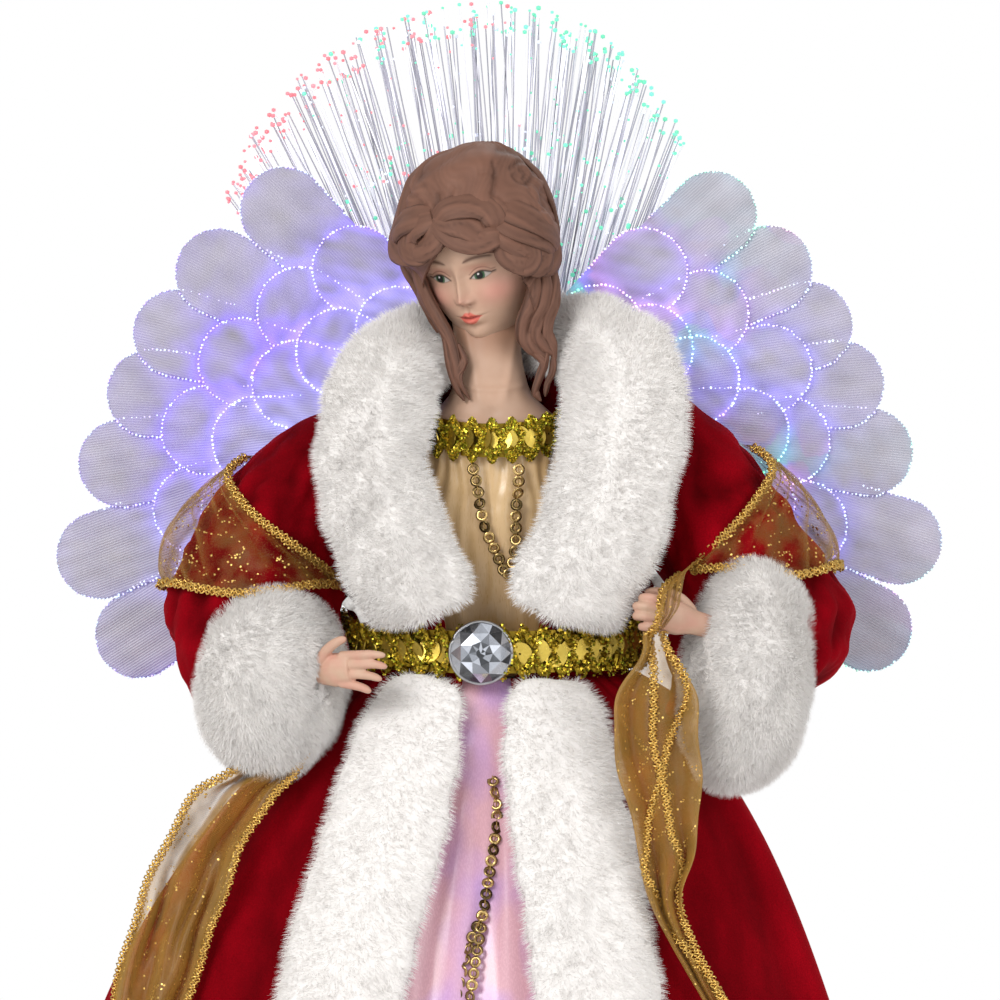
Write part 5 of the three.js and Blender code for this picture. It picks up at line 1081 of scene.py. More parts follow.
@dataclass
class Collar:
    """The wide fur shawl collar, in two rolls that meet behind the neck."""

    half_width: float = 19.0
    half_thickness: float = 7.0
    reach: float = 36.0
    rise: float = 84.0
    forward: float = 37.0
    foot: float = 219.3

    # Each station's x, y and z in shares of reach, forward and rise, its direction across,
    # and its half width and half thickness in shares of the roll's.
    SHARES = {
        -1: [
            (0.53, 1, 0.045, 1, 0, 0.35, 0.95, 0.9), (0.61, 1.04, 0.12, 1, 0, 0.33, 0.97, 1),
            (0.81, 1.05, 0.3, 1, 0.2, 0.3, 0.97, 1), (0.96, 1, 0.52, 1, 0.35, 0.05, 0.97, 1),
            (0.97, 0.84, 0.73, 1, 0.4, -0.2, 0.92, 1), (0.83, 0.51, 0.9, 1, 0.1, 0.45, 0.84, 0.95),
            (0.66, 0.1, 0.97, 0.8, -0.2, 0.9, 0.74, 0.9), (0.44, -0.27, 1, 0.4, -0.3, 1, 0.7, 0.75),
            (0.2, -0.48, 1.01, 0.1, -0.1, 1, 0.68, 0.65), (0.01, -0.54, 1.01, 0, 0, 1, 0.66, 0.6),
        ],
        1: [
            (0.53, 1, 0.045, 1, 0, 0.35, 0.95, 0.9), (0.61, 1.04, 0.11, 1, 0, 0.33, 0.98, 1),
            (0.84, 1.05, 0.29, 1, 0.2, 0.3, 1.04, 1), (1, 1, 0.52, 1, 0.35, 0.05, 1.06, 1),
            (1.09, 0.84, 0.72, 1, 0.4, -0.2, 1.09, 1), (1.05, 0.53, 0.91, 1, 0.1, 0.45, 1.02, 0.95),
            (0.8, 0.1, 1.01, 0.8, -0.2, 0.9, 0.8, 0.9), (0.5, -0.27, 1.03, 0.4, -0.3, 1, 0.72, 0.75),
            (0.22, -0.48, 1.02, 0.1, -0.1, 1, 0.68, 0.65), (0.01, -0.54, 1.01, 0, 0, 1, 0.66, 0.6),
        ],
    }

    def stations(self, side: Side) -> Array:
        """Oval stations from the belt over the shoulder to the nape."""
        share = np.array(self.SHARES[side.value])
        middle = share[:, :3] * [side.value * self.reach, -self.forward, self.rise] + [0, 0, self.foot]
        across = unit(share[:, 3:6] * [side.value, -1, 1])
        return np.hstack([middle, across, share[:, 6:] * [self.half_width, self.half_thickness]])

    def build(self) -> None:
        """Makes both rolls."""
        for side in Side:
            node, seed, pile = f"{side.label}_collar", 60 + side.value, Pile(78000, comb=0.28)
            FurRoll(node, "figure", self.stations(side), pile, Coat.OUTWARD, seed, 70).build()


# Bodice, sleeves and cuffs


def oval_levels(levels: Array, turns: Array) -> Array:
    """Level ovals: x = cx + w sin(turn) and y = cy - d cos(turn), at each level's height.

    Args:
        levels: Rows of x, y, z, half width and half depth.
        turns: Turns from the front, growing to the picture's right.

    Returns:
        A grid, one row for each level.
    """
    x, y, z, wide, deep = (levels[:, i, None] for i in range(5))
    return xyz(x + wide * np.sin(turns), y - deep * np.cos(turns), z)


@dataclass
class Bodices:
    """The gold satin bodice, and the velvet robe bodice over it in two halves."""

    half_width: float = 46.0
    half_depth: float = 28.0
    low: float = 203.9
    high: float = 294.0
    opening: float = 21.0
    slit: float = 12.1
    slit_top: float = 272.4
    socket: float = 33.2

    # Share of the height, then half width and half depth in shares of the bodice's.
    SHARES = (
        (0, 0.88, 1), (0.35, 0.92, 0.97), (0.65, 1, 0.95), (0.84, 1, 0.85), (0.95, 0.82, 0.64),
        (1, 0.6, 0.48),
    )
    # Each level's x, y, z, half width and half depth.
    SATIN = (
        (0, -4, 203.9, 27.6, 15.3), (0, -4, 224.2, 29.7, 15.8), (0, -4, 247.4, 31.5, 16.3),
        (0, -4, 262.0, 28.6, 15.1), (0, -4, 273.0, 27.6, 14.6),
    )

    def levels(self, count: int) -> Array:
        """The robe bodice's ovals, read off its shares by height."""
        share = np.array(self.SHARES)
        rise = np.linspace(0, 1, count)
        wide = np.interp(rise, share[:, 0], share[:, 1]) * self.half_width
        deep = np.interp(rise, share[:, 0], share[:, 2]) * self.half_depth
        kernel = np.hanning(9) / np.hanning(9).sum()
        wide, deep = (np.convolve(np.pad(v, 4, mode="edge"), kernel, "valid") for v in (wide, deep))
        height = self.low + (self.high - self.low) * rise
        return np.stack([0 * rise, 0 * rise, height, wide, deep], -1)

    def robe_half(self, side: Side) -> None:
        """One velvet half, from the front edge to the seam behind, hollowed beside the sleeve's cap."""
        levels = self.levels(62)
        height, wide = levels[:, 2:3], levels[:, 3:4]
        open_half = np.interp(height, [198.5, 212.0, 262.0], [self.opening / 8, 13.0, self.opening])
        start = np.arcsin(np.clip(open_half / wide, 0, 0.95))
        end = math.pi - np.arcsin(self.slit / wide) * ease(self.slit_top + 5, self.slit_top, height) - 0.004
        turn = side.value * (start + (end - start) * np.linspace(0, 1, 84)[None])
        points = oval_levels(levels, turn)
        fold = 0.8 * rumple(points * [1, 1, 0.35], 13.0, 12 + side.value) + 0.4 * rumple(points, 7.0, 15)
        points = points + fold[..., None] * normals(points) * -side.value * 0.6
        puff = (4.0 if side is Side.LEFT else 7.0) * hill(height - 232, 11) * np.abs(np.sin(turn)) ** 2
        points[..., 0] += side.value * puff
        shoulder = np.array(SHOULDERS[side.value])
        near = np.linalg.norm(points[..., 1:] - shoulder[1:], axis=-1)
        limit = self.socket + 20 * ease(22, 30, near)
        points[..., 0] = side.value * np.minimum(points[..., 0] * side.value, limit)
        name = f"{side.label}_robe_bodice_cloth"
        back = -1.1 if side is Side.LEFT else 1.1
        # The fold mark follows the folds' depth, for painted highlights on the crests and painted shade in
        # the hollows.
        shape = slab(points, back, fold=np.clip(0.45 + fold / 2, 0, 1)[..., None])
        piece = make(name, shape, VELVET, "figure", ["robe_bodice"])

    def satin_wrap(self) -> None:
        """The gold satin, drawn to the neckline in fine pleats."""
        levels = through(self.SATIN, 44)
        turns = np.arange(240) * TAU / 240
        points = oval_levels(levels, turns[None])
        rise = (points[..., 2] - self.low) / 69
        flat = xyz(turns[None] * 30, points[..., 2], 0.0)
        pleat = np.cos(turns[None] * 40 + 2.2 * rumple(flat, 22.0, 31)) * (0.15 + 0.55 * rise**2)
        soft = 0.7 * rumple(flat * [1, 0.3, 1], 12.0, 33) + 0.4 * rumple(flat * [0.4, 1, 1], 9.0, 34)
        out = turned_to(normals(points, True), (points - [0, -4, 0]) * [1, 1, 0])
        points = points + out * (0.5 + 0.6 * pleat + 0.6 * soft)[..., None]
        shape = slab(points, 0.5, True)
        piece = make("gold_satin_bodice", shape, GOLD_SATIN, "figure", ["satin_bodice"])

    def build(self) -> None:
        """Makes both bodices."""
        self.satin_wrap()
        for side in Side:
            self.robe_half(side)


@dataclass
class Arm:
    """One arm: velvet sleeve, fur cuff, hand, and the organza over them."""

    side: Side
    sleeve_radius: float = 22.0
    palm_radius: float = 5.0
    palm_length: float = 11.0
    finger_length: float = 7.5
    finger_radius: float = 1.5
    inner: float = 30.3
    wrap_gap: float = 2.6
    wrap_pleat: float = 1.2
    wrap_start: float = 88.0
    wrap_end: float = 140.0

    # The arm's stations, in reaches sideways, forwards and up.
    ARM = {
        -1: [
            (0, 0, 0), (0.24, 0.03, -0.26), (0.38, 0.12, -0.6), (0.34, 0.35, -0.86), (0.16, 0.58, -0.95),
            (-0.14, 0.76, -0.9),
        ],
        1: [
            (0, 0, 0), (0.28, 0.03, -0.28), (0.52, 0.1, -0.66), (0.56, 0.36, -0.86), (0.34, 0.6, -0.85),
            (0, 0.78, -0.75),
        ],
    }
    # Reaches up, sideways and forwards, then half width and half depth in sleeve radii.
    SLEEVE = {
        -1: [
            (0.34, -0.03, 0, 0.06, 0.06), (0.26, -0.03, 0, 0.5, 0.5), (0, 0.07, 0, 0.97, 0.93),
            (-0.24, 0.22, 0.03, 1.05, 1.05), (-0.57, 0.34, 0.13, 1.11, 1.22),
            (-0.87, 0.32, 0.23, 1.07, 1.27), (-1.09, 0.28, 0.32, 0.82, 1), (-1.22, 0.25, 0.37, 0.4, 0.55),
            (-1.25, 0.25, 0.38, 0.04, 0.05),
        ],
        1: [
            (0.34, -0.03, 0, 0.06, 0.06), (0.26, -0.03, 0, 0.5, 0.5), (0, 0.07, 0, 0.97, 0.93),
            (-0.32, 0.26, 0.03, 1.09, 1.05), (-0.7, 0.48, 0.12, 1.14, 1.18),
            (-0.98, 0.46, 0.2, 1.09, 1.22), (-1.18, 0.38, 0.28, 0.9, 1.05), (-1.31, 0.32, 0.33, 0.5, 0.6),
            (-1.35, 0.32, 0.34, 0.04, 0.05),
        ],
    }
    # Four fingers and the thumb: palm lengths along, finger lengths outwards, palm radii up.
    DIGITS = {
        -1: [
            [(0.8, 0, 0.75), (1.3, 0.02, 0.7), (1.75, 0.06, 0.62), (2.15, 0.16, 0.45)],
            [(0.85, 0, 0.22), (1.35, 0.06, 0.12), (1.8, 0.14, 0), (2.1, 0.3, -0.25)],
            [(0.8, 0, -0.3), (1.25, 0.1, -0.45), (1.6, 0.22, -0.65), (1.85, 0.38, -0.95)],
            [(0.7, 0, -0.8), (1.05, 0.12, -1.05), (1.3, 0.26, -1.3), (1.45, 0.4, -1.6)],
            [(0.2, -0.2, 0.6), (0.5, -0.28, 1.2), (0.85, -0.3, 1.6), (1.15, -0.25, 1.75)],
        ],
        1: [
            [(0.8, 0.1, 0.8), (1.35, 0.4, 0.78), (1.45, 0.85, 0.7), (1.05, 1.1, 0.62)],
            [(0.85, 0.1, 0.28), (1.45, 0.42, 0.22), (1.55, 0.9, 0.14), (1.1, 1.15, 0.1)],
            [(0.8, 0.1, -0.25), (1.4, 0.42, -0.35), (1.48, 0.9, -0.42), (1.05, 1.1, -0.42)],
            [(0.7, 0.1, -0.75), (1.2, 0.4, -0.9), (1.28, 0.8, -0.95), (0.95, 1.0, -0.95)],
            [(0.1, 0.15, 0.6), (0.45, 0.5, 1.25), (0.95, 0.85, 1.35), (1.35, 1.05, 1.1)],
        ],
    }
    # The middle's shift, then half the height, width and length.
    CUFF = {-1: ((-1.2, 0, -4), 29.0, 25.0, 19.0), 1: ((-0.8, 0, -12.8), 36.0, 21.0, 18.0)}
    # The top, the bottom, and the front edge's turn at the bottom in degrees.
    WRAP = {-1: (269.0, 231.0, -68.0), 1: (272.0, 236.0, -35.0)}
    # Share of the drop, both edges in shares of the spread, and reaches forwards.
    TAIL = {
        -1: [
            (0, -0.04, 0.16, 0.6), (0.09, -0.42, 0.02, 0.62), (0.16, -0.64, -0.14, 0.64),
            (0.38, -0.88, -0.38, 0.67), (0.62, -1.07, -0.58, 0.72), (0.76, -1.12, -0.66, 0.78),
            (0.9, -1.03, -0.68, 0.87), (1, -0.86, -0.7, 0.95),
        ],
        1: [
            (0, -0.14, 0.02, 0.82), (0.06, -0.16, 0.06, 0.86), (0.16, -0.34, 0.22, 0.93),
            (0.3, -0.3, 0.25, 0.96), (0.48, -0.18, 0.2, 0.96), (0.6, -0.11, 0.12, 0.95),
            (0.72, 0.07, 0.2, 0.95), (0.87, 0.32, 0.45, 0.96), (1, 0.45, 0.58, 0.99),
        ],
    }

    @property
    def body(self) -> str:
        """The body that the arm's pieces ride."""
        return f"{self.side.label}_arm"

    def points(self) -> Array:
        """The arm's stations, from the shoulder to the hand."""
        reach = np.array([self.side.value, -1, 1]) * ARM_REACH
        return np.array(SHOULDERS[self.side.value]) + np.array(self.ARM[self.side.value]) * reach

    def sleeve_levels(self, count: int) -> Array:
        """The sleeve's ovals from the shoulder down, at even steps through its table."""
        rise, out, forward, wide, deep = through(self.SLEEVE[self.side.value], count).T
        shoulder = SHOULDERS[self.side.value]
        x = self.side.value * (abs(shoulder[0]) + ARM_REACH * out)
        size = np.stack([wide, deep], -1) * self.sleeve_radius
        place = np.stack([x, -ARM_REACH * forward, shoulder[2] + ARM_REACH * rise], -1)
        return np.hstack([place, np.maximum(size, 0.5)])

    def crumpled(self, points: Array) -> Array:
        """How far the sleeve's folds stand out: long slanting folds, crosswise ones low down."""
        share = np.linspace(0, 1, points.shape[0])[:, None]
        slant = points @ np.array([[0.4, 0.1, 0.9], [0.9, 0.1, -0.4], [0, 1, 0]]).T
        seed = 70 + self.side.value
        long = 2.2 * np.abs(rumple(slant * [0.35, 1, 0.6], 15.0, seed)) ** 0.8
        cross = 2.0 * rumple(points * [0.45, 0.5, 1.2], 13.0, seed + 4) * ease(0.35, 0.7, share)
        small = 0.5 * rumple(points * [1, 1, 0.7], 6.5, seed + 8)
        return (long + cross + small) * ease(0.02, 0.25, share)

    def sleeve(self) -> None:
        """The stuffed velvet sleeve."""
        levels = self.sleeve_levels(90)
        points = oval_levels(levels, (np.arange(140) * TAU / 140)[None])
        out = unit((points - levels[:, None, :3]) * [1, 1, 0.2])
        fold = self.crumpled(points)
        points = points + out * fold[..., None]
        points[..., 0] = self.side.value * np.maximum(points[..., 0] * self.side.value, self.inner)
        name = f"{self.side.label}_sleeve"
        # The fold mark follows the folds' height, for painted highlights on the crests and painted shade in
        # the hollows.
        shape = closed(points, fold=np.clip(0.25 + fold / 4, 0, 1))
        piece = make(f"{name}_cloth", shape, VELVET, self.body, [name])

    def cuff_stations(self) -> Array:
        """Oval stations of the fur cuff, from the forearm towards the hand."""
        shift, high, wide, half = self.CUFF[self.side.value]
        points = self.points()
        along = unit(points[5] - points[3])
        middle = points[3] + (points[4] - points[3]) * 0.6 + np.array(shift)
        bulge = np.array([0.62, 0.92, 1, 0.94, 0.66])[:, None]
        places = middle + along * np.linspace(-half, half, 5)[:, None]
        across = np.tile([0, 0, 1.0], (5, 1))
        return np.hstack([places, across, high * bulge, wide * bulge])

    def cuff(self) -> None:
        """The deep fur cuff."""
        node, stations = f"{self.side.label}_cuff", self.cuff_stations()
        roll = FurRoll(node, self.body, stations, Pile(78000), Coat.DOWNWARD, 80, 60, 80, roundness=5.0)
        roll.build()

    def hand(self) -> None:
        """The cast hand: palm and digits, run together and smoothed."""
        points = self.points()
        along = unit(points[5] - points[4])
        up = unit(np.array([0, 0, 1.0]) - along * along[2])
        outward = -self.side.value * np.cross(up, along)
        heel = points[5] - along * self.palm_length
        rows = np.stack([along * self.palm_length, outward * self.finger_length, up * self.palm_radius])
        steps = 14
        upright = np.tile(up, (steps, 1))
        palm = heel + through([(-0.9, 0, 0), (0, 0, 0), (0.5, 0.03, 0), (1.05, 0.08, -0.05)], steps) @ rows
        wide = np.interp(np.linspace(0, 1, steps), [0, 0.35, 0.7, 1], [3.4, 3.7, 5.2, 4.6])
        parts = [closed(sweep(palm, upright, wide, wide * 0.62, 14))]
        blunt = np.sqrt(np.clip(1 - np.linspace(0, 1, steps) ** 9, 0.15, 1))
        for index, joints in enumerate(self.DIGITS[self.side.value]):
            girth = self.finger_radius * (1.12 if index == 4 else 1.0)
            thick = girth * np.linspace(1.08, 0.78, steps) * blunt
            parts.append(closed(sweep(heel + through(joints, steps) @ rows, upright, thick, thick, 10)))
        name = f"{self.side.label}_hand"
        piece = make(f"{name}_cast", gathered(parts), SKIN, self.body, [name])
        self.melt(piece)

    def melt(self, piece: bpy.types.Object) -> None:
        """Joins overlapping closed shapes into one skin, smooths it, and paints it."""
        remesh = piece.modifiers.new("join", "REMESH")
        remesh.mode = "VOXEL"
        remesh.voxel_size = 0.00034
        smooth = piece.modifiers.new("smooth", "SMOOTH")
        smooth.factor = 0.6
        smooth.iterations = 3
        graph = bpy.context.evaluated_depsgraph_get()
        skin = bpy.data.meshes.new_from_object(piece.evaluated_get(graph))
        piece.modifiers.clear()
        old, name = piece.data, piece.data.name
        piece.data = skin
        bpy.data.meshes.remove(old)
        skin.name = name
        skin.polygons.foreach_set("use_smooth", np.ones(len(skin.polygons), bool))
        places = np.empty(len(skin.vertices) * 3, np.float32)
        skin.vertices.foreach_get("co", places)
        tone = rumple(places.reshape(-1, 3) / MM, 6.0, 9)[:, None] * 0.5 + 0.5
        carry(skin, "paint", SKIN_TONE * (1 - 0.25 * tone) + FLUSH_TONE * 0.25 * tone)
        if not skin.materials:
            skin.materials.append(SKIN.material())

    def wrap_points(self) -> Array:
        """The organza over the upper sleeve: its front edge slants from the shoulder to the hand."""
        top, end, front_end = self.WRAP[self.side.value]
        levels = self.sleeve_levels(400)
        order = np.argsort(levels[:, 2])
        share = np.linspace(0, 1, 48)[:, None]
        height = top + (end - top) * share
        columns = levels[order].T
        x, y, wide, deep = (np.interp(height, columns[2], columns[i]) for i in (0, 1, 3, 4))
        t = np.linspace(0, 1, 118)[None]
        start = self.wrap_start + (front_end - self.wrap_start) * share
        turn = np.radians(start + (self.wrap_end - start) * t)
        pleat = self.wrap_pleat * (0.5 - 0.5 * np.cos(2 * TAU * t)) * share
        flat = xyz(t * 80, height, 0.0) @ [[1, 0.6, 0], [-0.2, 0.35, 0], [0, 0, 1]]
        fold = 1.3 * np.abs(rumple(flat, 11.0, 91)) + 0.4
        billow = 6.5 * hill(turn - math.radians(80), 0.5)
        billow = billow * np.sin(math.pi * np.clip(share * 1.05, 0, 1)) ** 0.7
        reach = self.wrap_gap + pleat + fold + billow
        px = x + self.side.value * (wide + reach) * np.sin(turn)
        py = y - (deep + reach) * np.cos(turn)
        return np.stack([px, py, height + 1.2 * np.sin(4 * t * math.pi) * share], -1)

    # Each inner cord's shares of the drop, and its shares of the width there.
    CORDS = (
        ((0, 0.15, 0.29, 0.39, 0.485, 0.58, 0.71, 1), (0.15, 0.44, 0.48, 0.51, 0.6, 0.85, 1, 1)),
        ((0, 0.15, 0.26, 0.39, 0.46, 0.55, 0.71, 0.84, 1), (0.9, 1, 0.84, 0.53, 0.25, 0.05, 0.4, 1, 0.9)),
    )

    def tail_points(self) -> Array:
        """The hanging end of the shawl, pleated, from the cuff or the closed hand down."""
        points = self.points()
        if self.side is Side.LEFT:
            drop, spread, middle = 104, 46, points[4, 0]
            top = points[4, 2] - 0.7 * self.CUFF[-1][1]
        else:
            drop, spread, middle = 130, 44, points[5, 0]
            top = points[5, 2] - self.palm_radius
        down, low, high, forward = (v[:, None] for v in through(self.TAIL[self.side.value], 118).T)
        t = np.linspace(0, 1, 56)[None]
        room = np.minimum(1, 5 * (high - low))
        pleat = 2.6 * np.sin(t * 2 * TAU + 2 * down + 1.2 * np.sin(6 * down)) * room
        flat = xyz(t * 40, down * drop, 0.0)
        fold = 1.6 * rumple(flat * [1, 0.3, 1], 9.0, 95 + self.side.value) * room
        x = middle + spread * (low + (high - low) * t) + 0.8 * rumple(flat * [0.3, 1, 1], 16.0, 97)
        y = -ARM_REACH * forward - pleat * 0.8 - fold
        return xyz(x, y, top - drop * down)

    def run_points(self, wrap: Array, tail: Array) -> Array:
        """The gathered cloth from the wrap's lower front corner, over the fist and into the tail."""
        start, end = wrap[-1, 2] + [0, -1.0, 2.0], tail[3].mean(0) + [0, 0.5, 0]
        fist = self.points()[5] + [1.0, -self.palm_radius - 1.6, 0]
        sag = start * 0.55 + fist * 0.45 + [-2.0, -4.5, 2.5]
        line = through([start, sag, fist + [1.0, 0, self.palm_radius], fist, end], 70)[:, None]
        across = np.linspace(-1, 1, 44)[None, :, None]
        half = np.interp(np.linspace(0, 1, 70), [0, 0.3, 0.6, 1], [5.2, 4.4, 4.0, 4.4])[:, None, None]
        side, front = np.array([0.75, 0.1, 0.62]), np.array([0, -1.0, 0])
        pleat = 1.5 * np.cos(across * 9) * front
        creases = 0.5 * rumple(line + across * 4, 6.0, 98)[..., None] * front
        return line + across * half * side + pleat + creases

    def organza(self, points: Array, name: str, held: str, edges: Sequence[Array]) -> None:
        """One sheer piece with its corded edges.

        Args:
            points: The cloth's grid.
            name: The CAD node that it stands for, or its run, which stands for the tail too.
            held: How it is held. A hung one is marked as edge all over, which makes it more opaque.
            edges: Each corded edge as a run of grid points. With none, the first column is one.
        """
        u = np.cumsum(np.linalg.norm(np.diff(points, axis=0, prepend=points[:1]), axis=-1), 0)
        v = np.cumsum(np.linalg.norm(np.diff(points, axis=1, prepend=points[:, :1]), axis=-1), 1)
        side = np.minimum(v, v[:, -1:] - v)
        edge = (np.exp(-side / 1.5) + (0.9 if held == "hung" else 0.0))[..., None]
        shape = slab(points, 0.25, cloth=np.stack([v, u, 0 * u], -1), edge=edge)
        node = name.replace("_run", "_tail")
        piece = make(f"{name}_cloth", shape, GAUZE, self.body, [node])
        cords = gathered([corded(path, 93 + i) for i, path in enumerate(edges or [points[:, 0]])])
        make(f"{name}_cord", cords, GOLD, self.body, [node])

    def tie(self) -> None:
        """A little white ribbon end at the robe's side, beside the belt."""
        middle = np.array([-40.5, -30.0, 225.0] if self.side is Side.LEFT else [47.4, -27.0, 235.0])
        path = through([(-4, 0, 3), (-2, -1, 1), (0, 0, 0), (2, -1, -2), (3.5, 0, -5)], 30) * 0.8 + middle
        wide = 1.3 + 0.5 * np.abs(np.linspace(-1, 1, 30))
        shape = closed(sweep(path, np.tile([0.3, 1.0, 0.2], (30, 1)), wide * 0.25, wide, 10))
        make(f"{self.side.label}_ribbon_end", shape, WHITE_THREAD, "figure")

    def build(self) -> None:
        """Makes the arm's pieces."""
        self.sleeve()
        self.cuff()
        self.hand()
        wrap, tail = self.wrap_points(), self.tail_points()
        label = self.side.label
        self.organza(wrap, f"{label}_shawl_wrap", "draped", [wrap[:, 0], wrap[-1]])
        edges = [tail[:, 0], tail[:, -1], tail[-1]]
        if self.side is Side.RIGHT:
            rows = np.arange(len(tail), dtype=float)
            for down, t in self.CORDS:
                column = np.interp(rows / len(tail), down, t) * (tail.shape[1] - 1)
                edges.append(on_grid(tail, rows, column, False) - [0, 0.6, 0])
            edges = edges[2:]
        self.organza(tail, f"{label}_shawl_tail", "hung", edges)
        if self.side is Side.RIGHT:
            self.organza(self.run_points(wrap, tail), f"{label}_shawl_run", "gathered", [])
        self.tie()


def resampled(path: Array, step: float) -> Array:
    """Points at even steps along a path."""
    travel = travelled(path)
    return read_off(np.linspace(0, travel[-1], max(int(travel[-1] / step), 4)), travel, path)


def corded(path: Array, seed: int) -> Shape:
    """A crocheted metallic edge: loops that swing over each other along a path.

    Args:
        path: The edge.
        seed: Chooses the tints.

    Returns:
        Four entwined threads, tinted.
    """
    step, wide, loop = 0.45, 1.4, 3.4
    line = resampled(path, step)
    tangent = unit(np.gradient(line, axis=0))
    side = unit(np.cross(tangent, [0.2, -1, 0.1]))
    out = np.cross(side, tangent)
    s = np.arange(len(line)) * step
    rng = np.random.default_rng(seed)
    threads, tints = [], []
    for phase, swing in ((0, 1.0), (math.pi, 1.0), (math.pi / 2, 0.55), (-math.pi / 2, 0.55)):
        angle = s * TAU / loop + phase + 0.3 * np.sin(s / 5)
        sway = side * (swing * wide * np.sin(angle))[:, None]
        lift = out * (0.45 * np.cos(angle * 2 + phase))[:, None]
        threads.append(line + sway + lift)
        tints.append(np.array([0.74, 0.47, 0.13]) * rng.uniform(0.85, 1.15, (len(line), 1)))
    return tubes(np.array(threads), 0.27, 6, tint=np.array(tints))


# Head and hair

SKIN_TONE = np.array([0.57, 0.375, 0.27])
FLUSH_TONE = np.array([0.64, 0.22, 0.19])
LIP_TONE = np.array([0.66, 0.11, 0.08])
HAIR_TONE = np.array([0.165, 0.077, 0.05])
DARK_TONE = np.array([0.03, 0.016, 0.012])


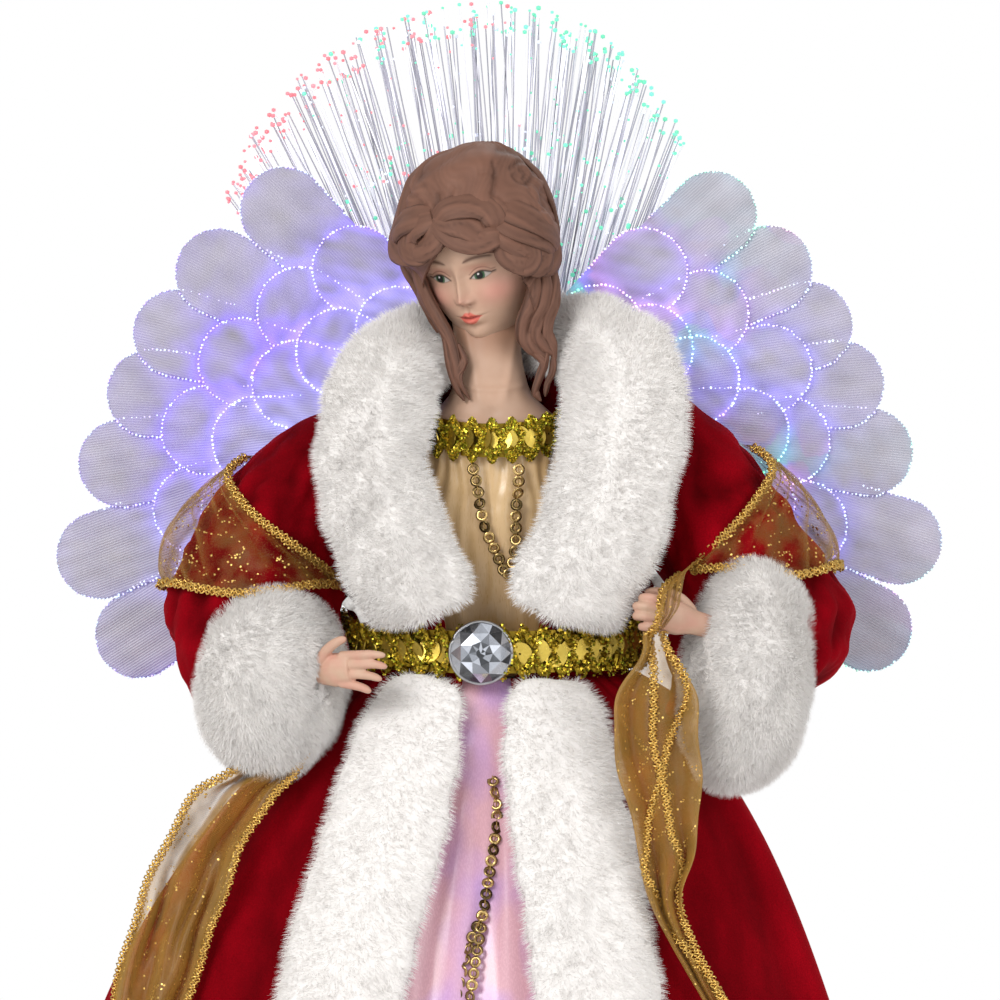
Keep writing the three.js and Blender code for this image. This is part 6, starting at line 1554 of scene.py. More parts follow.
@dataclass
class Head:
    """The painted head, its sculpted hair, and the neck and bust under it."""

    middle: tuple[float, float, float] = (-3.4, 1.0, 331.0)
    yaw: float = 24.5
    nod: float = 25.0
    roll: float = -6.0
    eye_out: float = 6.5
    eye_height: float = -0.7
    hair_low: float = 304.0
    hair_height: float = 60.0
    hair_width: float = 53.0
    hair_depth: float = 52.0
    hair_lean: float = 4.5

    # Share of the height, half width, half depth, forward shift and lean.
    HAIR_SHARES = (
        (0, 0.42, 0.42, 0.22, 0.5), (0.08, 0.66, 0.64, 0.2, 0.3), (0.2, 0.8, 0.84, 0.12, 0.32),
        (0.33, 0.82, 0.95, 0.04, 0.6), (0.42, 0.92, 1, 0, 0.95), (0.5, 0.95, 1, -0.02, 1.07),
        (0.6, 0.92, 1, -0.03, 1.04), (0.72, 0.85, 0.92, -0.05, 1.04), (0.8, 0.78, 0.84, -0.05, 1.05),
        (0.873, 0.67, 0.73, -0.05, 0.98), (0.937, 0.5, 0.55, -0.05, 0.67),
        (0.973, 0.34, 0.38, -0.05, 0.4), (1, 0.08, 0.1, -0.04, 0.3),
    )
    # Height, half width, and depth in front.
    PROFILE = (
        (-25.5, 3.5, 6.0), (-24.7, 6.5, 12.0), (-22.8, 9.0, 15.8), (-19.5, 11.8, 17.2), (-16, 14.0, 18.0),
        (-12, 15.8, 18.5), (-7, 17.4, 18.9), (-2, 18.4, 19.2), (3, 18.6, 20.0), (8, 18.2, 20.0),
        (12, 16.0, 18.0), (16, 12.0, 13.5), (19, 7.0, 8.0), (21, 1.0, 1.0),
    )
    # Each front lock's half width and lift, then its way as x and z.
    WAVES = (
        (3.4, 0.0, (-16.9, 340.3), (-14.1, 343.2), (-9.6, 344.5), (-4.7, 344.7), (-1.0, 343.2),
         (0.9, 340.3), (1.3, 337.6)),
        (3.4, 0.3, (-16.3, 340.6), (-13.7, 337.9), (-10.2, 335.7), (-6.2, 334.5), (-2.5, 334.6),
         (0.9, 335.7), (3.9, 335.2)),
        (3.6, -0.2, (-16.9, 340.9), (-12.6, 340.3), (-8.1, 339.0), (-4.2, 336.9), (-0.6, 335.4)),
        (3.2, 0.2, (-16.8, 340.5), (-16.9, 336.9), (-18.0, 333.8), (-19.9, 331.9), (-22.1, 331.3),
         (-24.0, 332.4)),
        (3.6, 0.0, (-17.8, 340.9), (-21.0, 339.4), (-23.7, 337.1), (-24.9, 333.6), (-23.7, 331.1),
         (-21.1, 330.3), (-19.6, 331.5)),
        (4.0, -0.4, (-18.4, 341.4), (-22.8, 340.9), (-26.6, 339.3), (-28.8, 336.1), (-28.6, 332.6),
         (-25.9, 330.4), (-23.1, 329.2)),
        (3.2, 0.3, (1.5, 337.5), (4.3, 335.1), (7.6, 333.3), (10.8, 331.3), (11.4, 328.6), (9.6, 326.8),
         (7.0, 327.4)),
        (3.4, 0.1, (2.4, 335.2), (4.8, 333.1), (5.1, 330.6), (7.3, 328.9), (9.9, 327.3), (12.3, 327.0)),
        (4.0, -0.3, (2.1, 340.6), (6.9, 338.6), (12.2, 336.9), (16.5, 334.8), (18.4, 331.1),
         (17.1, 327.6), (14.4, 326.2)),
        (3.2, 0.2, (12.4, 334.3), (15.0, 331.8), (15.4, 328.9), (13.3, 326.8), (10.7, 327.3)),
        (4.2, -0.5, (2.4, 344.1), (7.6, 342.4), (12.9, 340.3), (16.9, 337.6), (19.1, 333.9),
         (19.2, 330.6)),
    )
    # Each stroke's width and depth, then its way as x and z.
    STROKES = (
        (0.8, -0.9, (0.4, 357.5), (1.5, 354.9), (1.3, 352.5), (0.6, 350.2), (0.9, 348.0)),
        (0.9, -0.8, (-0.2, 348.5), (0.3, 345.1), (0.9, 341.4), (2.0, 337.6)),
        (1.1, -0.9, (-25.3, 348.5), (-21.2, 345.1), (-17.7, 341.6), (-16.0, 339.9)),
        (0.9, -0.8, (-16.9, 348.1), (-16.5, 344.4), (-15.9, 340.3)),
        (0.8, -0.6, (-11.8, 350.0), (-13.3, 346.6), (-14.4, 342.9)),
        (0.9, -0.6, (-21.2, 351.1), (-19.0, 347.4), (-16.9, 343.6)),
        (0.8, -0.5, (-3.2, 354.5), (-0.6, 354.9), (0.9, 353.8)),
        (0.8, -0.6, (-5.8, 344.0), (-10.3, 343.5), (-14.1, 342.0)),
        (0.9, -0.8, (6.5, 356.4), (9.2, 357.8), (12.0, 356.4), (12.9, 353.8), (11.4, 351.5), (8.8, 351.9),
         (7.6, 354.0)),
        (0.7, -0.6, (9.3, 355.6), (10.8, 354.5), (10.3, 353.0)),
        (0.8, -0.7, (2.4, 347.4), (5.4, 344.8), (8.4, 343.5), (11.4, 344.0), (15.1, 342.9)),
        (0.8, -0.6, (7.3, 343.6), (8.4, 340.6), (11.4, 338.8)),
        (0.9, -0.6, (15.9, 349.6), (15.1, 345.9), (17.0, 342.1), (19.3, 339.9)),
        (0.9, -0.6, (2.4, 361.6), (7.6, 360.9), (12.2, 357.9), (15.1, 353.0)),
        (1.0, -0.5, (-6.2, 362.4), (-11.8, 359.8), (-17.8, 356.0), (-22.7, 353.8)),
        (0.8, -0.5, (-27.6, 345.1), (-24.6, 342.1), (-20.5, 339.9)),
        (0.8, -0.5, (11.4, 351.1), (12.5, 347.4), (15.9, 344.4)),
        (0.7, -0.5, (5.4, 339.9), (9.9, 338.4), (15.9, 336.9), (19.6, 334.6)),
        (5.0, 1.2, (-8.8, 347.4), (-4.3, 346.3), (-1.3, 344.4)),
        (5.5, 1.0, (-14.1, 354.9), (-8.1, 356.4), (-3.6, 355.6)),
        (4.5, 0.9, (5.4, 349.6), (9.9, 348.1), (12.9, 348.1)),
        (4.5, 0.9, (-23.1, 347.4), (-20.5, 343.6), (-18.6, 341.4)),
        (4.0, 1.0, (15.1, 341.4), (18.1, 338.4), (18.9, 334.6)),
        (4.0, 0.9, (3.9, 342.1), (6.9, 339.9), (10.7, 337.6)),
    )
    # Each hanging lock's half width, then its way as x, y and z.
    FALLS = (
        (2.9, (12.2, -12.5, 325.6), (12.8, -14, 320.4), (11.8, -15, 315.1), (9.8, -15.4, 309.9),
         (9.9, -15.2, 305.2), (12.3, -14.6, 301.5), (15.9, -13.9, 299.4)),
        (2.9, (15.1, -10, 326.0), (15.9, -12, 320.4), (15.1, -13.5, 314.8), (13.0, -14.5, 309.9),
         (12.8, -14.4, 305.6), (15.3, -13.6, 302.0), (18.0, -12.8, 300.1)),
        (2.8, (17.8, -5, 326.8), (18.4, -8, 321.1), (18.0, -10.5, 315.5), (16.5, -12, 310.6),
         (16.3, -12.4, 306.1), (18.0, -12, 302.4), (18.8, -12, 297.8)),
        (1.6, (16.5, -13, 300.9), (15.4, -13.4, 296.8), (13.9, -13.6, 292.6), (13.0, -13.8, 288.9),
         (14.7, -13.8, 286.1)),
        (1.4, (18.4, -12, 299.4), (18.1, -12.6, 294.9), (16.5, -13.2, 291.1), (15.9, -13.4, 287.4)),
        (1.2, (10.8, -15, 303.9), (12.9, -14.6, 300.5), (15.1, -14.2, 298.1), (15.0, -14, 294.9),
         (13.3, -14, 293.6)),
        (2.5, (-23.4, -7, 329.4), (-21.9, -7.5, 323.4), (-19.5, -8, 317.0), (-15.9, -9.5, 310.3),
         (-12.8, -11.5, 304.6), (-11.2, -13, 297.9), (-10.2, -13.6, 292.6), (-7.0, -13.8, 287.1)),
        (1.8, (-21.3, -2, 320.4), (-17.8, -6, 313.6), (-14.1, -9.5, 306.1), (-12.9, -12, 299.4),
         (-11.8, -13, 294.1), (-10.2, -13.4, 289.3), (-8.1, -13.6, 286.2)),
        (1.3, (-10.3, -12.6, 303.1), (-8.5, -13.6, 298.6), (-9.9, -14, 294.1), (-9.0, -14, 290.4),
         (-6.6, -14, 286.5)),
        (3.0, (-26.8, -2, 329.4), (-24.8, -1, 324.9), (-21.9, 0, 319.6), (-18.9, 0, 312.9),
         (-16.1, 0, 306.1)),
    )
    # The reach of the opening's edge at angles in degrees, from the picture's right.
    HAIRLINE = (
        (-180, 15), (-160, 17), (-120, 24), (-90, 26), (-60, 26), (-20, 20), (0, 18), (22, 17),
        (40, 15.6), (51, 15.4), (79, 12), (107, 14.2), (118, 16), (142, 15), (150, 14.5), (180, 15),
    )

    def turned(self, local: Array) -> Array:
        """Face coordinates to the frame: nod about X, roll about Y, yaw about Z, then moved."""
        angles = np.radians([self.nod, self.roll, -self.yaw])
        (nod_c, roll_c, yaw_c), (nod_s, roll_s, yaw_s) = np.cos(angles), np.sin(angles)
        about_x = np.array([[1, 0, 0], [0, nod_c, -nod_s], [0, nod_s, nod_c]])
        about_y = np.array([[roll_c, 0, roll_s], [0, 1, 0], [-roll_s, 0, roll_c]])
        about_z = np.array([[yaw_c, -yaw_s, 0], [yaw_s, yaw_c, 0], [0, 0, 1]])
        return local @ (about_z @ about_y @ about_x).T + np.array(self.middle)

    def relief(self, x: Array, z: Array) -> Array:
        """How far the face stands out from its plain oval: sums of bell curves in x and z."""
        side = np.abs(x)
        tip = np.interp(z, [-10.2, -8.9, -7.4, -6.2, -4, 0, 3.5, 6], [0, 0.8, 3.5, 4.7, 3.5, 1.7, 0.7, 0])
        broad = np.interp(z, [-8, -5, 0, 4], [1.9, 1.55, 1.25, 1.6])
        out = tip * np.exp(-((x / broad) ** 2))
        out += 1.35 * hill(side - 2.2, 1.15) * hill(z + 7.3, 1.25)
        out -= 0.5 * hill(side - 1.25, 0.6) * hill(z + 8.7, 0.5)
        out -= 2.0 * hill(side - self.eye_out + 0.3, 4.4) * hill(z - 0.2, 3.0)
        out += 1.35 * hill(side - self.eye_out, 3.1) * hill(z - self.eye_height, 1.9)
        lid = self.lid(x, 1.5)
        out += 0.28 * hill(z - lid - 0.25, 0.42) * hill(side - self.eye_out, 3.4)
        out -= 0.22 * hill(z - lid - 1.25, 0.4) * hill(side - self.eye_out, 3.2)
        out += 0.55 * hill(side - 6.6, 4.4) * hill(z - 4.4, 1.6)
        out += 1.25 * hill(side - 8.6, 4.4) * hill(z + 7.4, 4.6)
        out += 1.5 * hill(x, 4.9) * hill(z + 12.8, 4.2)
        out -= 0.3 * hill(x, 0.7) * hill(z + 10.3, 1.2)
        bow = -11.9 + 0.45 * hill(side - 1.0, 0.8)
        out += 0.85 * hill(x, 2.9) * hill(z - bow + 0.4, 0.75)
        out += 1.05 * hill(x, 2.4) * hill(z + 14.4, 0.95)
        out -= 0.85 * hill(x, 3.3) * hill(z + 13.25 - 0.05 * side, 0.32)
        out -= 0.55 * hill(x, 3.4) * hill(z + 16.4, 0.95)
        out += 1.7 * hill(x, 3.8) * hill(z + 19.6, 2.6)
        return out

    def lid(self, x: Array, rise: float) -> Array:
        """The height of an eyelid's edge: a flat arch over each eye."""
        share = (np.abs(x) - self.eye_out) / 3.15
        return self.eye_height + rise * (1 - np.clip(share, -1, 1) ** 2) + 0.18 * share

    def painted(self, x: Array, z: Array) -> Array:
        """The face's paint: skin, blush, lips, brows and eyes, with painted highlights and painted lid-crease
        shade, laid one over another.
        """
        side = np.abs(x)
        noise = rumple(xyz(x, z, 0.0), 9.0, 3)
        color = SKIN_TONE * (1 + 0.03 * noise[..., None])

        def lay(under: Array, tone: Sequence[float], cover: Array) -> Array:
            """Tone over what is there, by a cover from 0 to 1."""
            cover = np.clip(cover, 0, 1)[..., None]
            return under * (1 - cover) + np.array(tone) * cover

        color = lay(color, FLUSH_TONE, 0.5 * hill(side - 9.8, 5.6) * hill(z + 6.2, 4.6))
        color = lay(color, FLUSH_TONE, 0.3 * hill(side - self.eye_out, 4.0) * hill(z - 2.4, 1.5))
        color = lay(color, FLUSH_TONE, 0.25 * hill(x, 2.0) * hill(z + 6.6, 2.0))
        bow = -11.55 + 0.5 * hill(side - 1.0, 0.75) - 0.1 * side
        corner = np.clip(1 - (side / 3.7) ** 2, 0, 1)
        upper = ease(0.25, -0.15, z - (-13.2 + (bow + 13.2) * corner)) * ease(-13.5, -13.1, z)
        lower = ease(-0.2, 0.25, z - (-13.3 - 2.25 * np.clip(1 - (side / 3.2) ** 2, 0, 1)))
        lower = lower * ease(-13.0, -13.4, z)
        lips = np.maximum(upper, lower) * ease(3.9, 3.5, side)
        color = lay(color, LIP_TONE, 0.85 * lips)
        color = lay(color, [0.3, 0.05, 0.05], 0.7 * hill(z + 13.3 - 0.03 * side, 0.22) * ease(3.7, 2.8, side))
        # A painted highlight on the lower lip.
        color = lay(color, [0.72, 0.4, 0.33], 0.35 * hill(x + 0.6, 0.9) * hill(z + 14.5, 0.35))
        arch = 4.9 + 1.15 * (1 - ((side - 7.1) / 4.6) ** 2)
        thin = 0.42 * ease(2.2, 4.5, side) * (1 - 0.5 * ease(8, 11.5, side))
        brow = hill(z - arch, 0.2 + thin) * ease(2.4, 3.4, side) * ease(11.8, 10.6, side)
        color = lay(color, [0.09, 0.035, 0.02], 0.85 * brow)
        top, bottom = self.lid(x, 1.5), self.lid(x, -0.85)
        across = ease(3.2, 3.0, np.abs(side - self.eye_out))
        open_eye = ease(-0.12, 0.12, top - z) * ease(-0.12, 0.12, z - bottom) * across
        color = lay(color, [0.5, 0.46, 0.42], open_eye)
        gaze = x - np.sign(x) * self.eye_out + 0.35
        iris = np.hypot(gaze, (z - self.eye_height - 0.28) * 0.95)
        color = lay(color, [0.015, 0.05, 0.02], open_eye * ease(1.7, 1.5, iris))
        color = lay(color, [0.06, 0.16, 0.07], open_eye * hill(iris - 1.3, 0.22) * 0.8)
        color = lay(color, [0.004, 0.004, 0.004], open_eye * ease(1.15, 0.95, iris))
        glint = np.hypot(gaze + 0.35, z - self.eye_height - 0.75)
        color = lay(color, [0.95, 0.95, 0.95], open_eye * ease(0.36, 0.22, glint))
        near = ease(4.3, 3.6, np.abs(side - self.eye_out - 0.5))
        flick = ease(2.0, 3.6, side - self.eye_out)
        color = lay(color, DARK_TONE, hill(z - top - 0.05 - 0.35 * flick, 0.36 - 0.12 * flick) * near)
        color = lay(color, [0.16, 0.07, 0.045], 0.5 * hill(z - bottom, 0.2) * near)
        # Painted shade in the crease above each upper lid.
        color = lay(color, [0.2, 0.08, 0.05], 0.65 * hill(z - top - 1.2, 0.24) * near)
        return lay(color, [0.2, 0.06, 0.04], 0.6 * hill(side - 1.25, 0.42) * hill(z + 8.9, 0.35))

    def face(self) -> None:
        """The face and skull as one skin, with its points crowded at the features."""
        height = np.linspace(-25.5, 21, 250)
        spline = through(self.PROFILE, 1200)
        order = np.argsort(spline[:, 0])
        wide, front = (np.interp(height, spline[order, 0], spline[order, i])[:, None] for i in (1, 2))
        u = np.linspace(-1, 1, 301)[:-1]
        turn = (math.pi * (0.42 * u + 0.58 * u**3))[None]
        x = wide * np.sin(turn)
        depth = np.where(np.cos(turn) > 0, front, wide * 1.05)
        z = height[:, None] + 0 * turn
        facing = ease(0.0, 0.5, np.cos(turn))
        y = -depth * np.sign(np.cos(turn)) * np.abs(np.cos(turn)) ** 0.92 - self.relief(x, z) * facing
        paint = self.painted(x, z) * facing[..., None] + SKIN_TONE * (1 - facing[..., None])
        shape = closed(self.turned(np.stack([x, y, z], -1)), paint=paint)
        make("face_cast", shape, SKIN, "figure", ["head_and_bust"])

    def bust(self) -> None:
        """The neck, collar bones and shoulder plate."""
        rows = [
            (0.0, -4.0, 262.5, 26.5, 13.4),
            (0.0, -3.9, 273.5, 25.5, 13.2),
            (0.0, -3.0, 281.0, 19.0, 12.2),
            (-0.3, -2.2, 287.5, 12.6, 11.2),
            (-0.7, -1.4, 294.0, 10.6, 9.8),
            (-1.2, -0.2, 301.0, 9.9, 8.8),
            (-1.6, 1.6, 308.0, 10.2, 8.4),
            (-2.0, 3.0, 314.0, 11.0, 8.6),
        ]
        levels = through(rows, 92)
        turns = (np.arange(130) * TAU / 130)[None]
        points = oval_levels(levels, turns)
        x, z = points[..., 0], points[..., 2]
        facing = ease(0.1, 0.6, np.cos(turns))
        bone = 0.9 * hill(z - 279.5 - 0.12 * np.abs(x), 1.3) * hill(np.abs(x) - 9, 6)
        cord = 0.8 * hill(np.abs(x) - 3.2 - (z - 284) * 0.22, 1.6) * ease(283, 288, z)
        hollow = 0.9 * hill(x, 2.2) * hill(z - 282, 2.5)
        points[..., 1] -= (bone + cord - hollow) * facing
        shade = rumple(points, 12.0, 2)[..., None]
        # Painted shadow under the jaw: the upper neck is painted darker.
        under = ease(296, 306, z) * facing
        ring = 0.5 * hill(z - 289.5 - 0.012 * x**2, 0.9) * facing
        points[..., 1] -= ring
        paint = (SKIN_TONE * (0.96 + 0.04 * shade)) * (1 - under[..., None] * [0.25, 0.36, 0.42])
        make("bust_cast", closed(points, paint=paint), SKIN, "figure", ["head_and_bust"])

    def levels(self, share: Array) -> list[Array]:
        """The hair's half width, half depth, forward shift and lean at a share of its height."""
        heights, *columns = np.array(self.HAIR_SHARES).T
        even = np.linspace(0, 1, 161)
        kernel = np.hanning(17) / np.hanning(17).sum()
        found = []
        for column in columns:
            pad = np.pad(np.interp(even, heights, column), 8, mode="reflect", reflect_type="odd")
            found.append(np.interp(share, even, np.convolve(pad, kernel, "valid")))
        return [np.maximum(found[0], 0.04), np.maximum(found[1], 0.04), *found[2:]]

    def hair_at(self, share: Array, turn: Array) -> Array:
        """The hair's outer shape: the part's ovals, at a share of its height and a turn."""
        wide, deep, forward, lean = self.levels(share)
        x = -self.hair_lean * lean + self.hair_width / 2 * wide * np.sin(turn)
        y = -self.hair_depth / 2 * forward - self.hair_depth / 2 * deep * np.cos(turn)
        return xyz(x, y, self.hair_low + self.hair_height * share)

    def window(self, points: Array) -> Array:
        """How far a place is inside the hair's opening for the face: 1 is its edge, 0 its middle."""
        x, z = points[..., 0] + 6.5, points[..., 2] - 318.0
        angles, reaches = np.array(self.HAIRLINE).T
        edge = np.interp(np.degrees(np.arctan2(z, x)), angles, reaches)
        return np.where(points[..., 1] < 2, np.hypot(x, z) / edge, 3.0)

    def cap(self) -> None:
        """The swept hair as one skin: broad waves, combed grooves, and an opening for the face."""
        share = (np.linspace(0, 1, 192) ** 0.85)[:, None]
        turn = (np.arange(320) * TAU / 320)[None]
        points = self.hair_at(share, turn)
        drift = rumple(points, 22.0, 51)
        wave = rumple(points * [1, 1, 0.7], 15.0, 52)
        comb = turn * 9 + 3.4 * drift + 6 * share + 1.5 * np.sin(share * 7 + turn)
        dome = hill(points[..., 0] + 3, 24) * ease(330, 340, points[..., 2]) * ease(2, -6, points[..., 1])
        groove = np.cos(comb) * (0.6 + 0.4 * drift) * (1 - 0.8 * dome)
        fine = np.cos(comb * 4.2 + 3 * wave) * (1 - 0.6 * dome)
        out = unit(points - (points.mean(1, keepdims=True) + [0, 0, -6]))
        carved = self.carved(points)
        lift = -1.1 + 0.7 * wave + 0.5 * groove + 0.1 * fine + carved
        away = self.window(points)
        sink = 25 * ease(1.05, 0.95, away)
        points = points + out * lift[..., None] + sink[..., None] * [0.0, 1.0, 0.0]
        # Painted light: the paint is lighter where the hair stands out and darker in its grooves, with
        # painted shade round the opening for the face.
        tone = 1.0 + 0.2 * groove + 0.1 * fine + 0.08 * wave + 0.35 * np.clip(carved, -1.2, 0.5)
        tone = tone - 0.4 * ease(1.08, 0.96, away)
        paint = HAIR_TONE * np.clip(tone, 0.3, 1.5)[..., None]
        make("hair_cap", closed(points, paint=paint), HAIR, "figure", ["head_and_bust"])

    def carved(self, points: Array) -> Array:
        """Grooves and swells drawn on the hair's front: depth * exp(-(distance / width)^2) each."""
        flat = points[..., [0, 2]]
        out = 0.0
        for width, depth, *path in self.STROKES:
            line = through(path, 24)
            near = np.min(np.linalg.norm(flat[..., None, :] - line, axis=-1), -1)
            out = out + depth * np.exp(-((near / width) ** 2))
        return out * ease(4, -2, points[..., 1])

    def lock(self, path: Array, wide: Array, thick: Array, seed: int) -> Shape:
        """One modelled lock: a tapered sweep with combed ridges along it.

        Args:
            path: Its control points.
            wide: Half widths at the control points.
            thick: Half thicknesses at the control points.
            seed: Chooses its ridges.

        Returns:
            The closed lock, painted.
        """
        count, sides = 46, 34
        line = through(path, count)
        share = np.linspace(0, 1, count)
        known = np.linspace(0, 1, len(wide))
        w, h = np.interp(share, known, wide), np.interp(share, known, thick)
        middle = np.array([-3.0, 2.0, 325.0])
        across = unit(np.cross(np.gradient(line, axis=0), line - middle))
        points = sweep(line, across, w, h, sides)
        turn = np.arange(sides) * TAU / sides
        swirl = 2.2 * share[:, None] * math.sin(seed) + 0.8 * np.sin(7 * share[:, None] + 2 * seed)
        ridge = np.cos(5 * turn[None] + swirl + seed)
        crease = np.cos(4 * turn[None] + 1.3 * swirl + 2 * seed) ** 24 * np.sin(math.pi * share[:, None])
        fine = np.cos(11 * turn[None] + 2 * swirl + 3 * np.sin(4 * share[:, None] + seed))
        scale = (h * 0.075 * (1 + 0.7 * np.sin(9 * share + seed)))[:, None, None]
        rise = (ridge + 0.4 * fine - 2.2 * crease)[..., None] * scale
        points = points + unit(points - line[:, None]) * rise
        # Painted light: each lock is lighter on its ridges, with painted shade in its creases and along both
        # edges where it meets the hair under it.
        tone = 1.05 + 0.1 * ridge + 0.08 * fine - 0.42 * np.cos(turn[None]) ** 10 - 0.3 * crease
        return closed(points, paint=HAIR_TONE * np.clip(tone, 0.35, 1.5)[..., None])

    def on_hair(self, flat: Sequence[Sequence[float]], lift: float) -> Array:
        """Places seen from the front, put on the front of the hair's outer shape.

        Args:
            flat: Rows of x and z.
            lift: How far in front of the shape they lie.

        Returns:
            Rows of x, y and z.
        """
        x, z = np.array(flat).T
        half, deep, forward, lean = self.levels(np.clip((z - self.hair_low) / self.hair_height, 0.3, 1))
        off = (x + self.hair_lean * lean) / (self.hair_width / 2 * half)
        bulge = np.sqrt(np.clip(1 - off**2, 0.02, 1))
        return np.stack([x, -self.hair_depth / 2 * (forward + deep * bulge) - lift, z], -1)

    def front_locks(self) -> list[Shape]:
        """The sculpted waves that show from the front: dome, fringe and temples."""
        shapes = []
        for index, (size, lift, *flat) in enumerate(self.WAVES):
            path = self.on_hair(flat, lift)
            path[[0, -1], 1] += 1.5
            wide = size * np.array([0.8, 1.0, 1.12, 1.12, 1.05, 0.9, 0.6])
            shapes.append(self.lock(path, 1.22 * wide, wide * 0.3, index))
        return shapes

    def back_locks(self) -> list[Shape]:
        """Long waving locks from the crown down the sides and back to the nape."""
        rng = np.random.default_rng(17)
        shapes = []
        for index in range(26):
            turn = 1.62 + (TAU - 3.1) * (index + rng.uniform(-0.2, 0.2)) / 25
            share = np.linspace(0.97, 0.05 + 0.08 * rng.random(), 9)
            sway = 0.13 * np.sin(np.linspace(0, 8.5, 9) + rng.uniform(0, 6))
            path = self.hair_at(share, turn + sway)
            path = path + unit(path - np.array([-4.0, 0, 325.0])) * (-1.7 + 0.6 * rng.random())
            wide = np.array([0.8, 3.4, 4.4, 4.5, 4.4, 4.0, 2.9, 0.6])
            shapes.append(self.lock(path, wide, wide * 0.34, index))
        return shapes

    def side_locks(self) -> list[Shape]:
        """The long locks that fall in front of both shoulders."""
        shapes = []
        for index, (size, *path) in enumerate(self.FALLS):
            taper = np.array([0.6, 1.0, 1.05, 1.0, 0.9, 0.7, 0.2]) * size
            shapes.append(self.lock(np.array(path, float), taper, taper * 0.7, index + 90))
        return shapes

    def build(self) -> None:
        """Makes the head's pieces."""
        self.face()
        self.bust()
        self.cap()
        locks = gathered(self.front_locks() + self.back_locks() + self.side_locks())
        make("hair_locks", locks, HAIR, "figure", ["head_and_bust"])


# Braids, stone and sequin strings


@dataclass
class Braid:
    """A band of glitter braid: a backing, two looped cords of flakes, and overlapping sequins."""

    name: str
    half_width: float
    half_depth: float
    forward: float
    middle: float
    height: float
    sag: float
    arc: float
    sequin: float
    flakes: int
    seed: int
    thickness: float = 1.2
    swing: float = 5.2

    @property
    def girth(self) -> float:
        """Half the band's length."""
        return self.arc * (self.half_width + self.half_depth) / 2

    @property
    def loops(self) -> int:
        """How many times each cord swings up and down."""
        return round(2 * self.girth / self.swing)

    def cord(self, phase: Array, sign: Array | float) -> tuple[Array, Array]:
        """A cord's rise over the band's middle, and its distance out, at a phase of its swing."""
        rise = sign * (0.27 * self.height + 0.15 * self.height * np.cos(phase))
        return rise, 1.0 + 0.5 * np.sin(phase)

    def at(self, turn: Array, rise: Array, out: Array | float) -> Array:
        """A place on the band, out from its backing: the band sags by sag * sin^2(turn / 2)."""
        x = (self.half_width + out) * np.sin(turn)
        y = -self.forward - (self.half_depth + out) * np.cos(turn)
        return xyz(x, y, self.middle + rise + self.sag * np.sin(turn / 2) ** 2)

    def outwards(self, turn: Array) -> Array:
        """The direction out of the band."""
        return unit(xyz(np.sin(turn) / self.half_width, -np.cos(turn) / self.half_depth, 0.0))

    def backing(self) -> Shape:
        """The ribbon under the glitter."""
        closes = self.arc >= math.pi
        count = 240
        turn = np.arange(count) * TAU / count if closes else np.linspace(-self.arc, self.arc, count)
        rise = np.linspace(-0.42, 0.42, 9)[:, None] * self.height
        points = self.at(turn[None], rise, 0.0)
        tint = np.broadcast_to([0.3, 0.2, 0.02], points.shape)
        return slab(points, self.thickness, closes, tint=tint)

    def cords(self) -> Shape:
        """Two wavy cords, one along each edge."""
        count = 700
        turn = np.linspace(-self.arc, self.arc, count)
        phase = np.linspace(0, TAU * self.loops, count)
        paths = np.array([self.at(turn, *self.cord(phase, sign)) for sign in (-1, 1)])
        tint = np.broadcast_to([0.34, 0.24, 0.02], (2, count, 3))
        return tubes(paths, 0.085 * self.height, 8, tint=tint)

    def glitter(self) -> Shape:
        """Square flakes stuck all over the cords at every angle."""
        rng = np.random.default_rng(self.seed)
        turn = rng.uniform(-self.arc, self.arc, self.flakes)
        phase = (turn / self.arc + 1) / 2 * TAU * self.loops
        sign = rng.choice([-1, 1], self.flakes)
        around = rng.uniform(0, TAU, self.flakes)
        tube = 0.15 * self.height
        rise, out = self.cord(phase, sign)
        places = self.at(turn, rise + tube * np.cos(around), out + tube * np.abs(np.sin(around)))
        tilt = self.outwards(turn) + 0.7 * rng.normal(size=(self.flakes, 3))
        frames = bases(tilt, rng.uniform(0, TAU, self.flakes))
        # Painted glints: the flakes' tints are brightened or darkened at random, a few far brighter than the
        # rest.
        bright = rng.random(self.flakes)[:, None] ** 2
        green = rng.random(self.flakes)[:, None] < 0.4
        tint = np.where(green, [0.36, 0.38, 0.03], [0.72, 0.5, 0.05]) * (0.3 + 1.7 * bright)
        return scatter(flake(4, 0.25), places, frames, rng.uniform(0.26, 0.5, self.flakes), tint=tint)

    def sequins(self) -> Shape:
        """Cupped discs in an overlapping row, each tilted its own way."""
        rng = np.random.default_rng(self.seed + 1)
        count = int(2 * self.girth / (1.2 * self.sequin))
        turn = np.linspace(-self.arc, self.arc, count)
        places = self.at(turn, rng.normal(0, 0.5, count), 1.1 + 0.3 * (np.arange(count) % 2))
        tilt = self.outwards(turn) + 0.3 * xyz(-np.cos(turn), -np.sin(turn), 0.0)
        frames = bases(tilt + 0.2 * rng.normal(size=(count, 3)), rng.uniform(0, TAU, count))
        # Painted glints: the sequins' tints are brightened or darkened at random.
        bright = rng.uniform(0.55, 1.25, (count, 1))
        disc = washer(0.1, 1.0, 0.1, 20)
        return scatter(disc, places, frames, self.sequin, tint=np.array([0.7, 0.52, 0.1]) * bright)

    def build(self) -> None:
        """Makes the band and its glitter."""
        parts = [self.backing(), self.cords(), self.glitter()]
        make(f"{self.name}_cords", gathered(parts), GOLD, "figure", [self.name], smooth=False)
        make(f"{self.name}_sequins", self.sequins(), GOLD, "figure", [self.name], smooth=False)


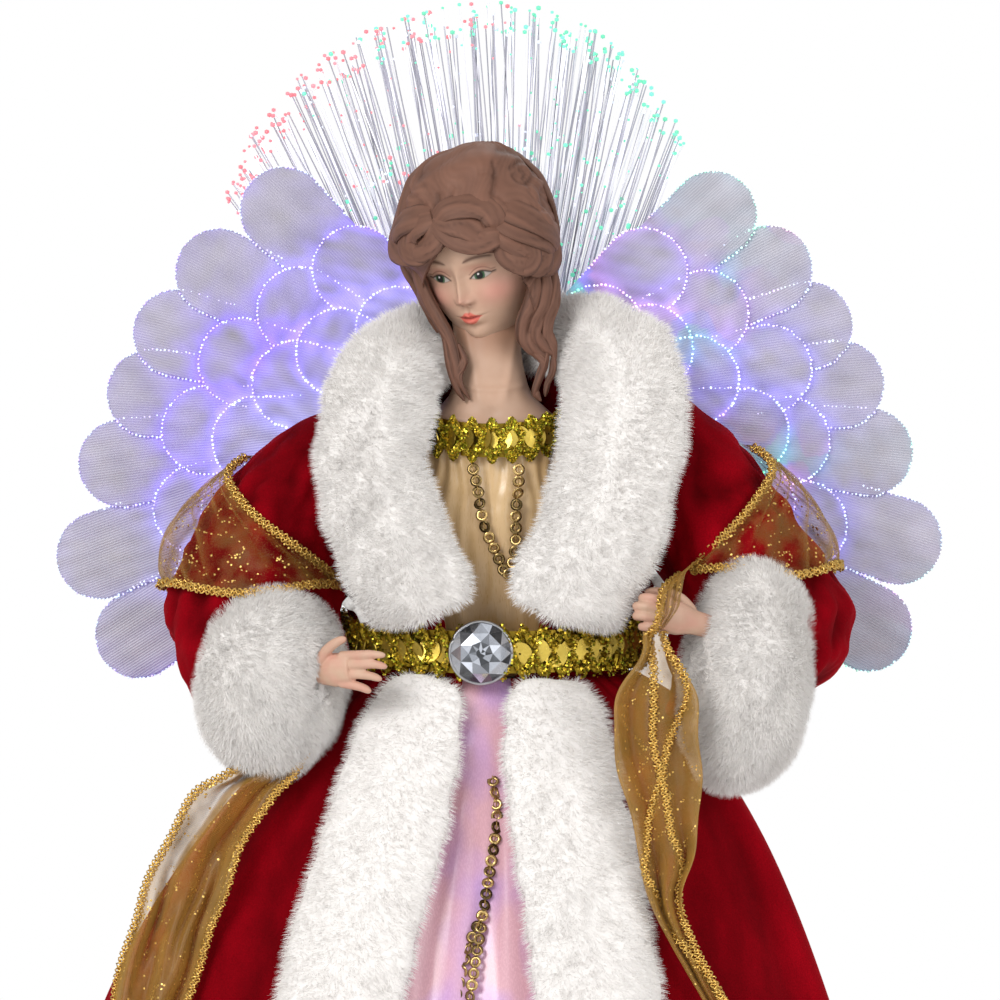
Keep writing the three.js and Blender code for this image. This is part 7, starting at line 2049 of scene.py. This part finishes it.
@dataclass
class Stone:
    """The round faceted stone on the belt."""

    place: tuple[float, float, float] = (-3.3, -32.3, 211.8)
    radius: float = 9.0
    depth: float = 5.6

    def ring(self, count: int, radius: float, depth: float, shift: float) -> Array:
        """Points round the stone's axis at a distance in front of its back."""
        turn = (np.arange(count) + shift) * TAU / count
        x, z = radius * self.radius * np.cos(turn), radius * self.radius * np.sin(turn)
        return xyz(x, -depth * self.depth, z)

    def build(self) -> None:
        """Makes the stone of separate flat facets with their own painted reflections in grey, and its claw
        ring.
        """
        back = self.ring(16, 0.94, 0, 0)
        girdle, low = self.ring(16, 1, 0.35, 0), self.ring(16, 1, 0.18, 0)
        crown, table = self.ring(8, 0.72, 0.78, 0.5), self.ring(8, 0.4, 1.0, 0)
        heart, centre = self.ring(8, 0.16, 0.93, 0.5), np.array([[0, -0.93 * self.depth, 0]])
        triangles = []

        def fan(*rings: Array) -> None:
            """Adds one triangle for each row of three rings."""
            triangles.append(np.stack(rings, 1))

        def after(ring: Array) -> Array:
            """The ring's points, each replaced by the next."""
            return np.roll(ring, -1, 0)

        for outer, inner in ((back, low), (low, girdle)):
            fan(outer, after(outer), inner)
            fan(after(outer), after(inner), inner)
        even, odd, following = girdle[0::2], girdle[1::2], np.roll(girdle, -2, 0)[0::2]
        fan(even, odd, crown)
        fan(odd, following, crown)
        fan(following, after(crown), crown)
        fan(crown, after(table), table)
        fan(crown, after(crown), after(table))
        fan(table, after(table), heart)
        fan(after(table), after(heart), heart)
        fan(heart, after(heart), np.repeat(centre, 8, 0))
        fan(back, np.zeros((16, 3)), after(back))
        corners = np.concatenate(triangles)
        rng = np.random.default_rng(12)
        # Painted reflections: each facet gets a grey from near black to near white.
        grey = rng.choice([0.06, 0.16, 0.35, 0.6, 0.9], len(corners), p=[0.25, 0.2, 0.2, 0.15, 0.2])
        tint = np.repeat(grey[:, None] * [0.92, 0.97, 1.08], 3, axis=0)
        faces = np.arange(len(corners) * 3).reshape(-1, 3)
        shape = Shape(corners.reshape(-1, 3) + np.array(self.place), [faces], {"tint": tint})
        make("belt_stone", shape.outward(), STONE, "figure", ["belt_jewel"], smooth=False)
        turn = np.linspace(0, TAU, 65)
        x, z = (self.radius + 0.2) * np.cos(turn), (self.radius + 0.2) * np.sin(turn)
        hoop = xyz(x, -0.7, z) + np.array(self.place)
        make("belt_stone_rim", tubes(hoop[None], 0.55, 8), STEEL, "figure", ["belt_jewel"])


@dataclass
class Strings:
    """Strings of ring sequins sewn down the bodice and the satin skirt."""

    skirts: Skirts
    ring: float = 1.85
    pitch: float = 3.5
    bodice_reach: float = 31.0
    bodice_height: float = 65.5
    bodice_front: float = -21.9

    # Each string's way, in shares of the bodice's reach and height.
    BODICE = (
        ((-0.2, 0.98), (-0.12, 0.8), (0, 0.62), (0.14, 0.44)),
        ((0.24, 0.98), (0.25, 0.8), (0.22, 0.62), (0.14, 0.44)),
    )
    # Each string's way, as a turn in degrees and a share of the way down.
    SKIRT = (
        ((0, 0.14), (1.2, 0.2), (-0.4, 0.27), (-2, 0.36), (-3.4, 0.46), (-5, 0.6), (-5.4, 0.8), (-5, 0.97)),
        ((-1.4, 0.335), (-3.6, 0.38), (-5.6, 0.46), (-7.4, 0.56), (-8.2, 0.75), (-8.4, 0.95)),
    )

    def strung(self, line: Array, out: Array, seed: int, name: str, node: str) -> None:
        """Rings at an even pitch on a path, over their thread.

        Args:
            line: The path, finely sampled.
            out: The directions off the cloth.
            seed: Chooses the tilts and tints.
            name: The pieces' name.
            node: The CAD node they stand for.
        """
        travel = travelled(line)
        count = int(travel[-1] / self.pitch)
        spots = (np.arange(count) + 0.5) * self.pitch
        places, facing = read_off(spots, travel, line), read_off(spots, travel, out)
        rng = np.random.default_rng(seed)
        frames = bases(facing + 0.26 * rng.normal(size=(count, 3)), rng.uniform(0, TAU, count))
        # Painted glints: the rings' tints are brightened or darkened at random, as lit and shaded copies of
        # one film.
        bright = rng.choice([0.3, 0.8, 1.4, 1.9], count, p=[0.2, 0.25, 0.3, 0.25])[:, None]
        tint = np.array([0.36, 0.25, 0.1]) * bright
        rings = scatter(washer(0.42, 1.0, 0.12, 18), places + facing * 0.5, frames, self.ring, tint=tint)
        make(name, rings, RINGS, "figure", [node])
        loop = line + out * (0.35 + 0.3 * np.sin(travel * TAU / self.pitch))[:, None]
        make(f"{name}_thread", tubes(loop[None], 0.16, 6), THREAD, "figure", [node])

    def build(self) -> None:
        """Makes the two bodice strings and the two skirt strings."""
        for index, route in enumerate(self.BODICE):
            x, z = through(route, 160).T
            sag = 0.5 * np.sin(np.linspace(0, 9, 160) + index)
            height = WAIST_HEIGHT + self.bodice_height * z
            path = xyz(self.bodice_reach * x + sag, self.bodice_front, height)
            out = np.tile([0, -1.0, 0], (160, 1))
            self.strung(path, out, 31 + index, f"bodice_string_{index + 1}", "bodice_sequins")
        for index, route in enumerate(self.SKIRT):
            degrees, down = through(route, 400).T
            turn = np.radians(degrees)
            path = self.skirts.satin_at(turn, down, 0.5)
            beside = self.skirts.satin_at(turn + 0.02, down, 0.5)
            below = self.skirts.satin_at(turn, down + 0.01, 0.5)
            out = unit(np.cross(below - path, beside - path))
            self.strung(path, out, 35 + index, f"skirt_string_{index + 1}", "skirt_sequins")


# Wings and halo

VIOLET = np.array([0.32, 0.18, 1.0])
ICE = np.array([0.62, 0.72, 1.0])
GREEN = np.array([0.12, 0.95, 0.5])
PINK = np.array([1.0, 0.42, 0.66])


@dataclass
class Wings:
    """Three layers of round-tipped feathers a side, of woven clear fibre, with lit points round each."""

    root: float = 281.5
    reach: float = 142.0
    half_width: float = 13.3
    root_half_width: float = 7.0
    inner: float = 5.0
    fronts: tuple[float, float, float] = (33.65, 34.8, 35.95)
    names: tuple[str, str, str] = ("inner", "middle", "outer")

    # Each feather's angle above level in degrees, and its share of the wing's reach.
    FEATHERS = {
        -1: [
            [(40.9, 0.354), (20.9, 0.44), (7.5, 0.515), (-7.3, 0.6), (-22, 0.66)],
            [(46, 0.51), (27.5, 0.553), (11, 0.635), (-4, 0.705), (-18.5, 0.755), (-32, 0.78)],
            [(43.8, 0.708), (26.8, 0.745), (13.8, 0.785), (2.9, 0.822), (-8.1, 0.89), (-20.3, 0.984),
             (-32.4, 0.985)],
        ],
        1: [
            [(37.6, 0.38), (21.5, 0.453), (8.5, 0.531), (-4.9, 0.634), (-20, 0.68)],
            [(42.5, 0.53), (24.4, 0.59), (8.6, 0.687), (-5.9, 0.723), (-20.3, 0.8), (-33, 0.8)],
            [(41.5, 0.722), (27, 0.755), (15, 0.792), (4.3, 0.838), (-6.3, 0.902), (-17.8, 1.003),
             (-30, 1.02)],
        ],
    }

    def tone(self, points: Array, side: Side) -> Array:
        """The light's colour by place: violet and ice on the left; green, pink and violet on the right."""
        drift = rumple(points * [1, 0, 1], 60.0, 4 + side.value)[..., None]
        if side is Side.LEFT:
            share = np.clip(0.3 + 0.6 * drift, 0, 1)
            return VIOLET * (1 - share * 0.6) + ICE * share * 0.6
        away = ease(45, 115, np.abs(points[..., :1]))
        patch = rumple(points * [1, 0, 1], 24.0, 9)[..., None]
        blue = VIOLET * 0.7 + ICE * 0.3
        mixed = np.where(patch + 0.75 * away > 0.35, GREEN, np.where(patch < -0.25, PINK, blue))
        share = np.clip(0.35 + 0.8 * drift, 0, 1)
        return mixed * (1 - share) + blue * share

    def lit(self, points: Array, rims: Sequence[Array]) -> Array:
        """The light on the cloth: strength * exp(-distance / 3.4) from each layer's nearest point."""
        total = np.zeros(points.shape[:2])
        for strength, rim in zip((1.25, 0.9, 0.2), rims):
            apart = points.reshape(-1, 1, 3)[..., [0, 2]] - rim[None, :, [0, 2]]
            near = np.sqrt((apart**2).sum(-1).min(1)).reshape(points.shape[:2])
            total = total + strength * np.exp(-near / 3.4)
        return total

    def feather(
        self, side: Side, layer: int, angle: float, share: float, order: int, rims: Sequence[Array] = ()
    ) -> tuple[Shape, Array]:
        """One feather and the places of its lit points.

        Args:
            side: Which wing.
            layer: 0 for the inner, 2 for the outer layer.
            angle: Its angle above level, in degrees.
            share: Its reach as a share of the wing's.
            order: Its place in the layer, for the order in which feathers overlap.
            rims: The lit points of each layer, from the inner one to its own.

        Returns:
            The feather's closed shape, and points round its tip.
        """
        reach = self.reach * share
        bend = reach - self.half_width
        lift = math.radians(angle)
        ends = np.linspace(0, math.pi / 2 * 0.985, 25)
        tip = bend + self.half_width * np.sin(ends)
        lengths = np.concatenate([np.linspace(self.inner, bend, 34)[:-1], tip])
        widening = ([0, bend], [self.root_half_width, self.half_width])
        past = np.clip((lengths - bend) / self.half_width, 0, 1)
        rounded = self.half_width * np.cos(np.arcsin(past))
        halves = np.where(lengths < bend, np.interp(lengths, *widening), rounded)

        def placed(length: Array, offset: Array) -> Array:
            """Feather coordinates to the frame, with a shingled tilt and a slight forward curl."""
            tilt = 0.3 * offset / self.half_width
            curl = 2.2 * (length / self.reach) ** 2
            x = side.value * (length * math.cos(lift) - offset * math.sin(lift))
            z = self.root + length * math.sin(lift) + offset * math.cos(lift)
            y = self.fronts[layer] + 0.42 + tilt - curl + 0.1 * np.cos(offset * 1.1)
            return xyz(x, y, z)

        offset = halves[:, None] * np.linspace(-1, 1, 25)
        length = np.broadcast_to(lengths[:, None], offset.shape)
        points = placed(length, offset)
        near = self.lit(points, rims)
        inside = np.exp(-length / 60) * (0.5, 0.38, 0.15)[layer]
        color, strength = self.tone(points, side), 0.9
        if side is Side.RIGHT:
            color, strength = 0.45 * color + np.array([0.22, 0.2, 0.55]), 0.6
        spots = rumple(points, 7.0, order)[..., None] * 0.3 + 0.8
        glow = color**1.4 * (near * strength + inside + 0.03)[..., None] * spots
        grey = np.array([0.46, 0.44, 0.49]) * (1 - 0.08 * rumple(points, 11.0, 2)[..., None])
        grey = grey * (1 - 0.5 * np.clip(near, 0, 1)[..., None])
        shape = slab(points, -0.24 * side.value, tint=grey, glow=glow, cloth=xyz(length, offset, 0.0))
        turn = np.linspace(-math.pi / 2, math.pi / 2, 36)
        tips = np.stack([bend + self.half_width * np.cos(turn), self.half_width * np.sin(turn)])
        start = np.linspace(bend - 15, bend, 13)[:-1]
        low = np.stack([start, -np.interp(start, *widening)])
        high = low * [[1], [-1]]
        rimmed = np.concatenate([low, tips, high[:, ::-1]], 1)
        return shape, placed(rimmed[0], rimmed[1]) - [0, 0.25, 0]

    def build(self) -> None:
        """Makes each layer's cloth and its lit points."""
        for side in Side:
            rims: list[Array] = []
            for layer, feathers in enumerate(self.FEATHERS[side.value]):
                rims.append(np.concatenate([self.feather(side, layer, *row, 0)[1] for row in feathers]))
                made = [self.feather(side, layer, *row, i, rims) for i, row in enumerate(feathers)]
                node = f"{side.label}_wing_{self.names[layer]}_feathers"
                make(f"{node}_cloth", gathered([m[0] for m in made]), FEATHER, "figure", [node])
                places = np.concatenate([m[1] for m in made])
                rng = np.random.default_rng(layer + 10 * side.value + 20)
                places = places + rng.normal(0, 0.12, places.shape) * [1, 0.3, 1]
                color = self.tone(places, side)
                white = rng.random((len(places), 1)) < (0.35, 0.45, 0.6)[layer]
                color = np.where(white, 0.4 * color + np.array([0.36, 0.56, 0.62]), color)
                power = rng.uniform(0.35, 1.2, (len(places), 1)) * (1.5, 1.2, 0.8)[layer]
                size = rng.uniform(0.26, 0.46, len(places))
                frames = np.broadcast_to(np.eye(3), (len(places), 3, 3))
                beads = scatter(bead(), places, frames, size, tint=0 * color + 0.7, glow=color * power)
                make(f"{node}_points", beads, POINT, "figure", [node])


@dataclass
class Halo:
    """The fan of loose clear fibres behind the head, each lit at its tip."""

    bar_top: float = 266.0
    bar_half: float = 19.0
    bar_height: float = 8.0
    bar_front: float = 40.6
    bar_depth: float = 8.9
    front: float = 43.6
    layers: int = 4
    gap: float = 1.5
    spread: float = 2.4
    left: float = 46.0
    right: float = 31.0
    reach: float = 139.0
    droop: float = 26.0
    count: int = 620

    def build(self) -> None:
        """Makes the bar, the fibres and their tips."""
        rng = np.random.default_rng(8)
        index = np.arange(self.count)
        share = (index + 0.5) / self.count
        bundle = 0.9 * rumple(xyz(share * 300, 0.0, 0.0), 9.0, 7)
        degrees = -self.left + (self.left + self.right) * share + bundle + rng.normal(0, 0.25, self.count)
        edge = degrees / np.where(degrees < 0, self.left, self.right)
        reach = self.reach - self.droop * edge**2
        chance = rng.random(self.count)
        reach = reach * np.where(chance < 0.6, 1 - chance / 8, 1.18 - chance * 0.72)
        layer = index % self.layers
        root_y = self.front + self.gap * (layer + 0.5)
        root_x = (-0.94 + 1.88 * share) * self.bar_half
        angle = np.radians(degrees)
        tip_y = root_y + self.spread * layer * 0.9
        tip = xyz(np.sin(angle) * reach, tip_y, self.bar_top + np.cos(angle) * reach)
        root = xyz(root_x, root_y, self.bar_top - 1.5)
        t = np.linspace(0, 1, 9)[None, :, None]
        bow = rng.normal(0, 1.1, (self.count, 1, 1)) * np.sin(math.pi * t) * [1, 0, 0]
        paths = root[:, None] * (1 - t) + tip[:, None] * t + bow
        shade = rng.uniform(0.7, 1.2, (self.count, 1, 1))
        lit = rng.random((self.count, 1, 1)) < 0.5
        tint = np.where(lit, [0.85, 0.85, 0.88], [0.46, 0.45, 0.53]) * shade * np.ones_like(t)
        glow = np.where(lit, [0.4, 0.4, 0.44], [0.03, 0.035, 0.04]) * (0.4 + 0.6 * t) * shade
        fibres = tubes(paths, 0.2, 5, tint=tint, glow=glow)
        x = np.linspace(-self.bar_half, self.bar_half, 24)
        z = np.linspace(self.bar_top - self.bar_height, self.bar_top, 8)[:, None]
        face = xyz(x, self.bar_front, z)
        pale = np.broadcast_to([0.7, 0.69, 0.72], face.shape)
        faint = np.broadcast_to([0.02, 0.02, 0.03], face.shape)
        bar = slab(face, -self.bar_depth, tint=pale, glow=faint)
        make("halo_fibres", gathered([fibres, bar]), FIBRE, "figure", ["fibre_halo"])
        side = (tip[:, :1] + 10) / 60
        warm = rng.random((self.count, 1))
        red, green = np.array([0.95, 0.22, 0.26]), np.array([0.16, 0.72, 0.46])
        color = np.where(warm + 0.75 * side < 0.32, red, green)
        color = np.where(rng.random((self.count, 1)) < 0.22, np.array([0.75, 0.8, 0.95]), color)
        power = rng.uniform(0.3, 0.75, (self.count, 1))
        size = rng.uniform(0.45, 0.85, self.count)
        frames = np.broadcast_to(np.eye(3), (self.count, 3, 3))
        tips = scatter(bead(), tip, frames, size, tint=color * 0.7, glow=color * power)
        more = rng.random(self.count) < 0.55
        way = rng.uniform(0.72, 0.97, self.count)[:, None]
        nicks = (root * (1 - way) + tip * way)[more]
        sizes = rng.uniform(0.3, 0.5, more.sum())
        marks = {"tint": color[more] * 0.7, "glow": (color * power)[more]}
        small = scatter(bead(), nicks, frames[more], sizes, **marks)
        make("halo_tips", gathered([tips, small]), POINT, "figure", ["fibre_halo"])


# Camera, light and stage


@dataclass
class Studio:
    """A plain white studio: floor, soft lamps, world and the camera of the photograph."""

    target: tuple[float, float, float] = (2.4, 0.0, 255.9)
    elevation: float = 2.5
    distance: float = 4.0
    frame_width: float = 0.3
    sensor: float = 36.0
    chest: float = 0.25
    floor_reach: float = 1200.0

    def camera(self) -> None:
        """A long lens in front of the angel, looking along +Y and a little down."""
        data = bpy.data.cameras.new("camera")
        data.sensor_width = self.sensor
        data.lens = self.sensor * self.distance / self.frame_width
        data.clip_end = 100
        camera = bpy.data.objects.new("camera", data)
        angle = math.radians(self.elevation)
        x, y, z = (v * MM for v in self.target)
        camera.location = (x, y - self.distance * math.cos(angle), z + self.distance * math.sin(angle))
        camera.rotation_euler = (math.pi / 2 - angle, 0, 0)
        bpy.context.scene.collection.objects.link(camera)
        bpy.context.scene.camera = camera

    def lamp(self, name: str, place: Color, size: float, power: float) -> None:
        """A square soft lamp that faces the angel's chest."""
        data = bpy.data.lights.new(name, "AREA")
        data.size = size
        data.energy = power
        lamp = bpy.data.objects.new(name, data)
        lamp.location = place
        way = unit(np.array([0, 0, self.chest]) - np.array(place))
        lamp.rotation_euler = (math.acos(-way[2]), 0, math.atan2(way[1], way[0]) - math.pi / 2)
        bpy.context.scene.collection.objects.link(lamp)

    def world(self) -> None:
        """Even light, and plain white wherever the camera or a clear piece looks."""
        world = bpy.data.worlds.new("studio")
        world.use_nodes = True
        tree = world.node_tree
        tree.nodes.clear()
        path = tree.nodes.new("ShaderNodeLightPath")
        seen = tree.nodes.new("ShaderNodeMath")
        seen.operation = "MAXIMUM"
        even, white = (tree.nodes.new("ShaderNodeBackground") for _ in range(2))
        for light, strength in ((even, 0.58), (white, 1.0)):
            light.inputs[0].default_value = (1, 1, 1, 1)
            light.inputs[1].default_value = strength
        mixed, out = tree.nodes.new("ShaderNodeMixShader"), tree.nodes.new("ShaderNodeOutputWorld")
        for index, ray in enumerate(("Is Camera Ray", "Is Transmission Ray")):
            tree.links.new(path.outputs[ray], seen.inputs[index])
        for index, source in enumerate((seen, even, white)):
            tree.links.new(source.outputs[0], mixed.inputs[index])
        tree.links.new(mixed.outputs[0], out.inputs[0])
        bpy.context.scene.world = world

    def floor(self) -> None:
        """A wide pale floor under the base, which shades off to the white behind it."""
        graph = Graph("floor", Roughness=0.9, Specular_IOR_Level=0.1)
        cloud = graph.noise(400.0, 2)
        graph.lay(Base_Color=graph.blend(cloud * 0.1, (0.9, 0.9, 0.9), (0.86, 0.86, 0.86)))
        seen = graph.node("ShaderNodeLightPath").outputs["Is Camera Ray"]
        light = graph.node("ShaderNodeEmission", None, {"Color": (1, 1, 1), "Strength": 0.32})
        plus = graph.node("ShaderNodeAddShader", None, {0: graph.shader.outputs[0], 1: light.outputs[0]})
        away = graph.node("ShaderNodeVectorMath", {"operation": "LENGTH"}, {0: graph.place()})
        far = Value(graph, away.outputs["Value"]).band(150.0, 420.0)
        white = graph.node("ShaderNodeEmission", None, {"Color": (1, 1, 1), "Strength": 1.0})
        faded = graph.node("ShaderNodeMixShader", None, {0: far, 1: plus.outputs[0], 2: white.outputs[0]})
        plain = graph.shader.outputs[0]
        mixed = graph.node("ShaderNodeMixShader", None, {0: seen, 1: plain, 2: faded.outputs[0]})
        out = next(node for node in graph.tree.nodes if node.bl_idname == "ShaderNodeOutputMaterial")
        graph.feed(out.inputs["Surface"], mixed.outputs[0])
        reach = np.linspace(-self.floor_reach, self.floor_reach, 9)
        flat = grid(xyz(reach, reach[:, None], -0.2))
        floor = bpy.data.objects.new("floor", mesh_of("floor", flat))
        floor.data.materials.append(graph.material)
        bpy.context.scene.collection.objects.link(floor)

    def build(self) -> None:
        """Makes the studio."""
        bpy.context.scene.view_settings.view_transform = "Standard"
        self.camera()
        self.world()
        self.floor()
        self.lamp("key", (-1.3, -2.0, 1.5), 1.2, 42)
        self.lamp("fill", (1.7, -1.8, 0.8), 1.6, 18)
        self.lamp("rim", (0.4, 2.2, 1.7), 1.2, 22)


# Base and inside


@dataclass
class Inside:
    """The pieces whose CAD solids stay: base, clamp, trunks, cone and core."""

    finishes: tuple[tuple[Finish, tuple[str, ...]], ...] = (
        (HOUSING, ("base_housing", "base_lid", "battery_cover")),
        (CLAMP, ("wing_bracket", "wing_clamp_plate")),
        (DARK, ("switch_body", "switch_knob")),
        (BOARD, ("circuit_board",)),
        (SLEEVED, ("battery_cell_1", "battery_cell_2", "battery_cell_3")),
        (LAMP, ("left_wing_lamp", "halo_lamp", "right_wing_lamp")),
        (TRUNK, ("left_wing_trunk", "halo_trunk", "right_wing_trunk")),
        (STEEL, ("front_contact_strip", "rear_contact_strip", "lower_clamp_screw", "upper_clamp_screw")),
        (STEEL, ("left_arm_wire", "right_arm_wire")),
        (CARD, ("support_cone",)),
        (FOAM, ("waist_block", "torso_core")),
    )

    def build(self) -> None:
        """Dresses the nodes."""
        for finish, nodes in self.finishes:
            dress(finish, *nodes)


def main() -> None:
    """Builds the studio and every sub-assembly in order."""
    logging.basicConfig(level=logging.INFO, format="%(name)s: %(message)s")
    Studio().build()
    Inside().build()
    skirts = Skirts()
    skirts.build()
    Trims(skirts).build()
    Collar().build()
    Bodices().build()
    for side in Side:
        Arm(side).build()
    Head().build()
    Braid("waist_braid", 43.8, 30.3, 0.0, 211.8, 15.0, 5.0, math.pi, 3.7, 9500, 3).build()
    Braid("neckline_braid", 21.0, 17.0, 4.0, 274.6, 12.0, 9.0, 1.35, 3.4, 6500, 5).build()
    Stone().build()
    Strings(skirts).build()
    Wings().build()
    Halo().build()
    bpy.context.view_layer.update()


if __name__ == "__main__":
    main()
